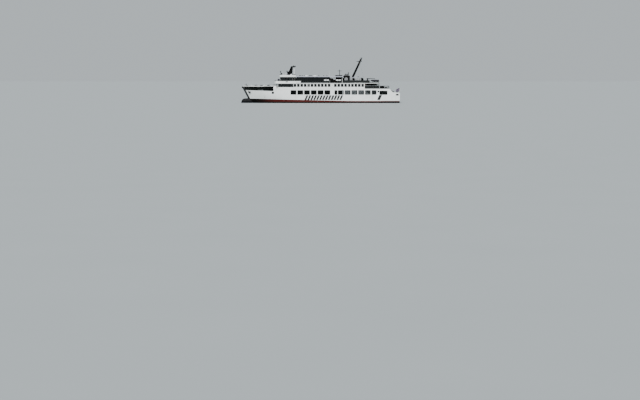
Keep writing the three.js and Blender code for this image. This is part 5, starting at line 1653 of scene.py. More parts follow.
def house_side():
    """The wheelhouse's straight port side with the bridge door's opening."""
    fore, half = HOUSE["fore"], HOUSE["half"]
    x0, x1, z0, z1 = BRIDGE_DOOR
    door = (fore - x1, fore - x0)
    gap = (door[0] - DOOR_MARGIN, door[1] + DOOR_MARGIN)
    bands = [(0.0, gap[0], *HOUSE_BAND), (gap[1], fore - HOUSE["aft"], *HOUSE_BAND)]
    bands.append((*gap, z1 + 0.05, HOUSE_BAND[1]))
    panes = house_panes([fore - x for x in even(13.2, 17.9, 3)], 0.7)
    doorways = [rounded(*door, z0, z1, 0.1)]
    return house_wall((fore, half), (HOUSE["aft"], half), panes, bands, doorways=doorways)


def wheelhouse():
    """Walls with a black band of panes all round, doorways, wipers, a brow over the front, corner posts."""
    aft, fore, nose, half, nose_half = (HOUSE[key] for key in ("aft", "fore", "nose", "half", "nose_half"))
    width = 2 * nose_half
    panes = house_panes(even(0.05, width - 0.05, 4), 0.66)
    front = house_wall((nose, -nose_half), (nose, nose_half), panes, [(0.0, width, *HOUSE_BAND)])
    length = math.hypot(nose - fore, half - nose_half)
    panes = house_panes(even(0.05, length - 0.05, 2), 0.6)
    sides = house_wall((nose, nose_half), (fore, half), panes, [(0.0, length, *HOUSE_BAND)])
    sides.join(house_side())
    back = house_wall((aft, half), (aft, -half), house_panes([2.5, 8.7], 0.7), [(0.0, 2 * half, *HOUSE_BAND)])
    for x, y in ((nose, nose_half), (fore, half), (aft, half)):
        corner_post(sides, x, y, BOAT_DECK, ROOF_UNDER, HOUSE_BAND)
    shape = front.join(sides.both_sides()).join(back)
    for y in even(-2.95, 2.95, 4):
        shape.tube([(x, y + aside, z) for x, aside, z in WIPER], 0.015, 5, "black")
        shape.box((18.58, 18.72), (y - 0.18, y - 0.02), (11.45, 11.58), "black")
    shape.prism(BROW, -nose_half, nose_half, "xz")
    return shape


piece("wheelhouse_walls", wheelhouse(), replaces=["wheelhouse"])


# Profiles in x and z of what stands in the wheelhouse
DESK = [(17.0, 9.12), (17.9, 9.12), (17.9, 10.15), (17.6, 10.25), (17.0, 9.95)]
DESK_PANEL = [(17.1, 10.01), (17.5, 10.2), (17.48, 10.24), (17.08, 10.05)]
CHAIR = [(15.85, 9.65), (16.45, 9.65), (16.45, 9.8), (15.98, 9.8), (15.9, 10.6), (15.75, 10.6)]
CHAIR_FOOT = [(0.3, 0.0), (0.3, 0.05), (0.06, 0.08), (0.06, 0.55)]
WHEEL = {"x": 16.9, "z": 10.0, "radius": 0.3}


def wheel_point(a):
    return (WHEEL["x"], WHEEL["radius"] * math.cos(a), WHEEL["z"] + WHEEL["radius"] * math.sin(a))


def wheelhouse_inside():
    """Desk with its slanted panels and screens, two chairs, wheel, chart table, floor and ceiling."""
    shape = Shape("grey")
    shape.prism(DESK, -4.2, 4.2, "xz", "grey")
    for y in steps(-3.6, 3.6, 6):
        shape.prism(DESK_PANEL, *about(y, 0.4), "xz", "black")
        shape.box((17.55, 17.75), about(y, 0.28), (10.25, 10.6), "black")
    for y in (-1.4, 1.4):
        shape.lathe(CHAIR_FOOT, (16.1, y, BOAT_DECK), "z", 14, "steel")
        shape.prism(CHAIR, *about(y, 0.28), "xz", "black")
    shape.tube([wheel_point(a) for a in around(20)], 0.025, 6, "wood", closed=True)
    for a in around(6):
        shape.tube([(WHEEL["x"], 0, WHEEL["z"]), wheel_point(a)], 0.015, 5, "wood")
    shape.box((12.2, 13.6), (-1.2, 1.2), (9.12, 10.0), "soot")
    shape.box((11.76, 18.0), (-5.4, 5.4), (11.5, 11.62), "white")
    shape.box((11.76, 18.0), (-5.4, 5.4), (9.1, 9.13), "rubber")
    return shape


piece("wheelhouse_inside", wheelhouse_inside(), slot="grey_steel", bevel=0.015)


def roof_line(x0, inset):
    """The wheelhouse roof's edge from abreast of x0, moved inwards."""
    side, fore, nose = 5.95 - inset, 18.55 - inset, 19.05 - inset
    return both_halves([(x0, side), (fore, side), (nose, 3.0)])


# The roof's courses: after end, inset, z from, z to, finish
ROOF_COURSES = [
    (11.47, 0.06, ROOF_UNDER, 11.78, "white"),
    (11.47, 0.0, 11.78, 12.24, "white"),
    (11.53, 0.09, 12.24, HOUSE_TOP, "lavender"),
]


def wheelhouse_roof():
    shape = Shape("white")
    for aft, inset, low, high, finish in ROOF_COURSES:
        shape.prism(roof_line(aft, inset), low, high, finish=finish)
    return shape


piece("wheelhouse_roof_plate", wheelhouse_roof(), replaces=["wheelhouse_roof"], bevel=0.03)


# Round fittings on the wheelhouse roof: (radius, distance along the axis)
COMPASS = [(0.16, 0.0), (0.12, 0.1), (0.1, 0.5), (0.2, 0.6), (0.22, 0.75), (0.0, 0.9)]
SEARCHLIGHT = [(0.0, -0.2), (0.17, -0.16), (0.22, 0.0), (0.22, 0.18), (0.2, 0.2), (0.0, 0.2)]
ROOF_LAMP = [(0.0, 0.0), (0.1, 0.02), (0.12, 0.12), (0.1, 0.22), (0.0, 0.26)]
HORN = [(0.05, -0.35), (0.06, 0.0), (0.1, 0.3), (0.16, 0.4)]
AERIAL_CAP = [(0.0, 0.0), (0.14, 0.03), (0.16, 0.12), (0.1, 0.2), (0.0, 0.22)]
DOME = [(0.35, 0.0), (0.35, 0.1), (0.4, 0.15), (0.42, 0.4), (0.34, 0.6), (0.18, 0.72), (0.0, 0.76)]
SIDE_LAMP = [(0.0, -0.08), (0.05, -0.07), (0.05, 0.07), (0.0, 0.08)]


def roof_side_gear():
    """On each side: searchlight, two whip aerials, a lamp and a horn, each on its post."""
    side, top = Shape("white"), HOUSE_TOP
    side.post(17.9, 2.2, top, 13.1, 0.05, 8, "black")
    side.lathe(SEARCHLIGHT, (17.9, 2.2, 13.3), "x", 16, "black")
    side.post(17.5, 3.6, top, 14.45, [0.03, 0.012])
    side.tube([(12.4, 5.0, top), (12.3, 5.0, 15.2)], [0.03, 0.01], 6)
    side.post(16.9, 5.2, top, 12.75, 0.04)
    side.lathe(ROOF_LAMP, (16.9, 5.2, 12.72), "z", 12, "canister")
    side.lathe(HORN, (17.6, 1.1, 12.55), "x", 14, "steel")
    side.post(17.5, 1.1, top, 12.52, 0.05, 6, "steel")
    return side


def monkey_island():
    """On the wheelhouse roof: coaming, rail, compass, side gear, signal post, dome and side lamps."""
    shape, top = Shape("white"), HOUSE_TOP
    outer, inner = roof_line(11.7, 0.14), roof_line(11.7, 0.19)
    for k in range(5):
        shape.prism([outer[k], outer[k + 1], inner[k + 1], inner[k]], 12.29, 12.54)
    rail(shape, [(x, y, top) for x, y in roof_line(11.7, 0.24)], [0.3, 0.58], 1.5, 0.018, "black")
    shape.lathe(COMPASS, (16.2, 0, top), "z", 16)
    shape.join(roof_side_gear().both_sides())
    shape.tube([(18.3, 0.4, top), (18.5, 0.4, 14.2)], [0.11, 0.07], 8, "black")
    shape.box((18.3, 18.7), (0.2, 0.6), (13.7, 14.35), "black")
    shape.box((18.1, 18.5), (0.15, 0.65), (12.75, 13.3), "black")
    shape.lathe(AERIAL_CAP, (14.6, -2.5, 12.9), "z", 14, "canister")
    shape.post(14.6, -2.5, top, 12.92, 0.05, 8)
    shape.lathe(DOME, (13.6, 3.2, top), "z", 20, "canister")
    for y, lamp in ((5.75, "antifouling"), (-5.75, "screen")):
        shape.box((15.0, 16.2), about(y, 0.03), (11.2, 11.6), "black")
        shape.lathe(SIDE_LAMP, (15.6, y * 1.01, 11.4), "z", 10, lamp)
    return shape


piece("monkey_island", monkey_island())


# Upper lounge and its long roof
LOUNGE = {"fore": 11.4, "aft": -3.7, "half": 6.55, "wall": 0.15, "low": 9.3, "high": 11.5, "slope": 1.9}


END_PANE = [(-3.9, 9.35), (-5.1, 9.35), (-4.05, 11.2), (-3.9, 11.2)]  # in the raked after end, x and z


def lounge_wall():
    """The lounge's dark port side: panes, mullions, the foot's trim and a grab rail."""
    g = LOUNGE
    foot, head = ((g["fore"] - x) for x in (g["aft"] - g["slope"], g["aft"]))
    outline = [(0, BOAT_DECK), (foot, BOAT_DECK), (head, ROOF_UNDER), (0, ROOF_UNDER)]
    first, last = g["aft"] + 0.05, g["fore"] - 0.1
    panes = window_row([g["fore"] - x for x in even(first, last, 8)], 0.9, g["low"], g["high"], 0.05)
    panes.append([(g["fore"] - x, z) for x, z in END_PANE])
    a, b = (g["fore"], g["half"]), (g["aft"], g["half"])
    paint = {"finish": "black", "frame": "black", "outline": outline}
    shape = wall(a, b, BOAT_DECK, ROOF_UNDER, g["wall"], panes, **paint)
    mullions = Shape("black")
    y = g["half"]
    for x in steps(first, last, 16):
        mullions.box(about(x, 0.025), (y - 0.05, y + 0.02), (g["low"], g["high"]))
    mullions.box((g["aft"] - 1.4, g["fore"]), (y, y + 0.03), (BOAT_DECK, 9.22))
    mullions.tube([(g["aft"] - 0.5, y + 0.06, 10.0), (g["fore"] - 0.3, y + 0.06, 10.0)], 0.02, 6)
    return shape.join(mullions)


port_lounge = lounge_wall()
piece("lounge_wall_port", port_lounge, replaces=["lounge_side_port", "lounge_glass"], slot="tinted_glass")
starboard_lounge = port_lounge.mirrored()
piece("lounge_wall_starboard", starboard_lounge, replaces=["lounge_side_starboard"], slot="tinted_glass")
dress("lounge_aft_bulkhead", "white")


# The roof's courses: x from, half width, z from, z to, finish
LOUNGE_COURSES = [
    (-9.75, 7.15, 11.7, LOUNGE_TOP, "lavender"),
    (-9.7, 7.08, ROOF_UNDER, 11.7, "white"),
    (-9.78, 7.18, 11.86, 11.95, "lavender"),
]
LOUNGE_ROOF_FORE = 11.45
# What carries the open after part: outline in x and z, y from, y to
ROOF_POSTS = [
    ([(-6.42, 9.1), (-6.2, 9.1), (-5.58, 11.7), (-5.8, 11.7)], 6.12, 6.3),
    ([(-9.4, 9.1), (-9.2, 9.1), (-9.2, 11.7), (-9.4, 11.7)], 6.12, 6.3),
    ([(-9.7, 11.2), (-9.2, 11.62), (-9.7, 11.62)], 6.15, 6.25),
]


def lounge_roof():
    """Roof plate with its gutter edge, and the beams, posts and brackets under its open part."""
    shape = Shape("lavender")
    for aft, half, low, high, finish in LOUNGE_COURSES:
        shape.box((aft, LOUNGE_ROOF_FORE), (-half, half), (low, high), finish)
    for x in steps(-9.3, -5.9, 4):
        shape.box(about(x, 0.05), (-6.9, 6.9), (11.5, 11.66), "white")
    side = Shape("white")
    for outline, y0, y1 in ROOF_POSTS:
        side.prism(outline, y0, y1, "xz")
    return shape.join(side.both_sides())


piece("lounge_roof_plate", lounge_roof(), replaces=["lounge_roof"], bevel=0.02)


SCREENS = [(-6.45, -5.25, 6.8, 10.5), (-5.25, -4.0, 6.7, 11.05)]  # x from, x to, y, top


def weather_screens():
    """Dark steel screens abaft the lounge, each a plate in a round frame with stiffeners."""
    shape = Shape("black")
    for x0, x1, y, top in SCREENS:
        outline = rounded(x0, x1, 9.16, top, 0.1)
        shape.plate(outline, [], y - 0.02, y, "xz")
        shape.tube([(x, y, z) for x, z in outline], 0.035, 6, closed=True)
        for x in steps(x0, x1, 3)[1:-1]:
            shape.box(about(x, 0.03), (y, y + 0.04), (9.2, top - 0.05))
            shape.post(x, y - 0.02, BOAT_DECK, 9.2, 0.03)
    return shape.both_sides()


piece("weather_screens", weather_screens(), slot="black_paint")


VENT_HEADS = (
    (9.9, 4.6), (9.3, 3.2), (7.6, 4.8), (5.4, 4.9), (4.9, 3.4), (1.2, 4.2), (-2.4, 3.6),
    (8.6, -4.2), (4.4, -3.4), (-1.0, -4.5),
)
VENT_HEAD = [(0.14, 0.0), (0.14, 0.22), (0.3, 0.24), (0.3, 0.32), (0.2, 0.42), (0.0, 0.46)]
GRATINGS = ((-7.8, 2.6), (-7.8, -2.6))
# A raised grating's courses: half length, half width, z from, z to, finish
GRATING_COURSES = [(1.6, 1.4, 12.1, 12.42, "black"), (1.5, 1.3, 12.42, 12.55, "black")]
HATCHES = ((7.0, -0.5), (3.0, 0.8))
HATCH_LID = [(0.38, 0.0), (0.38, 0.05), (0.3, 0.07), (0.0, 0.07)]
SIGNAL_MAST = (-8.1, 5.4)
AERIAL = (-3.6, -4.0)


def grating(shape, x, y):
    for long, wide, low, high, finish in GRATING_COURSES:
        shape.box(about(x, long), about(y, wide), (low, high), finish)
    for dx in steps(-1.3, 1.3, 8):
        shape.box(about(x + dx, 0.03), about(y, 1.25), (12.55, 12.6), "grey")
    shape.box(about(x, 1.4), about(y, 1.2), (LOUNGE_TOP, 12.1), "steel")


def roof_gear():
    """Low rail, ventilator heads, gratings, hatches, a signal mast and an aerial on the lounge roof."""
    shape, top = Shape("white"), LOUNGE_TOP
    corners = [(11.2, 6.9), (-9.5, 6.9), (-9.5, -6.9), (11.2, -6.9)]
    rail(shape, [(x, y, top) for x, y in corners], [0.3, 0.58], 2.1, 0.02, "grey")
    for x, y in VENT_HEADS:
        shape.lathe(VENT_HEAD, (x, y, top), "z", 14, "soot")
    for x, y in GRATINGS:
        grating(shape, x, y)
    for x, y in HATCHES:
        shape.box(about(x, 0.7), about(y, 0.5), (12.06, 12.4), "canister")
        shape.lathe(HATCH_LID, (x, y, 12.4), "z", 18, "grey")
    x, y = SIGNAL_MAST
    shape.post(x, y, top, 15.0, [0.17, 0.1], 10, "black")
    shape.tube([(x + 0.9, y, 14.4), (x - 0.9, y, 14.4)], 0.09, 8, "black")
    shape.tube([(x, y - 0.6, 13.6), (x, y + 0.6, 13.6)], 0.04, 6, "black")
    shape.post(x - 0.9, y, 14.3, 14.9, 0.03, 6, "grey")
    shape.post(*AERIAL, top, 14.4, [0.04, 0.012], 6, "white")
    return shape


piece("roof_gear", roof_gear())


# Funnels
FUNNEL = {"aft": -12.75, "fore": -9.85, "y0": 3.9, "y1": 6.1, "top": 12.0}
UPTAKE = {"aft": -9.95, "fore": -6.4, "y0": 3.9, "y1": 6.0, "top": 11.6}
EXHAUSTS = [
    # foot x, head x, top, radius
    (-10.6, -10.95, 13.15, 0.22),
    (-11.4, -11.65, 13.15, 0.22),
    (-12.1, -12.2, 13.85, 0.12),
]
DISC = {"x": -11.05, "z": 10.7, "radius": 0.82}


def funnel_casing():
    """The casing between its foot and its cap, all with round corners."""
    aft, fore, y0, y1, top = (FUNNEL[key] for key in ("aft", "fore", "y0", "y1", "top"))
    shape = Shape("black")
    body = rounded(aft, fore, y0, y1, 0.28, 5)
    shape.prism(body, BOAT_DECK, top)
    shape.prism(rounded(aft - 0.1, fore + 0.06, y0 - 0.1, y1 + 0.1, 0.36, 5), top - 0.02, top + 0.22)
    shape.prism(shrunk(body, 0.05), top + 0.22, top + 0.29)
    shape.prism(shrunk(body, -0.07), BOAT_DECK, BOAT_DECK + 0.16)
    for z in steps(9.6, 11.2, 10):
        shape.prism([(aft - 0.05, z), (aft + 0.04, z + 0.11), (aft + 0.04, z)], 4.4, 5.6, "xz")
    return shape


def funnel_sides():
    """The plain disc and the small vents on the casing's two sides."""
    shape = Shape("black")
    for y, out in ((FUNNEL["y1"], 1), (FUNNEL["y0"], -1)):
        ring = circle(DISC["x"], DISC["z"], DISC["radius"], 36)
        shape.plate(ring, [], *sorted((y, y + out * 0.035)), "xz", "disc")
        shape.tube([(a, y + out * 0.03, c) for a, c in ring], 0.035, 6, "black", closed=True)
        for z in steps(9.45, 9.75, 2):
            shape.box((-12.4, -11.9), sorted((y, y + out * 0.05)), (z, z + 0.06))
    return shape


def exhausts():
    """Pipes with a drip collar at the foot and an open end."""
    shape = Shape("soot")
    y = (FUNNEL["y0"] + FUNNEL["y1"]) / 2
    base = FUNNEL["top"] + 0.28
    for foot, head, top, radius in EXHAUSTS:
        start, end = Vector((foot, y, base)), Vector((head, y, top - 0.06))
        along = (end - start).normalized()
        shape.tube([start, end], radius * 0.94, 18)
        shape.tube([start, start + along * 0.16], [radius + 0.12, radius + 0.03], 18)
        shape.tube([end - along * 0.09, end], radius, 18)
        shape.tube([end, end + along * 0.004], radius * 0.8, 18, "black")
    return shape


def uptake_casing():
    """The lower casing ahead of the funnel: a door and louvres on its outer side, ribs on its inner one; its
    black paint also stands in for the shade under the after roof.
    """
    u = UPTAKE
    shape = Shape("black")
    shape.prism(rounded(u["aft"], u["fore"], u["y0"], u["y1"], 0.08, 3), BOAT_DECK, u["top"])
    extra = Shape("black")
    door_relief(extra, 0.6, 9.2, porthole=False, paint="black")
    shape.join(extra.copied(lambda p: (u["fore"] - p[0], u["y1"] - p[1], p[2])))
    for z in steps(9.9, 11.1, 8):
        shape.prism([(u["y1"], z), (u["y1"] + 0.06, z), (u["y1"], z + 0.1)], -9.6, -8.2, "yz")
    for x in steps(-9.4, -6.9, 3):
        shape.box(about(x, 0.04), (u["y0"] - 0.05, u["y0"]), (BOAT_DECK, u["top"]))
    return shape


def funnel():
    """The port funnel with its lower casing and a ladder on its inner side."""
    shape = funnel_casing().join(funnel_sides()).join(exhausts()).join(uptake_casing())
    x, wall_y, rung_y = FUNNEL["aft"] + 0.6, FUNNEL["y0"], FUNNEL["y0"] - 0.1
    rung = [(x, wall_y), (x, rung_y), (x + 0.4, rung_y), (x + 0.4, wall_y)]
    for z in steps(9.4, 11.8, 8):
        shape.tube([(a, b, z) for a, b in rung], 0.018, 5, "grey")
    return shape


pair("funnel_*_casing", funnel(), ["funnel_*"], slot="black_paint")


# Vent house with louvres and a door, and the cowl ventilators
LOUVRES = (-16.9, -15.6, -14.3)
MUSHROOM = [(0.3, 0.0), (0.3, 0.3), (0.55, 0.34), (0.55, 0.42), (0.3, 0.6), (0.0, 0.66)]


def vent_house():
    shape = Shape("grey")
    (x0, x1), (y0, y1), (z0, z1) = span("vent_house")
    shape.prism(rounded(x0, x1, y0, y1, 0.12, 3), z0, z1 - 0.08)
    roof = rounded(x0 - 0.02, x1 + 0.02, y0 - 0.02, y1 + 0.02, 0.14, 3)
    shape.prism(roof, z1 - 0.14, z1, finish="lavender")
    for sign in (1, -1):
        y = sign * y1
        for x in LOUVRES:
            shape.box(about(x, 0.5), sorted((y, y + sign * 0.03)), (9.9, 11.1), "black")
            for z in steps(9.95, 10.98, 10):
                near, far = sorted((y + sign * 0.02, y + sign * 0.07))
                if sign < 0:
                    near, far = far, near
                shape.prism([(near, z + 0.08), (far, z), (near, z)], *about(x, 0.47), "yz", "grey")
    extra = Shape("white")
    door_relief(extra, 0.0, 9.22)
    shape.join(extra.copied(lambda p: (x0 + p[1], p[0], p[2])))
    for y in (1.2, -1.2):
        shape.lathe(MUSHROOM, (-16.6, y, z1), "z", 20, "grey")
    return shape


piece("vent_house_walls", vent_house(), replaces=["vent_house"])

BELL = {"back": 0.15, "mouth": 0.56, "z": 10.77, "radius": 0.64}  # back: how far abaft x the trunk stands
BELL_RADII = [0.34, 0.33, 0.33, 0.34, 0.38, 0.42, 0.47, 0.5, 0.53, 0.55, 0.57, 0.64]
BELL_DISC = [(0.0, 0.0), (0.55, 0.0), (0.55, 0.01), (0.0, 0.012)]
BELL_COLLAR = [(0.38, 0.0), (0.42, 0.02), (0.42, 0.08), (0.36, 0.1)]


def cowl(x, y):
    """A cowl ventilator: a round trunk that bends forward into a flared bell."""
    shape = Shape("black")
    back, mouth, middle, radius = x - BELL["back"], x + BELL["mouth"], BELL["z"], BELL["radius"]
    path = [(back, y, z) for z in (BOAT_DECK, 9.6, 10.2, 10.4)]
    bends = steps(0.3, math.pi / 2, 5)
    path += [(back + 0.3 * (1 - math.cos(a)), y, 10.4 + 0.35 * math.sin(a)) for a in bends]
    path += [(x + 0.35, y, 10.76), (x + 0.55, y, middle)]
    shape.tube(path, BELL_RADII, 20)
    lip = [(mouth, y + radius * math.cos(a), middle + radius * math.sin(a)) for a in around(24)]
    shape.tube(lip, 0.035, 6, "black", closed=True)
    shape.lathe(BELL_DISC, (mouth, y, middle), "x", 24, "black")
    shape.lathe(BELL_COLLAR, (back, y, 9.75), "z", 20, "steel")
    return shape


def cowl_row():
    shape = cowl(-14.5, 4.7).join(cowl(-18.4, 4.7))
    shape.box((-18.8, -14.1), (4.42, 4.98), (BOAT_DECK, 9.5), "white")
    for x in steps(-17.6, -15.4, 3):
        shape.box(about(x, 0.3), (4.98, 5.01), (9.2, 9.42), "black")
    return shape


pair("cowls_*", cowl_row(), ["cowl_vents_*"], slot="black_paint")


# Masts
MAST = {"foot": (-14.1, 11.6), "head": (-17.85, 19.7), "top": (-18.35, 20.45)}


def mast_at(share):
    foot, head = MAST["foot"], MAST["head"]
    return (foot[0] + (head[0] - foot[0]) * share, 0.0, foot[1] + (head[1] - foot[1]) * share)


MAST_RADII = [0.5, 0.48, 0.45, 0.42]
MAST_COLLAR = [(0.62, 0.0), (0.62, 0.06), (0.45, 0.1)]
YARD = 0.88  # share of the mast's length that the yard is at
MAST_LAMP = [(0.0, 0.0), (0.13, 0.02), (0.13, 0.24), (0.0, 0.28)]
YARD_LAMP = [(0.0, 0.0), (0.07, 0.01), (0.07, 0.16), (0.0, 0.18)]
TOP_LAMP = [(0.0, 0.0), (0.09, 0.02), (0.09, 0.18), (0.0, 0.22)]
RUNGS = 26


def mast_fittings(shape):
    """Two brackets with lamps up the mast's after side and the rungs on its fore side."""
    for share in (0.55, 0.72):
        x, _, z = mast_at(share)
        plate = [(x - 0.55, z), (x + 0.2, z), (x + 0.2, z + 0.05), (x - 0.55, z + 0.05)]
        shape.prism(plate, -0.35, 0.35, "xz")
        shape.tube([(x - 0.5, 0, z), (x - 0.05, 0, z - 0.6)], 0.03, 6)
        shape.lathe(MAST_LAMP, (x - 0.4, 0, z + 0.05), "z", 12, "canister")
    for k in range(RUNGS):
        x, _, z = mast_at(0.03 + 0.032 * k)
        near = x + 0.42 - 0.004 * k
        rung = [(near, -0.18), (near + 0.08, -0.18), (near + 0.08, 0.18), (near, 0.18)]
        shape.tube([(a, b, z) for a, b in rung], 0.014, 5, "grey")


def aft_mast():
    shape = Shape("black")
    shape.tube([mast_at(s) for s in (0.002, 0.35, 0.7, 1.0)], MAST_RADII, 16)
    head, top = MAST["head"], MAST["top"]
    shape.tube([(head[0], 0, head[1] - 0.1), (top[0], 0, top[1])], [0.23, 0.15], 10)
    shape.tube([(top[0] + 0.1, 0, 20.3), (-17.5, 0, 20.24), (-17.42, 0, 19.95)], 0.07, 6)
    shape.lathe(MAST_COLLAR, (-14.1, 0, 11.6), "z", 16)
    x, _, z = mast_at(YARD)
    shape.tube([(x - 0.88, 0, z), (x, 0, z), (x + 1.58, 0, z)], [0.13, 0.17, 0.13], 8)
    shape.tube([(x, -2.08, z), (x, 0, z), (x, 2.08, z)], [0.06, 0.1, 0.06], 8)
    mast_fittings(shape)
    for y in (-1.9, -0.9, 0.9, 1.9):
        shape.lathe(YARD_LAMP, (x, y, z + 0.06), "z", 10, "canister")
    shape.lathe(TOP_LAMP, (top[0], 0, top[1] - 0.24), "z", 10, "canister")
    return shape


piece("aft_mast_pole", aft_mast(), replaces=["aft_mast"], slot="black_paint")


def stays():
    """Wire stays of the raked mast and signal halyards, each a taut wire with its rigging screws."""
    shape = Shape("steel")
    high = mast_at(0.86)
    for y in (5.9, -5.9):
        for foot in ((-9.6, 0.62 * y, 12.02), (-19.6, y, 9.12)):
            shape.tube([high, foot], 0.012, 5)
            end, start = Vector(foot), Vector(high)
            near = end.lerp(start, 0.5 / (end - start).length)
            shape.tube([end, near], 0.03, 6)
    x, _, z = mast_at(YARD)
    for y in (1.8, -1.8, 1.2, -1.2):
        shape.tube([(x, y, z), (-16.8, y * 0.7, 11.7)], 0.007, 4, "rope")
    return shape


piece("mast_stays", stays(), slot="grey_steel")


RADAR_FIN = [
    (15.5, 12.302), (15.5, 14.1), (14.85, 14.1), (13.8, 16.5), (11.6, 16.5),
    (11.6, 16.25), (12.95, 15.9), (13.15, 12.9), (12.4, 12.6), (12.4, 12.302),
]
UPPER_SHELF = {"x": (11.6, 13.7), "half": 0.75, "z": (16.2, 16.55)}
LOWER_SHELF = {"x": (14.2, 15.95), "half": 0.45, "z": (14.0, 14.15)}
SHELF_BRACKET = [(14.9, 14.0), (15.75, 14.0), (15.4, 13.5), (14.9, 13.5)]
RADAR_LAMPS = ((15.2, 14.35), (14.7, 14.6), (13.2, 15.5))  # z, x
RADAR_LAMP = [(0.0, 0.0), (0.11, 0.02), (0.11, 0.22), (0.0, 0.26)]
LATTICE = {"foot": 12.15, "lean": 0.03, "fore": 12.98, "half": 0.22}


def radar_mast():
    """The fin with chamfered edges, its two shelves, lamps, aerials and a pale lattice up its after side."""
    shape = Shape("black")
    chamfer = ((-0.3, 0.05), (-0.25, 0.0), (0.25, 0.0), (0.3, 0.05))
    shape.loft([[(x, y, z) for x, z in shrunk(RADAR_FIN, by)] for y, by in chamfer])
    for shelf in (UPPER_SHELF, LOWER_SHELF):
        outline = rounded(*shelf["x"], -shelf["half"], shelf["half"], 0.12, 3)
        shape.prism(outline, *shelf["z"])
    x0 = UPPER_SHELF["x"][0]
    guard = [(x0 + 1.6, -0.7), (x0 + 0.06, -0.7), (x0 + 0.06, 0.7), (x0 + 1.6, 0.7)]
    rail(shape, [(x, y, UPPER_SHELF["z"][1]) for x, y in guard], [0.1, 0.2], 0.7, 0.02)
    shape.prism(SHELF_BRACKET, -0.06, 0.06, "xz")
    for z, x in RADAR_LAMPS:
        shape.lathe(RADAR_LAMP, (x + 0.12, 0, z), "z", 12, "canister")
        shape.box((x - 0.1, x + 0.22), (-0.08, 0.08), (z - 0.04, z))
    shape.tube([(12.9, -1.6, 15.7), (12.9, 0, 15.75), (12.9, 1.6, 15.7)], 0.035, 6)
    shape.post(12.9, 1.5, 15.7, 17.4, [0.02, 0.008], 5, "white")
    return shape.join(mast_lattice())


def lean(z):
    """The lattice's uprights in x at a height."""
    return LATTICE["foot"] + LATTICE["lean"] * (z - 12.6)


def mast_lattice():
    """Two uprights abaft the fin with rungs, zigzag braces and ties to it, over a low dark locker."""
    shape = Shape("white")
    half, fore = LATTICE["half"], LATTICE["fore"]
    shape.box((11.85, 13.7), (-0.36, 0.36), (12.302, 12.85), "black")
    levels = steps(12.62, 16.2, 9)
    for y in (-half, half):
        shape.tube([(lean(z), y, z) for z in (12.31, 16.36)], 0.045, 6)
        for k, (low, high) in enumerate(zip(levels, levels[1:])):
            ends = [(lean(low), y, low), (fore, y, high)]
            if k % 2:
                ends = [(fore, y, low), (lean(high), y, high)]
            shape.tube(ends, 0.03, 5)
    for z in steps(12.5, 16.2, 13):
        shape.tube([(lean(z), -half, z), (lean(z), half, z)], 0.022, 5)
    return shape


piece("radar_mast_fin", radar_mast(), replaces=["radar_mast"], slot="black_paint")


TURNING_UNIT = [(0.18, 0.0), (0.18, 0.04), (0.15, 0.08), (0.13, 0.2), (0.16, 0.25), (0.1, 0.28)]
ARRAY = [(-0.09, 0.25), (0.09, 0.25), (0.11, 0.3), (0.09, 0.42), (0.0, 0.445), (-0.08, 0.42), (-0.1, 0.33)]
ARRAY_MIDDLE = 0.345
ARRAY_ENDS = ((0.0, 0.55), (0.04, 0.95), (0.1, 1.0))  # distance from the end, share of the section


def scanner(x, z, half):
    """An open-array radar scanner on its turning unit."""
    shape = Shape("black")
    shape.lathe(TURNING_UNIT, (x, 0, z), "z", 18)
    places = [(in_by - half, share) for in_by, share in ARRAY_ENDS]
    places += [(half - in_by, share) for in_by, share in ARRAY_ENDS[::-1]]
    rings = []
    for y, share in places:
        rings.append([(x + a * share, y, z + ARRAY_MIDDLE + (c - ARRAY_MIDDLE) * share) for a, c in ARRAY])
    shape.loft(rings)
    shape.box((x - 0.105, x - 0.085), about(0.0, half - 0.12), (z + 0.31, z + 0.39), "black")
    return shape


piece("scanner_upper", scanner(12.6, 16.562, 1.25), "upper_scanner", ["radar_scanner_upper"])
piece("scanner_lower", scanner(15.6, 14.162, 0.65), "lower_scanner", ["radar_scanner_lower"])


# Life-rafts on their racks
RAFT = {"y": 7.05, "z": 10.2, "radius": 0.31, "half": 0.54, "strap": 0.318}


def arc(x, radius, start, end, count):
    """Points of an arc round a raft canister's axis, in degrees from outboard upwards."""
    turns = [math.radians(a) for a in steps(start, end, count)]
    return [(x, RAFT["y"] + radius * math.cos(a), RAFT["z"] + radius * math.sin(a)) for a in turns]


def canister(x):
    """A raft's canister: two dished halves with stepped ends, the seam between them and two straps."""
    shape = Shape("canister")
    y, z, radius, half = RAFT["y"], RAFT["z"], RAFT["radius"], RAFT["half"]
    ends = [(0.0, -half), (0.14, -half), (0.23, -half + 0.04), (0.285, -half + 0.12), (radius, -half + 0.14)]
    shape.lathe(ends + [(r, -a) for r, a in ends[::-1]], (x, y, z), "x", 28)
    shape.box((x - half + 0.1, x + half - 0.1), (y - radius - 0.01, y + radius + 0.01), about(z, 0.03))
    for dx in (-0.3, 0.3):
        shape.tube(arc(x + dx, RAFT["strap"], 0, 360, 28)[:-1], 0.015, 5, "black", closed=True)
    return shape


def raft_racks():
    shape = Shape("black")
    for x in (-2.25, -7.6):
        for at in about(x, 0.58):
            shape.join(canister(at))
            for dx in (-0.3, 0.3):
                shape.tube(arc(at + dx, RAFT["strap"] + 0.012, 200, 340, 8), 0.025, 6)
        for leg in about(x, 0.75):
            shape.post(leg, 7.05, BOAT_DECK, 9.84, 0.05, 8)
            shape.tube([(leg, 6.6, BOAT_DECK), (leg, 7.02, 9.8)], 0.035, 6)
    for y in (6.97, 7.13):
        shape.tube([(-8.8, y, 9.86), (-1.1, y, 9.86)], 0.035, 8)
    return shape


pair("rafts_*", raft_racks(), ["liferafts_*"])


# Rails of the boat deck and the upper deck
RAIL_BARS = [0.28, 0.56, 0.83, 1.1]


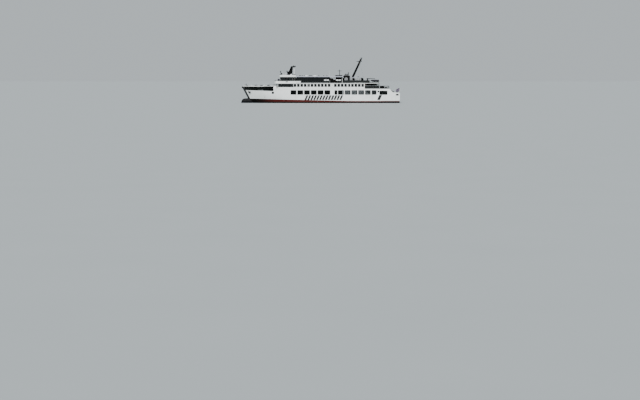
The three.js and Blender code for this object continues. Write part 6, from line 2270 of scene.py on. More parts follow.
def boat_deck_railing():
    shape = Shape("white")
    corners = [(-9.3, RAIL_OUT), (-25.8, RAIL_OUT), (-25.8, -RAIL_OUT), (-9.3, -RAIL_OUT)]
    rail(shape, [(x, y, BOAT_DECK) for x, y in corners], RAIL_BARS, 1.85, 0.028, "black")
    return shape


piece("boat_deck_railing", boat_deck_railing(), replaces=["boat_deck_rail"])


EAVE_POSTS = (-21.6, -23.7, -25.8)
EAVE_IN = 0.13


def eave_side(x):
    """How far out the pillars under the eave stand and the weather cloths hang."""
    return half_breadth(x, UPPER_DECK) - EAVE_IN


def upper_deck_railing():
    """The promenade's rail, and the pillars and beams that carry the boat deck over it."""
    shape = Shape("white")
    side = [(-19.45, RAIL_OUT), (-21.6, RAIL_OUT), (-23.7, 7.09), (-25.8, 7.05)]
    side += [(x, half_breadth(x, 6.6) - 0.1) for x in (-28.2, -30.3)]
    corners = side + [(x, -y) for x, y in side[::-1]]
    rail(shape, [(x, y, UPPER_DECK) for x, y in corners], RAIL_BARS, 1.9, 0.028, "black")
    pillars = Shape("black")
    x, y = side[-1]
    pillars.post(x, y, UPPER_DECK, UPPER_DECK + 1.13, 0.045, 8)
    for x in EAVE_POSTS:
        y = eave_side(x)
        pillars.post(x, y, UPPER_DECK, SALOON_HEAD, 0.07, 12)
        knee = [(x - 0.4, SALOON_HEAD), (x, SALOON_HEAD - 0.4), (x + 0.4, SALOON_HEAD)]
        pillars.prism(knee, *about(y, 0.02), "xz")
    for x in (-22.6, -25.6):
        pillars.post(x, 2.4, UPPER_DECK, SALOON_HEAD, 0.08, 12)
    shape.join(pillars.both_sides())
    for x in steps(-25.5, -19.8, 6):
        shape.box(about(x, 0.04), (-RAIL_OUT, RAIL_OUT), (8.66, 8.8))
    return shape


piece("upper_deck_railing", upper_deck_railing(), replaces=["upper_deck_rail"])


# Cloth: how a sheet is made, the dodgers laced inside the rails and the weather cloths
def cloth(name, rows, finish, slot, replaces=(), thick=0.006):
    """A thin sheet through rows of points."""
    shape = Shape(finish)
    count = len(rows[0])
    points = [p for row in rows for p in row]
    faces = []
    for r in range(len(rows) - 1):
        for k in range(count - 1):
            a = r * count + k
            faces.append((a, a + 1, a + count + 1, a + count))
    shape.add(points, faces)
    made = piece(name, shape, replaces=replaces, slot=slot, sharp=180)
    depth = made.modifiers.new("thickness", "SOLIDIFY")
    depth.thickness = thick * SCALE
    depth.offset = 0.0
    return made


DODGERS = [
    # name, aft, fore, foot, head, rail it is laced to, post pitch, CAD nodes it stands for
    ("boat_deck", -21.55, -9.45, 9.13, 10.17, "boat_deck_railing", 1.85, "side_screen"),
    ("promenade", -25.75, -19.65, 6.62, 7.66, "upper_deck_railing", 1.9, None),
]


CLOTH_IN = 0.07  # how far inside its rail a dodger hangs


def rail_side(deck, x):
    """How far out a rail stands on a deck."""
    return RAIL_OUT if deck == "boat_deck" else half_breadth(x, UPPER_DECK) - 0.1


def dodger(sign, side, deck, aft, fore, foot, head, railing, pitch, node):
    """Cloth laced inside a rail: a little belly between the posts and scalloped upper and lower edges."""
    rows = []
    count = round((fore - aft) * 9)
    for u in steps(0, 1, 8):
        row = []
        for x in steps(aft, fore, count):
            between = abs(math.sin((x - aft) / pitch * math.pi))
            edge = 0.035 * between * (2 * u - 1)
            belly = 0.02 * between * math.sin(u * math.pi) + 0.005 * math.sin(x * 5.1 + u * 4)
            y = rail_side(deck, x) - CLOTH_IN + belly
            row.append((x, sign * y, foot + (head - foot) * u - edge))
        rows.append(row)
    replaced = [f"{node}_{side}"] if node else []
    made = cloth(f"{deck}_dodger_{side}", rows, "screen", "dark_cover", replaced)
    ties = Shape("black")
    for x in steps(aft + 0.05, fore - 0.05, round((fore - aft) * 2)):
        y = rail_side(deck, x)
        for z, near in ((foot, foot - 0.05), (head, head + 0.05)):
            outside = (x + 0.03, sign * (y + 0.03), (z + near) / 2)
            ties.tube([(x, sign * (y - CLOTH_IN), z), outside, (x, sign * y, near)], 0.01, 5)
    piece(f"{deck}_dodger_ties_{side}", ties, slot="dark_cover")


for row in DODGERS:
    dodger(1, "port", *row)
    dodger(-1, "starboard", *row)


WEATHER_CLOTH = {"aft": -25.5, "fore": -19.85, "foot": 7.78, "head": 8.5, "roller": 8.58}


def weather_cloth():
    """The cloth let down from its roller on the starboard side, with folds that deepen downwards; painted
    shade, darkening the view through the promenade.
    """
    c = WEATHER_CLOTH
    rows = []
    for u in steps(0, 1, 8):
        row = []
        for x in steps(c["aft"], c["fore"], 60):
            fold = (0.01 + 0.035 * u) * math.sin(x * 4.3 + 0.6 * math.sin(x * 1.7))
            lift = 0.03 * u * abs(math.sin(x * 1.1))
            y = eave_side(x) + fold
            row.append((x, -y, c["head"] + (c["foot"] - c["head"]) * u + lift))
        rows.append(row)
    return rows


def cloth_rollers():
    """Rollers for weather cloths under the eave, each on brackets, with a rolled hem and cords."""
    shape = Shape("black")
    c = WEATHER_CLOTH
    shape.tube([(x, eave_side(x), c["roller"]) for x in (c["aft"], c["fore"])], 0.09, 12)
    for x in steps(c["aft"], c["fore"], 4):
        y = eave_side(x)
        shape.box(about(x, 0.03), about(y, 0.1), (8.5, SALOON_HEAD))
        shape.post(x + 0.1, y, 8.46, 8.3, 0.012, 5)
    return shape.both_sides()


piece("weather_cloth_rollers", cloth_rollers(), slot="dark_cover")
hung_rows = weather_cloth()
# painted shade: the hung cloth darkens the view through the promenade from port
hung = cloth("weather_cloth_shade_starboard", hung_rows, "canvas", "dark_cover")


# Rescue boat under its cover, cradle and davit
BOAT = {"aft": -25.6, "fore": -22.1, "y": 4.9, "half": 0.8}


FULLEST = 0.45  # share of the boat's length that its greatest width is at


def boat_section(share):
    """Half width, keel height and gunwale height of the rescue boat at a share of its length."""
    if share < FULLEST:
        wide = BOAT["half"] * (0.78 + 0.22 * math.sin(min(1.0, share / FULLEST) * math.pi / 2))
    else:
        wide = BOAT["half"] * (1 - ((share - FULLEST) / (1 - FULLEST)) ** 2.6) ** 0.8
    keel = 9.5 + 0.5 * max(0.0, (share - 0.6) / 0.4) ** 2
    gunwale = 10.1 + 0.1 * max(0.0, (share - 0.5) / 0.5) ** 2
    return max(wide, 0.06), keel, gunwale


def boat_x(share, inset):
    """Place along the boat, whose ends are moved inwards."""
    return BOAT["aft"] + inset + (BOAT["fore"] - BOAT["aft"] - 2 * inset) * share


def bilge(wide, keel, gunwale, a):
    """A point of the section, from the keel at no angle to the gunwale at a right angle."""
    return wide * 0.94 * math.sin(a) ** 0.8, keel + (gunwale - keel) * (1 - math.cos(a)) ** 0.8


def rescue_boat_hull():
    shape = Shape("black")
    rings, gunwale = [], []
    for share in steps(0, 1, 22):
        section = boat_section(share)
        x = boat_x(share, 0.06)
        side = [bilge(*section, a) for a in steps(0.0, math.pi / 2, 8)]
        ring = side + [(-y, z) for y, z in side[1:][::-1]]
        rings.append([(x, BOAT["y"] + y, z) for y, z in ring])
        gunwale.append((x, BOAT["y"] + section[0] * 0.95, section[2]))
    shape.loft(rings)
    far_side = [(x, 2 * BOAT["y"] - y, z) for x, y, z in gunwale[::-1]]
    shape.tube(gunwale + far_side, 0.05, 8, "black", closed=True)
    shape.box((-25.72, -25.45), (4.72, 5.08), (9.75, 10.5), "black")
    return shape


piece("rescue_boat_hull", rescue_boat_hull(), replaces=["rescue_boat"], slot="dark_cover")


COVER = {"ridge": 10.53, "over": 0.06, "turned": 0.9}  # turned: share of the half width where it hangs down


def cover_row(share):
    """The cover across the boat at a share of its length."""
    wide, _, gunwale = boat_section(share)
    ridge = COVER["ridge"] - 0.10 * (2 * share - 1) ** 2 - 0.04 * abs(math.sin(share * math.pi * 4))
    top = gunwale + COVER["over"]
    row = []
    for u in steps(-1, 1, 24):
        across = BOAT["y"] + (wide + 0.04) * math.copysign(min(1.0, abs(u) * 1.12) ** 0.9, u)
        over = max(0.0, 1 - abs(u) * 1.12)
        sag = 0.03 * math.sin(math.pi * over) * abs(math.sin(share * math.pi * 7))
        z = top + (ridge - top) * over**0.8 - sag
        if abs(u) > COVER["turned"]:
            z = top - (abs(u) - COVER["turned"]) * 2.2 - 0.04 * abs(math.sin(share * math.pi * 9))
        row.append((boat_x(share, 0.03), across, z))
    return row


# The cover lies over ridge line and gunwales, drawn tight with scalloped sags between its lashings
cover_rows = [cover_row(share) for share in steps(0.0, 1.0, 44)]
cover = cloth("boat_cover", cover_rows, "cover", "dark_cover")


def cover_lashings():
    """Short lines from the cover's edge down to the boat's side."""
    shape = Shape("rope")
    for share in steps(0.08, 0.92, 7):
        wide, _, gunwale = boat_section(share)
        x = boat_x(share, 0.0)
        drops = ((1, 0.02), (1, 0.14), (0.8, 0.26))
        under = [(x, BOAT["y"] + s * (wide + 0.05), gunwale - down) for s, down in drops]
        shape.tube(under, 0.012, 5)
        shape.tube([(x, 2 * BOAT["y"] - y, z) for x, y, z in under], 0.012, 5)
    return shape


piece("cover_lashings", cover_lashings(), slot="dark_cover")


CHOCK = [
    (-0.62, 9.1), (-0.62, 9.46), (-0.4, 9.36), (0.0, 9.3), (0.4, 9.36), (0.62, 9.46),
    (0.62, 9.1), (0.35, 9.1), (0.2, 9.2), (-0.2, 9.2), (-0.35, 9.1),
]
DAVIT = {"x": -20.7, "y": 4.9, "bolts": 0.43}
DAVIT_SEAT = [(0.5, 0.0), (0.5, 0.05), (0.36, 0.08), (0.34, 0.2), (0.32, 0.48), (0.38, 0.5), (0.38, 0.54)]


def boat_cradle():
    """Two chocks under the boat, the bearer between them and the davit's seat with its bolts."""
    shape = Shape("black")
    for x in (-24.9, -22.9):
        shape.prism([(BOAT["y"] + y, z) for y, z in CHOCK], *about(x, 0.08), "yz")
        shape.box(about(x, 0.1), about(BOAT["y"], 0.7), (BOAT_DECK, 9.14))
    shape.box((-25.0, -20.7), about(BOAT["y"], 0.08), (BOAT_DECK, 9.2))
    x, y, out = DAVIT["x"], DAVIT["y"], DAVIT["bolts"]
    shape.lathe(DAVIT_SEAT, (x, y, BOAT_DECK), "z", 24)
    for a in around(8):
        foot = (x + out * math.cos(a), y + out * math.sin(a), BOAT_DECK + 0.05)
        shape.lathe([(0.03, 0.0), (0.03, 0.03)], foot, "z", 6, "steel")
    return shape


piece("boat_chocks", boat_cradle(), replaces=["boat_cradle"], slot="grey_steel", bevel=0.01)


DAVIT_POST = [
    (0.36, 0.02), (0.38, 0.05), (0.38, 0.1), (0.26, 0.14),
    (0.24, 1.05), (0.28, 1.1), (0.28, 1.44), (0.2, 1.48),
]
JIB = [
    # x, half width, z from, z to
    (-20.2, 0.13, 10.82, 11.09),
    (-21.2, 0.13, 10.81, 11.09),
    (-23.2, 0.1, 10.88, 11.09),
    (-24.1, 0.08, 10.95, 11.08),
]
FALL_DRUM = [(0.24, -0.24), (0.24, -0.21), (0.16, -0.2), (0.16, 0.2), (0.24, 0.21), (0.24, 0.24)]
DRUM_AT = (-20.25, 10.28)
SHEAVE_X = -23.8
FALL = [(-20.25, 10.45), (-20.3, 11.16), (SHEAVE_X, 11.13), (-23.93, 11.0)]


def davit():
    """Post, jib with its brace, the fall's drum and wire, the sheave and the hook."""
    shape = Shape("black")
    x, y = DAVIT["x"], DAVIT["y"]
    shape.lathe(DAVIT_POST, (x, y, 9.65), "z", 24)
    rings = []
    for at, half, low, high in JIB:
        rings.append([(at, y - half, low), (at, y + half, low), (at, y + half, high), (at, y - half, high)])
    shape.loft(rings)
    shape.box((-20.85, -19.95), about(y, 0.2), (10.05, 10.12))
    drum_at = (DRUM_AT[0], y, DRUM_AT[1])
    shape.lathe(FALL_DRUM, drum_at, "y", 20, "steel")
    shape.lathe([(0.175, -0.19), (0.175, 0.19)], drum_at, "y", 20, "rope")
    shape.lathe([(0.13, -0.05), (0.13, 0.05)], (SHEAVE_X, y, 10.9), "y", 18, "steel")
    shape.tube([(a, y, c) for a, c in FALL], 0.012, 6, "steel")
    shape.post(SHEAVE_X, y, 10.86, 10.8, 0.03, 6, "steel")
    turns = steps(0, 1.5 * math.pi, 8)
    hook = [(SHEAVE_X + 0.06 * math.sin(a), y, 10.73 + 0.06 * math.cos(a)) for a in turns]
    shape.tube(hook, 0.02, 6, "steel")
    shape.tube([(x, y, 10.6), (-21.9, y, 10.9)], 0.05, 8)
    return shape


piece("davit_crane", davit(), "davit", ["davit_arm"], slot="grey_steel", sharp=40)


# Mooring gear
ROPE = {"core": 0.66, "half": 0.033, "rise": 0.035, "pitch": 0.07}


def drum(shape, x, y, z, radius, half):
    """A rope drum across the ship with flanges and its turns of mooring line."""
    core = 0.6 * radius
    flanges = [(radius, -half), (radius, -half + 0.05), (core, -half + 0.06)]
    flanges += [(core, half - 0.06), (radius, half - 0.05), (radius, half)]
    shape.lathe(flanges, (x, y, z), "y", 24, "steel")
    turns = []
    low = ROPE["core"] * radius
    count = max(4, int((2 * half - 0.16) / ROPE["pitch"]))
    for at in even(0.1 - half, half - 0.1, count):
        turns += [(low, at - ROPE["half"]), (low + ROPE["rise"], at), (low, at + ROPE["half"])]
    shape.lathe(turns, (x, y, z), "y", 24, "rope")


WINDLASS = {"x": 27.6, "z": 5.15}
GYPSY = [(0.3, -0.15), (0.46, -0.12), (0.34, 0.0), (0.46, 0.12), (0.3, 0.15)]
WINDLASS_FRAME = [(27.2, 4.6), (28.0, 4.6), (27.75, 5.35), (27.45, 5.35)]
WINCH = {"x": -29.4, "z": 7.1}
WARPING_END = [(0.16, -0.2), (0.26, -0.18), (0.17, 0.0), (0.26, 0.18), (0.16, 0.2)]
WINCH_FRAME = [(-29.7, 6.7), (-29.1, 6.7), (-29.28, 7.25), (-29.52, 7.25)]


def windlass():
    """Bed, shaft, two rope drums, two gypsies for the anchors' chains, frames and motor."""
    shape = Shape("grey")
    x, z = WINDLASS["x"], WINDLASS["z"]
    shape.box((26.6, 28.6), (-1.9, 1.9), (MOORING_DECK, MOORING_DECK + 0.15))
    shape.tube([(x, -1.85, z), (x, 1.85, z)], 0.09, 12, "steel")
    for y in (-0.75, 0.75):
        drum(shape, x, y, z, 0.46, 0.38)
    for y in (-1.6, 1.6):
        shape.lathe(GYPSY, (x, y, z), "y", 16, "steel")
        shape.prism(WINDLASS_FRAME, *about(y * 0.78, 0.05), "xz")
    shape.box((27.9, 28.5), (-0.3, 0.3), (4.64, 5.2))
    return shape


piece("windlass_gear", windlass(), replaces=["windlass"], slot="grey_steel", bevel=0.01)


def winch():
    """Bed, rope drum, two warping ends, frames and shaft."""
    shape = Shape("black")
    x, z = WINCH["x"], WINCH["z"]
    shape.box(about(x, 0.5), (-1.6, 1.6), (UPPER_DECK, 6.73))
    drum(shape, x, 0.0, z, 0.34, 0.8)
    for y in (-1.3, 1.3):
        shape.lathe(WARPING_END, (x, y, z), "y", 16, "steel")
    for y in (-1.0, 1.0):
        shape.prism(WINCH_FRAME, *about(y, 0.05), "xz")
    shape.tube([(x, -1.5, z), (x, 1.5, z)], 0.07, 12, "steel")
    return shape


piece("mooring_winch_gear", winch(), replaces=["mooring_winch"], slot="grey_steel", bevel=0.01)


def locker():
    """A chest with its lid, two clasps and two hinges."""
    shape = Shape("black")
    (x0, x1), (y0, y1), (z0, z1) = span("deck_locker")
    shape.prism(rounded(x0 + 0.03, x1 - 0.03, y0 + 0.03, y1 - 0.03, 0.06, 2), z0, z1 - 0.1)
    shape.prism(rounded(x0, x1, y0, y1, 0.08, 2), z1 - 0.14, z1)
    for x in (x0 + 0.5, x1 - 0.5):
        shape.box(about(x, 0.06), (y1 - 0.01, y1 + 0.02), (z1 - 0.3, z1 - 0.06), "steel")
        shape.tube([(x - 0.2, y0 - 0.02, z1 - 0.1), (x + 0.2, y0 - 0.02, z1 - 0.1)], 0.03, 6, "steel")
    return shape


piece("deck_locker_chest", locker(), replaces=["deck_locker"], slot="black_paint")


BOLLARDS = (
    (29.6, 1.6, FORECASTLE_DECK), (24.0, 4.6, FORECASTLE_DECK), (-28.9, 5.6, UPPER_DECK),
    (-32.6, 4.7, CAR_DECK), (22.6, 4.9, MOORING_DECK),
)
BOLLARD_POST = [(0.14, 0.0), (0.14, 0.42), (0.18, 0.45), (0.18, 0.52), (0.14, 0.55), (0.0, 0.56)]
POST_APART = 0.32  # half of it
FORE_VENT = [(0.12, 0.0), (0.12, 0.3), (0.28, 0.32), (0.28, 0.4), (0.14, 0.5), (0.0, 0.52)]
AFT_FAIRLEAD = [(0.2, 0.0), (0.14, 0.1), (0.11, 0.3), (0.16, 0.5), (0.2, 0.56), (0.0, 0.58)]
QUARTER_SEAT = [(-31.1, 5.5), (-31.9, 4.95), (-32.6, 4.7), (-32.6, 4.98), (-31.9, 5.3), (-31.1, 5.75)]
QUARTER_ROLLERS = ((-31.4, 5.5), (-31.85, 5.27), (-32.3, 5.07))
QUARTER_ROLLER = [(0.0, -0.16), (0.19, -0.16), (0.15, 0.0), (0.19, 0.16), (0.0, 0.16)]
STEM_LAMP = [(0.0, 0.0), (0.13, 0.02), (0.15, 0.14), (0.1, 0.26), (0.0, 0.28)]
STEM_ROLLER = [(0.12, 0.0), (0.09, 0.06), (0.09, 0.26), (0.12, 0.32), (0.0, 0.34)]


def bollard(x, y, z):
    """A pair of posts on a plate, one ahead of the other."""
    shape = Shape("black")
    shape.box(about(x, POST_APART + 0.2), about(y, 0.2), (z, z + 0.06))
    for at in about(x, POST_APART):
        shape.lathe(BOLLARD_POST, (at, y, z + 0.05), "z", 16)
    return shape


def deck_fittings():
    """Bollards, fairleads, a hatch and ventilator heads on the forecastle and the after deck."""
    side, deck = Shape("black"), FORECASTLE_DECK
    for place in BOLLARDS:
        side.join(bollard(*place))
    for x, y in ((31.6, 0.9), (25.8, 2.6)):
        side.lathe(FORE_VENT, (x, y, deck), "z", 14, "white")
    for x in (-31.2, -32.4):
        side.lathe(AFT_FAIRLEAD, (x, 6.1, 4.7), "z", 14, "steel")
    y = half_breadth(-31.8, UPPER_DECK)
    side.prism(QUARTER_SEAT, y - 0.4, y - 0.02, "xz")
    for x, z in QUARTER_ROLLERS:
        side.lathe(QUARTER_ROLLER, (x, y - 0.2, z + 0.06), "y", 16)
    shape = side.both_sides()
    shape.prism(rounded(26.6, 27.8, -0.6, 0.6, 0.1, 3), deck, deck + 0.42)
    shape.prism(rounded(26.55, 27.85, -0.65, 0.65, 0.12, 3), deck + 0.42, deck + 0.5)
    return shape.join(stem_gear())


def stem_gear():
    """The jackstaff with its lamp and stays, and a roller fairlead on each side of the stem."""
    shape = Shape("black")
    deck = FORECASTLE_DECK
    shape.post(34.0, 0, deck, deck + 1.2, [0.1, 0.06], 10)
    shape.tube([(34.0, -0.3, deck + 0.85), (34.0, 0.3, deck + 0.85)], 0.04, 6)
    shape.lathe(STEM_LAMP, (34.22, 0, deck + 0.5), "z", 14)
    shape.box((33.95, 34.3), (-0.05, 0.05), (deck + 0.45, deck + 0.51))
    side = Shape("black")
    side.tube([(34.0, 0, deck + 0.75), (33.2, 0.5, deck)], 0.03, 6)
    side.box((33.3, 34.2), (0.28, 0.62), (deck - 0.02, deck + 0.08))
    for x in (33.5, 34.0):
        side.lathe(STEM_ROLLER, (x, 0.45, deck + 0.08), "z", 14)
    return shape.join(side.both_sides())


piece("deck_fittings", deck_fittings(), slot="black_paint")


BENCHES = [(x, y, UPPER_DECK) for x in (-21.4, -22.9, -24.6) for y in (-1.2, 1.2)]
BENCHES += [(-5.2, y, BOAT_DECK) for y in (-3.4, -1.2, 1.2, 3.4)]
BENCHES += [(-7.4, y, BOAT_DECK) for y in (-2.4, 0.0, 2.4)]


def benches():
    """Slatted benches on the promenade and under the after roof."""
    shape = Shape("wood")
    for x, y, z in BENCHES:
        width = about(y, 0.95)
        for k in range(4):
            shape.box((x - 0.2 + 0.11 * k, x - 0.12 + 0.11 * k), width, (z + 0.42, z + 0.45))
        for k in range(3):
            back, low = x - 0.28 - 0.03 * k, z + 0.52 + 0.13 * k
            shape.box((back, back + 0.03), width, (low, low + 0.09))
        for leg in about(y, 0.8):
            frame = [(x + 0.18, z), (x + 0.18, z + 0.41), (x - 0.22, z + 0.41), (x - 0.33, z + 0.88)]
            shape.tube([(a, leg, c) for a, c in frame], 0.025, 6, "grey")
            shape.tube([(x - 0.2, leg, z), (x - 0.22, leg, z + 0.41)], 0.025, 6, "grey")
    return shape


piece("benches", benches(), slot="grey_steel")


def lifebuoy(x, y, z):
    """A ring that faces aft: four bands and a grab line round it."""
    shape = Shape("orange")

    def ring_point(radius, a, out=0.0):
        return (x - out, y + radius * math.cos(a), z + radius * math.sin(a))

    shape.tube([ring_point(0.3, a) for a in around(28)], 0.065, 10, closed=True)
    for k in range(4):
        middle = (k + 0.5) * math.pi / 2
        shape.tube([ring_point(0.3, a) for a in steps(middle - 0.17, middle + 0.17, 3)], 0.07, 10, "canister")
    line = [ring_point(0.38 - 0.016 * abs(math.sin(2 * a)), a, 0.02) for a in around(28)]
    shape.tube(line, 0.01, 5, "rope", closed=True)
    return shape


def lifebuoys():
    shape = Shape("orange")
    for y, z in ((6.5, 8.3), (3.4, 8.3)):
        shape.join(lifebuoy(SALOON["aft"] - 0.09, y, z))
    return shape.both_sides()


piece("lifebuoys", lifebuoys())


FLOOD_LIGHTS = ((-9.9, 6.9, 11.5), (11.2, 7.0, 11.5), (-19.2, 7.0, 8.62), (-25.6, 6.9, 8.6))


def flood_lights():
    shape = Shape("grey")
    for x, y, z in FLOOD_LIGHTS:
        shape.box(about(x, 0.12), (y - 0.1, y + 0.06), (z - 0.18, z - 0.04), "grey")
        shape.box(about(x, 0.1), (y + 0.06, y + 0.075), (z - 0.16, z - 0.06), "canister")
        shape.post(x, y - 0.02, z + 0.08, z - 0.05, 0.02, 6, "grey")
    return shape.both_sides()


piece("flood_lights", flood_lights())


LADDERS = [
    # foot in x and z, head in x and z, y
    ((-4.6, 9.1), (-4.4, 12.3), 0.0),
    ((-27.9, 6.6), (-26.1, 9.1), -4.0),
    ((11.3, 9.1), (11.3, 12.5), 6.2),
]


def outside_ladders():
    """Ladders from the boat deck to the roofs and from the after deck to the boat deck."""
    shape = Shape("grey")
    for (x0, z0), (x1, z1), middle in LADDERS:
        count = int(math.hypot(x1 - x0, z1 - z0) / 0.28)
        sides = about(middle, 0.22)
        for y in sides:
            shape.tube([(x0, y, z0), (x1, y, z1)], 0.03, 6)
        for x, z in list(zip(steps(x0, x1, count), steps(z0, z1, count)))[1:-1]:
            shape.tube([(x, y, z) for y in sides], 0.018, 5)
    return shape


piece("ladders", outside_ladders(), slot="grey_steel")


def stairs():
    """Treads and rails on the stair trunks inside the garage."""
    shape = Shape("white")
    for y in (5.66, 6.74):
        shape.tube([(-22.3, y, 6.3), (-25.0, y, CAR_DECK + 0.9)], 0.03, 6)
    for x, z in zip(even(-22.6, -24.6, 15), even(6.3, CAR_DECK, 15)):
        shape.box((x - 0.16, x + 0.02), (5.62, 6.78), about(z, 0.02))
    return shape.both_sides()


piece("stair_treads", stairs())


# Ensign and staff
ENSIGN_Y = 4.6
STAFF_HEAD = (-35.345, ENSIGN_Y)
STAFF_CAP = [(0.0, 0.0), (0.045, 0.01), (0.045, 0.03), (0.0, 0.05)]
HALYARD = [(-35.24, 6.82), (-35.2, 6.3), (-35.06, 5.36), (-34.96, 4.6)]


def ensign_rows():
    """Staff edge first; the fly droops forward and down, with folds that deepen away from the staff."""
    upper = [(-35.2, 6.8), (-34.3, 6.53), (-33.43, 5.9)]
    lower = [(-34.98, 5.38), (-34.2, 4.98), (-33.48, 4.88)]
    rows = []
    for u in steps(0, 1, 26):
        k = 0 if u < 0.5 else 1
        t = 2 * u - k
        top, bottom = (Vector(edge[k]).lerp(Vector(edge[k + 1]), t) for edge in (upper, lower))
        row = []
        for v in steps(0, 1, 16):
            x, z = bottom.lerp(top, v)
            y = ENSIGN_Y + 0.09 * math.sin(u * 11.0 + v * 1.6) * min(1.0, 0.15 + u)
            row.append((x, y, z))
        rows.append(row)
    return rows


flag_rows = ensign_rows()
flag = cloth("ensign_flag", flag_rows, "ensign", "ensign_cloth", ["ensign"], thick=0.004)


def ensign_pole():
    """The raked staff with its cap, foot and halyard."""
    shape = Shape("white")
    shape.tube([(-34.95, ENSIGN_Y, 4.27), (*STAFF_HEAD, 6.9)], [0.05, 0.035], 10)
    shape.lathe(STAFF_CAP, (*STAFF_HEAD, 6.89), "z", 10, "wood")
    shape.box((-35.06, -34.85), about(ENSIGN_Y, 0.1), (4.25, 4.4), "steel")
    shape.tube([(x, ENSIGN_Y, z) for x, z in HALYARD], 0.012, 5, "rope")
    return shape


piece("ensign_pole", ensign_pole(), replaces=["ensign_staff"])


# Stern ramp and its folding flap
RAMP_WIDTH = (-2.75, 2.75)
RAMP_HINGE = (-35.02, 2.42)
RAMP_RINGS = {"x": -35.12, "z": 3.95, "radius": 0.09}


def across_ramp(x, z, y=RAMP_WIDTH):
    """The two ends of a bar across the ramp."""
    return [(x, y[0], z), (x, y[1], z)]


def ramp():
    """The raised panel: plate, frames on its outer face, hinge barrels and two lifting rings."""
    shape = Shape("grey")
    shape.box((-35.04, -34.94), RAMP_WIDTH, (2.34, 4.2))
    for y in steps(-2.72, 2.72, 9):
        shape.box((-35.1, -35.03), about(y, 0.03), (2.5, 4.18))
    for z in (2.52, 3.3, 4.14):
        shape.box((-35.1, -35.03), RAMP_WIDTH, about(z, 0.04))
    shape.tube(across_ramp(*RAMP_HINGE), 0.075, 14, "steel")
    for y in steps(-2.3, 2.3, 8):
        shape.tube(across_ramp(*RAMP_HINGE, about(y, 0.12)), 0.08, 14, "grey")
    x, z, radius = RAMP_RINGS["x"], RAMP_RINGS["z"], RAMP_RINGS["radius"]
    for y in (-2.6, 2.6):
        ring = [(x, y + radius * math.cos(a), z + radius * math.sin(a)) for a in around(12)]
        shape.tube(ring, 0.025, 6, "steel", closed=True)
    return shape


piece("ramp_plate", ramp(), "stern_ramp", ["ramp_panel"], slot="grey_steel", bevel=0.006)


def flap():
    """The flap folded down inside the ramp: plate, treads, stiffeners, hinge barrel and its two arms."""
    shape = Shape("grey")
    shape.box((-34.88, -34.8), RAMP_WIDTH, (2.4, 4.18))
    for z in steps(2.5, 3.9, 9):
        shape.box((-34.8, -34.775), (-2.7, 2.7), about(z, 0.02), "steel")
    for y in steps(-2.7, 2.7, 6):
        shape.box((-34.8, -34.72), about(y, 0.03), (2.42, 4.16))
    shape.tube(across_ramp(-34.91, 4.29), 0.07, 14, "steel")
    for y in (-2.1, 2.1):
        shape.box((-34.9, -34.8), about(y, 0.1), (4.0, 4.32))
    return shape


piece("flap_plate", flap(), "stern_flap", ["ramp_flap"], slot="grey_steel", bevel=0.006)


# Screws and rudders
BLADE = {"root": 0.2, "tip": 0.98, "count": 4}
SCREW_X = -30.1


def blade_ring(radius):
    """One blade section: chord, thickness and pitch from the radius, wrapped round the shaft's axis."""
    share = max(0.0, (radius - BLADE["root"]) / (BLADE["tip"] - BLADE["root"]))
    chord = 0.36 + 0.62 * share**0.9 * max(0.0, 1 - share**3) ** 0.5 - 0.16 * share**4
    thick = 0.09 * (1 - share) ** 1.2 + 0.018
    angle = math.radians(62 - 36 * share**0.72)
    skew = -0.05 * share + 0.16 * share**2.4
    ring = []
    for s, t in foil_outline(12):
        c, d = (s - 0.5) * chord + skew, t / FOIL_HALF * thick / 2
        x = -(c * math.sin(angle) + d * math.cos(angle))
        round_by = (c * math.cos(angle) - d * math.sin(angle)) / radius
        ring.append((x, radius * math.sin(round_by), radius * math.cos(round_by)))
    return ring


BOSS = [
    (0.0, -0.33), (0.08, -0.32), (0.15, -0.26), (0.2, -0.18),
    (0.25, -0.05), (0.27, 0.12), (0.26, 0.3), (0.22, 0.33),
]


def screw():
    """The port propeller with its boss and shaft."""
    shape = Shape("bronze")
    one = Shape("bronze")
    one.loft([blade_ring(r) for r in steps(BLADE["root"] - 0.03, BLADE["tip"], 16)])
    for k in range(BLADE["count"]):
        shape.join(one.turned(360 * k / BLADE["count"], "X"))
    shape.lathe(BOSS, (0, 0, 0), "x", 28)
    shape = shape.moved(SCREW_X, SHAFT["y"], SHAFT["z"])
    shape.lathe([(0.16, SCREW_X + 0.3), (0.16, -22.9)], (0, SHAFT["y"], SHAFT["z"]), "x", 20, "steel")
    return shape


pair("screw_*", screw(), ["propeller_*"], body="*_propeller", slot="bronze", sharp=45)

RUDDER = {"chord": 1.87, "fore": 0.62, "half": 0.16}  # fore: how far the leading edge is ahead of the stock
RUDDER_LEVELS = (  # z, share of the full thickness
    (-2.65, 0.55), (-2.62, 0.85), (-2.55, 0.97), (-2.45, 1.0), (-0.84, 1.0), (-0.7, 0.97), (-0.64, 0.8),
)
STOCK_BOSS = [(0.2, -0.72), (0.19, -0.62), (0.14, -0.56), (0.14, -0.12)]


def rudder_ring(z, share):
    """The rudder's section at a height, its thickness a share of the full one."""
    ring = []
    for s, t in foil_outline(14):
        along = 0.5 + (s - 0.5) * (0.94 + 0.06 * share)
        x = RUDDER_STOCK + RUDDER["fore"] - RUDDER["chord"] * along
        ring.append((x, SHAFT["y"] + t / FOIL_HALF * RUDDER["half"] * share, z))
    return ring


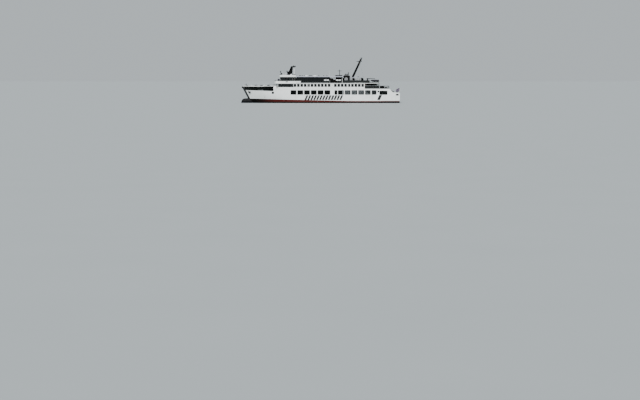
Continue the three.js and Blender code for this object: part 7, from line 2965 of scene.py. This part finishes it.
def rudder_blade():
    """The port rudder with its stock, seams and hinge plates."""
    shape = Shape("antifouling")
    shape.loft([rudder_ring(z, share) for z, share in RUDDER_LEVELS])
    y = SHAFT["y"]
    shape.lathe(STOCK_BOSS, (RUDDER_STOCK, y, 0), "z", 20, "steel")
    for z in (-1.1, -1.7, -2.3):
        shape.box((-33.2, -31.9), about(y, 0.135), about(z, 0.01))
    for z in (-1.0, -2.0):
        for sign in (-1, 1):
            shape.box((-32.4, -32.1), sorted((y + sign * 0.15, y + sign * 0.175)), about(z, 0.07), "steel")
    return shape


pair("rudder_blade_*", rudder_blade(), ["rudder_*"], body="*_rudder", slot="red_antifouling", sharp=45)


# Stage, light and camera
PHOTO = {"width": 640, "height": 400, "horizon": 80.75, "waterline": 103.0, "amidships": 321.5}
PIXEL = 0.45  # metres
LENS = 85.0
SENSOR = 36.0
NEAR_SIDE = 1.8  # model metres from the centreline to the plane that the photo scale is taken in
FLOOR_REACH = 12000.0
FLOOR_TONES = ((0.27, 0.297, 0.306), (0.287, 0.313, 0.322))
SKY = {"colour": (0.80, 0.88, 0.92, 1.0), "strength": 0.65}
SUN = {"energy": 6.0, "degrees": 15, "towards": (0.25, 0.75, 0.8)}


def stage():
    """A pale floor under the ship."""
    floor = bpy.data.meshes.new("floor")
    r = FLOOR_REACH
    floor.from_pydata([(-r, -r, 0), (r, -r, 0), (r, r, 0), (-r, r, 0)], [], [(0, 1, 2, 3)])
    ground = bpy.data.objects.new("floor", floor)
    bpy.context.scene.collection.objects.link(ground)
    pale = Finish("floor_pale", roughness=0.7)
    floor.materials.append(pale.done(pale.mix(pale.noise(4.0), *FLOOR_TONES)))


def lights():
    """An even sky and one soft sun from the port side."""
    world = bpy.data.worlds.new("studio")
    bpy.context.scene.world = world
    world.use_nodes = True
    background = world.node_tree.nodes["Background"]
    background.inputs["Color"].default_value = SKY["colour"]
    background.inputs["Strength"].default_value = SKY["strength"]
    sun = bpy.data.lights.new("key", "SUN")
    sun.energy = SUN["energy"]
    sun.angle = math.radians(SUN["degrees"])
    lamp = bpy.data.objects.new("key", sun)
    bpy.context.scene.collection.objects.link(lamp)
    lamp.rotation_euler = Vector(SUN["towards"]).to_track_quat("Z", "Y").to_euler()


def camera():
    """The photo's view: its horizon, waterline and scale give the camera's tilt, height and distance."""
    lens = bpy.data.cameras.new("camera")
    lens.lens = LENS
    lens.sensor_width = SENSOR
    lens.clip_end = 2.5 * FLOOR_REACH
    pixels = LENS / SENSOR * PHOTO["width"]
    pitch = math.atan((PHOTO["height"] / 2 - PHOTO["horizon"]) / pixels)
    drop = pitch - math.atan((PHOTO["height"] / 2 - PHOTO["waterline"]) / pixels)
    away = pixels * PIXEL * SCALE / math.cos(pitch)
    eye = bpy.data.objects.new("camera", lens)
    bpy.context.scene.collection.objects.link(eye)
    centre_x = (PHOTO["amidships"] - PHOTO["width"] / 2) * PIXEL * SCALE
    eye.location = (centre_x, NEAR_SIDE + away, away * math.tan(drop))
    eye.rotation_euler = (math.pi / 2 - pitch, 0, math.pi)
    bpy.context.scene.camera = eye


stage()
lights()
camera()
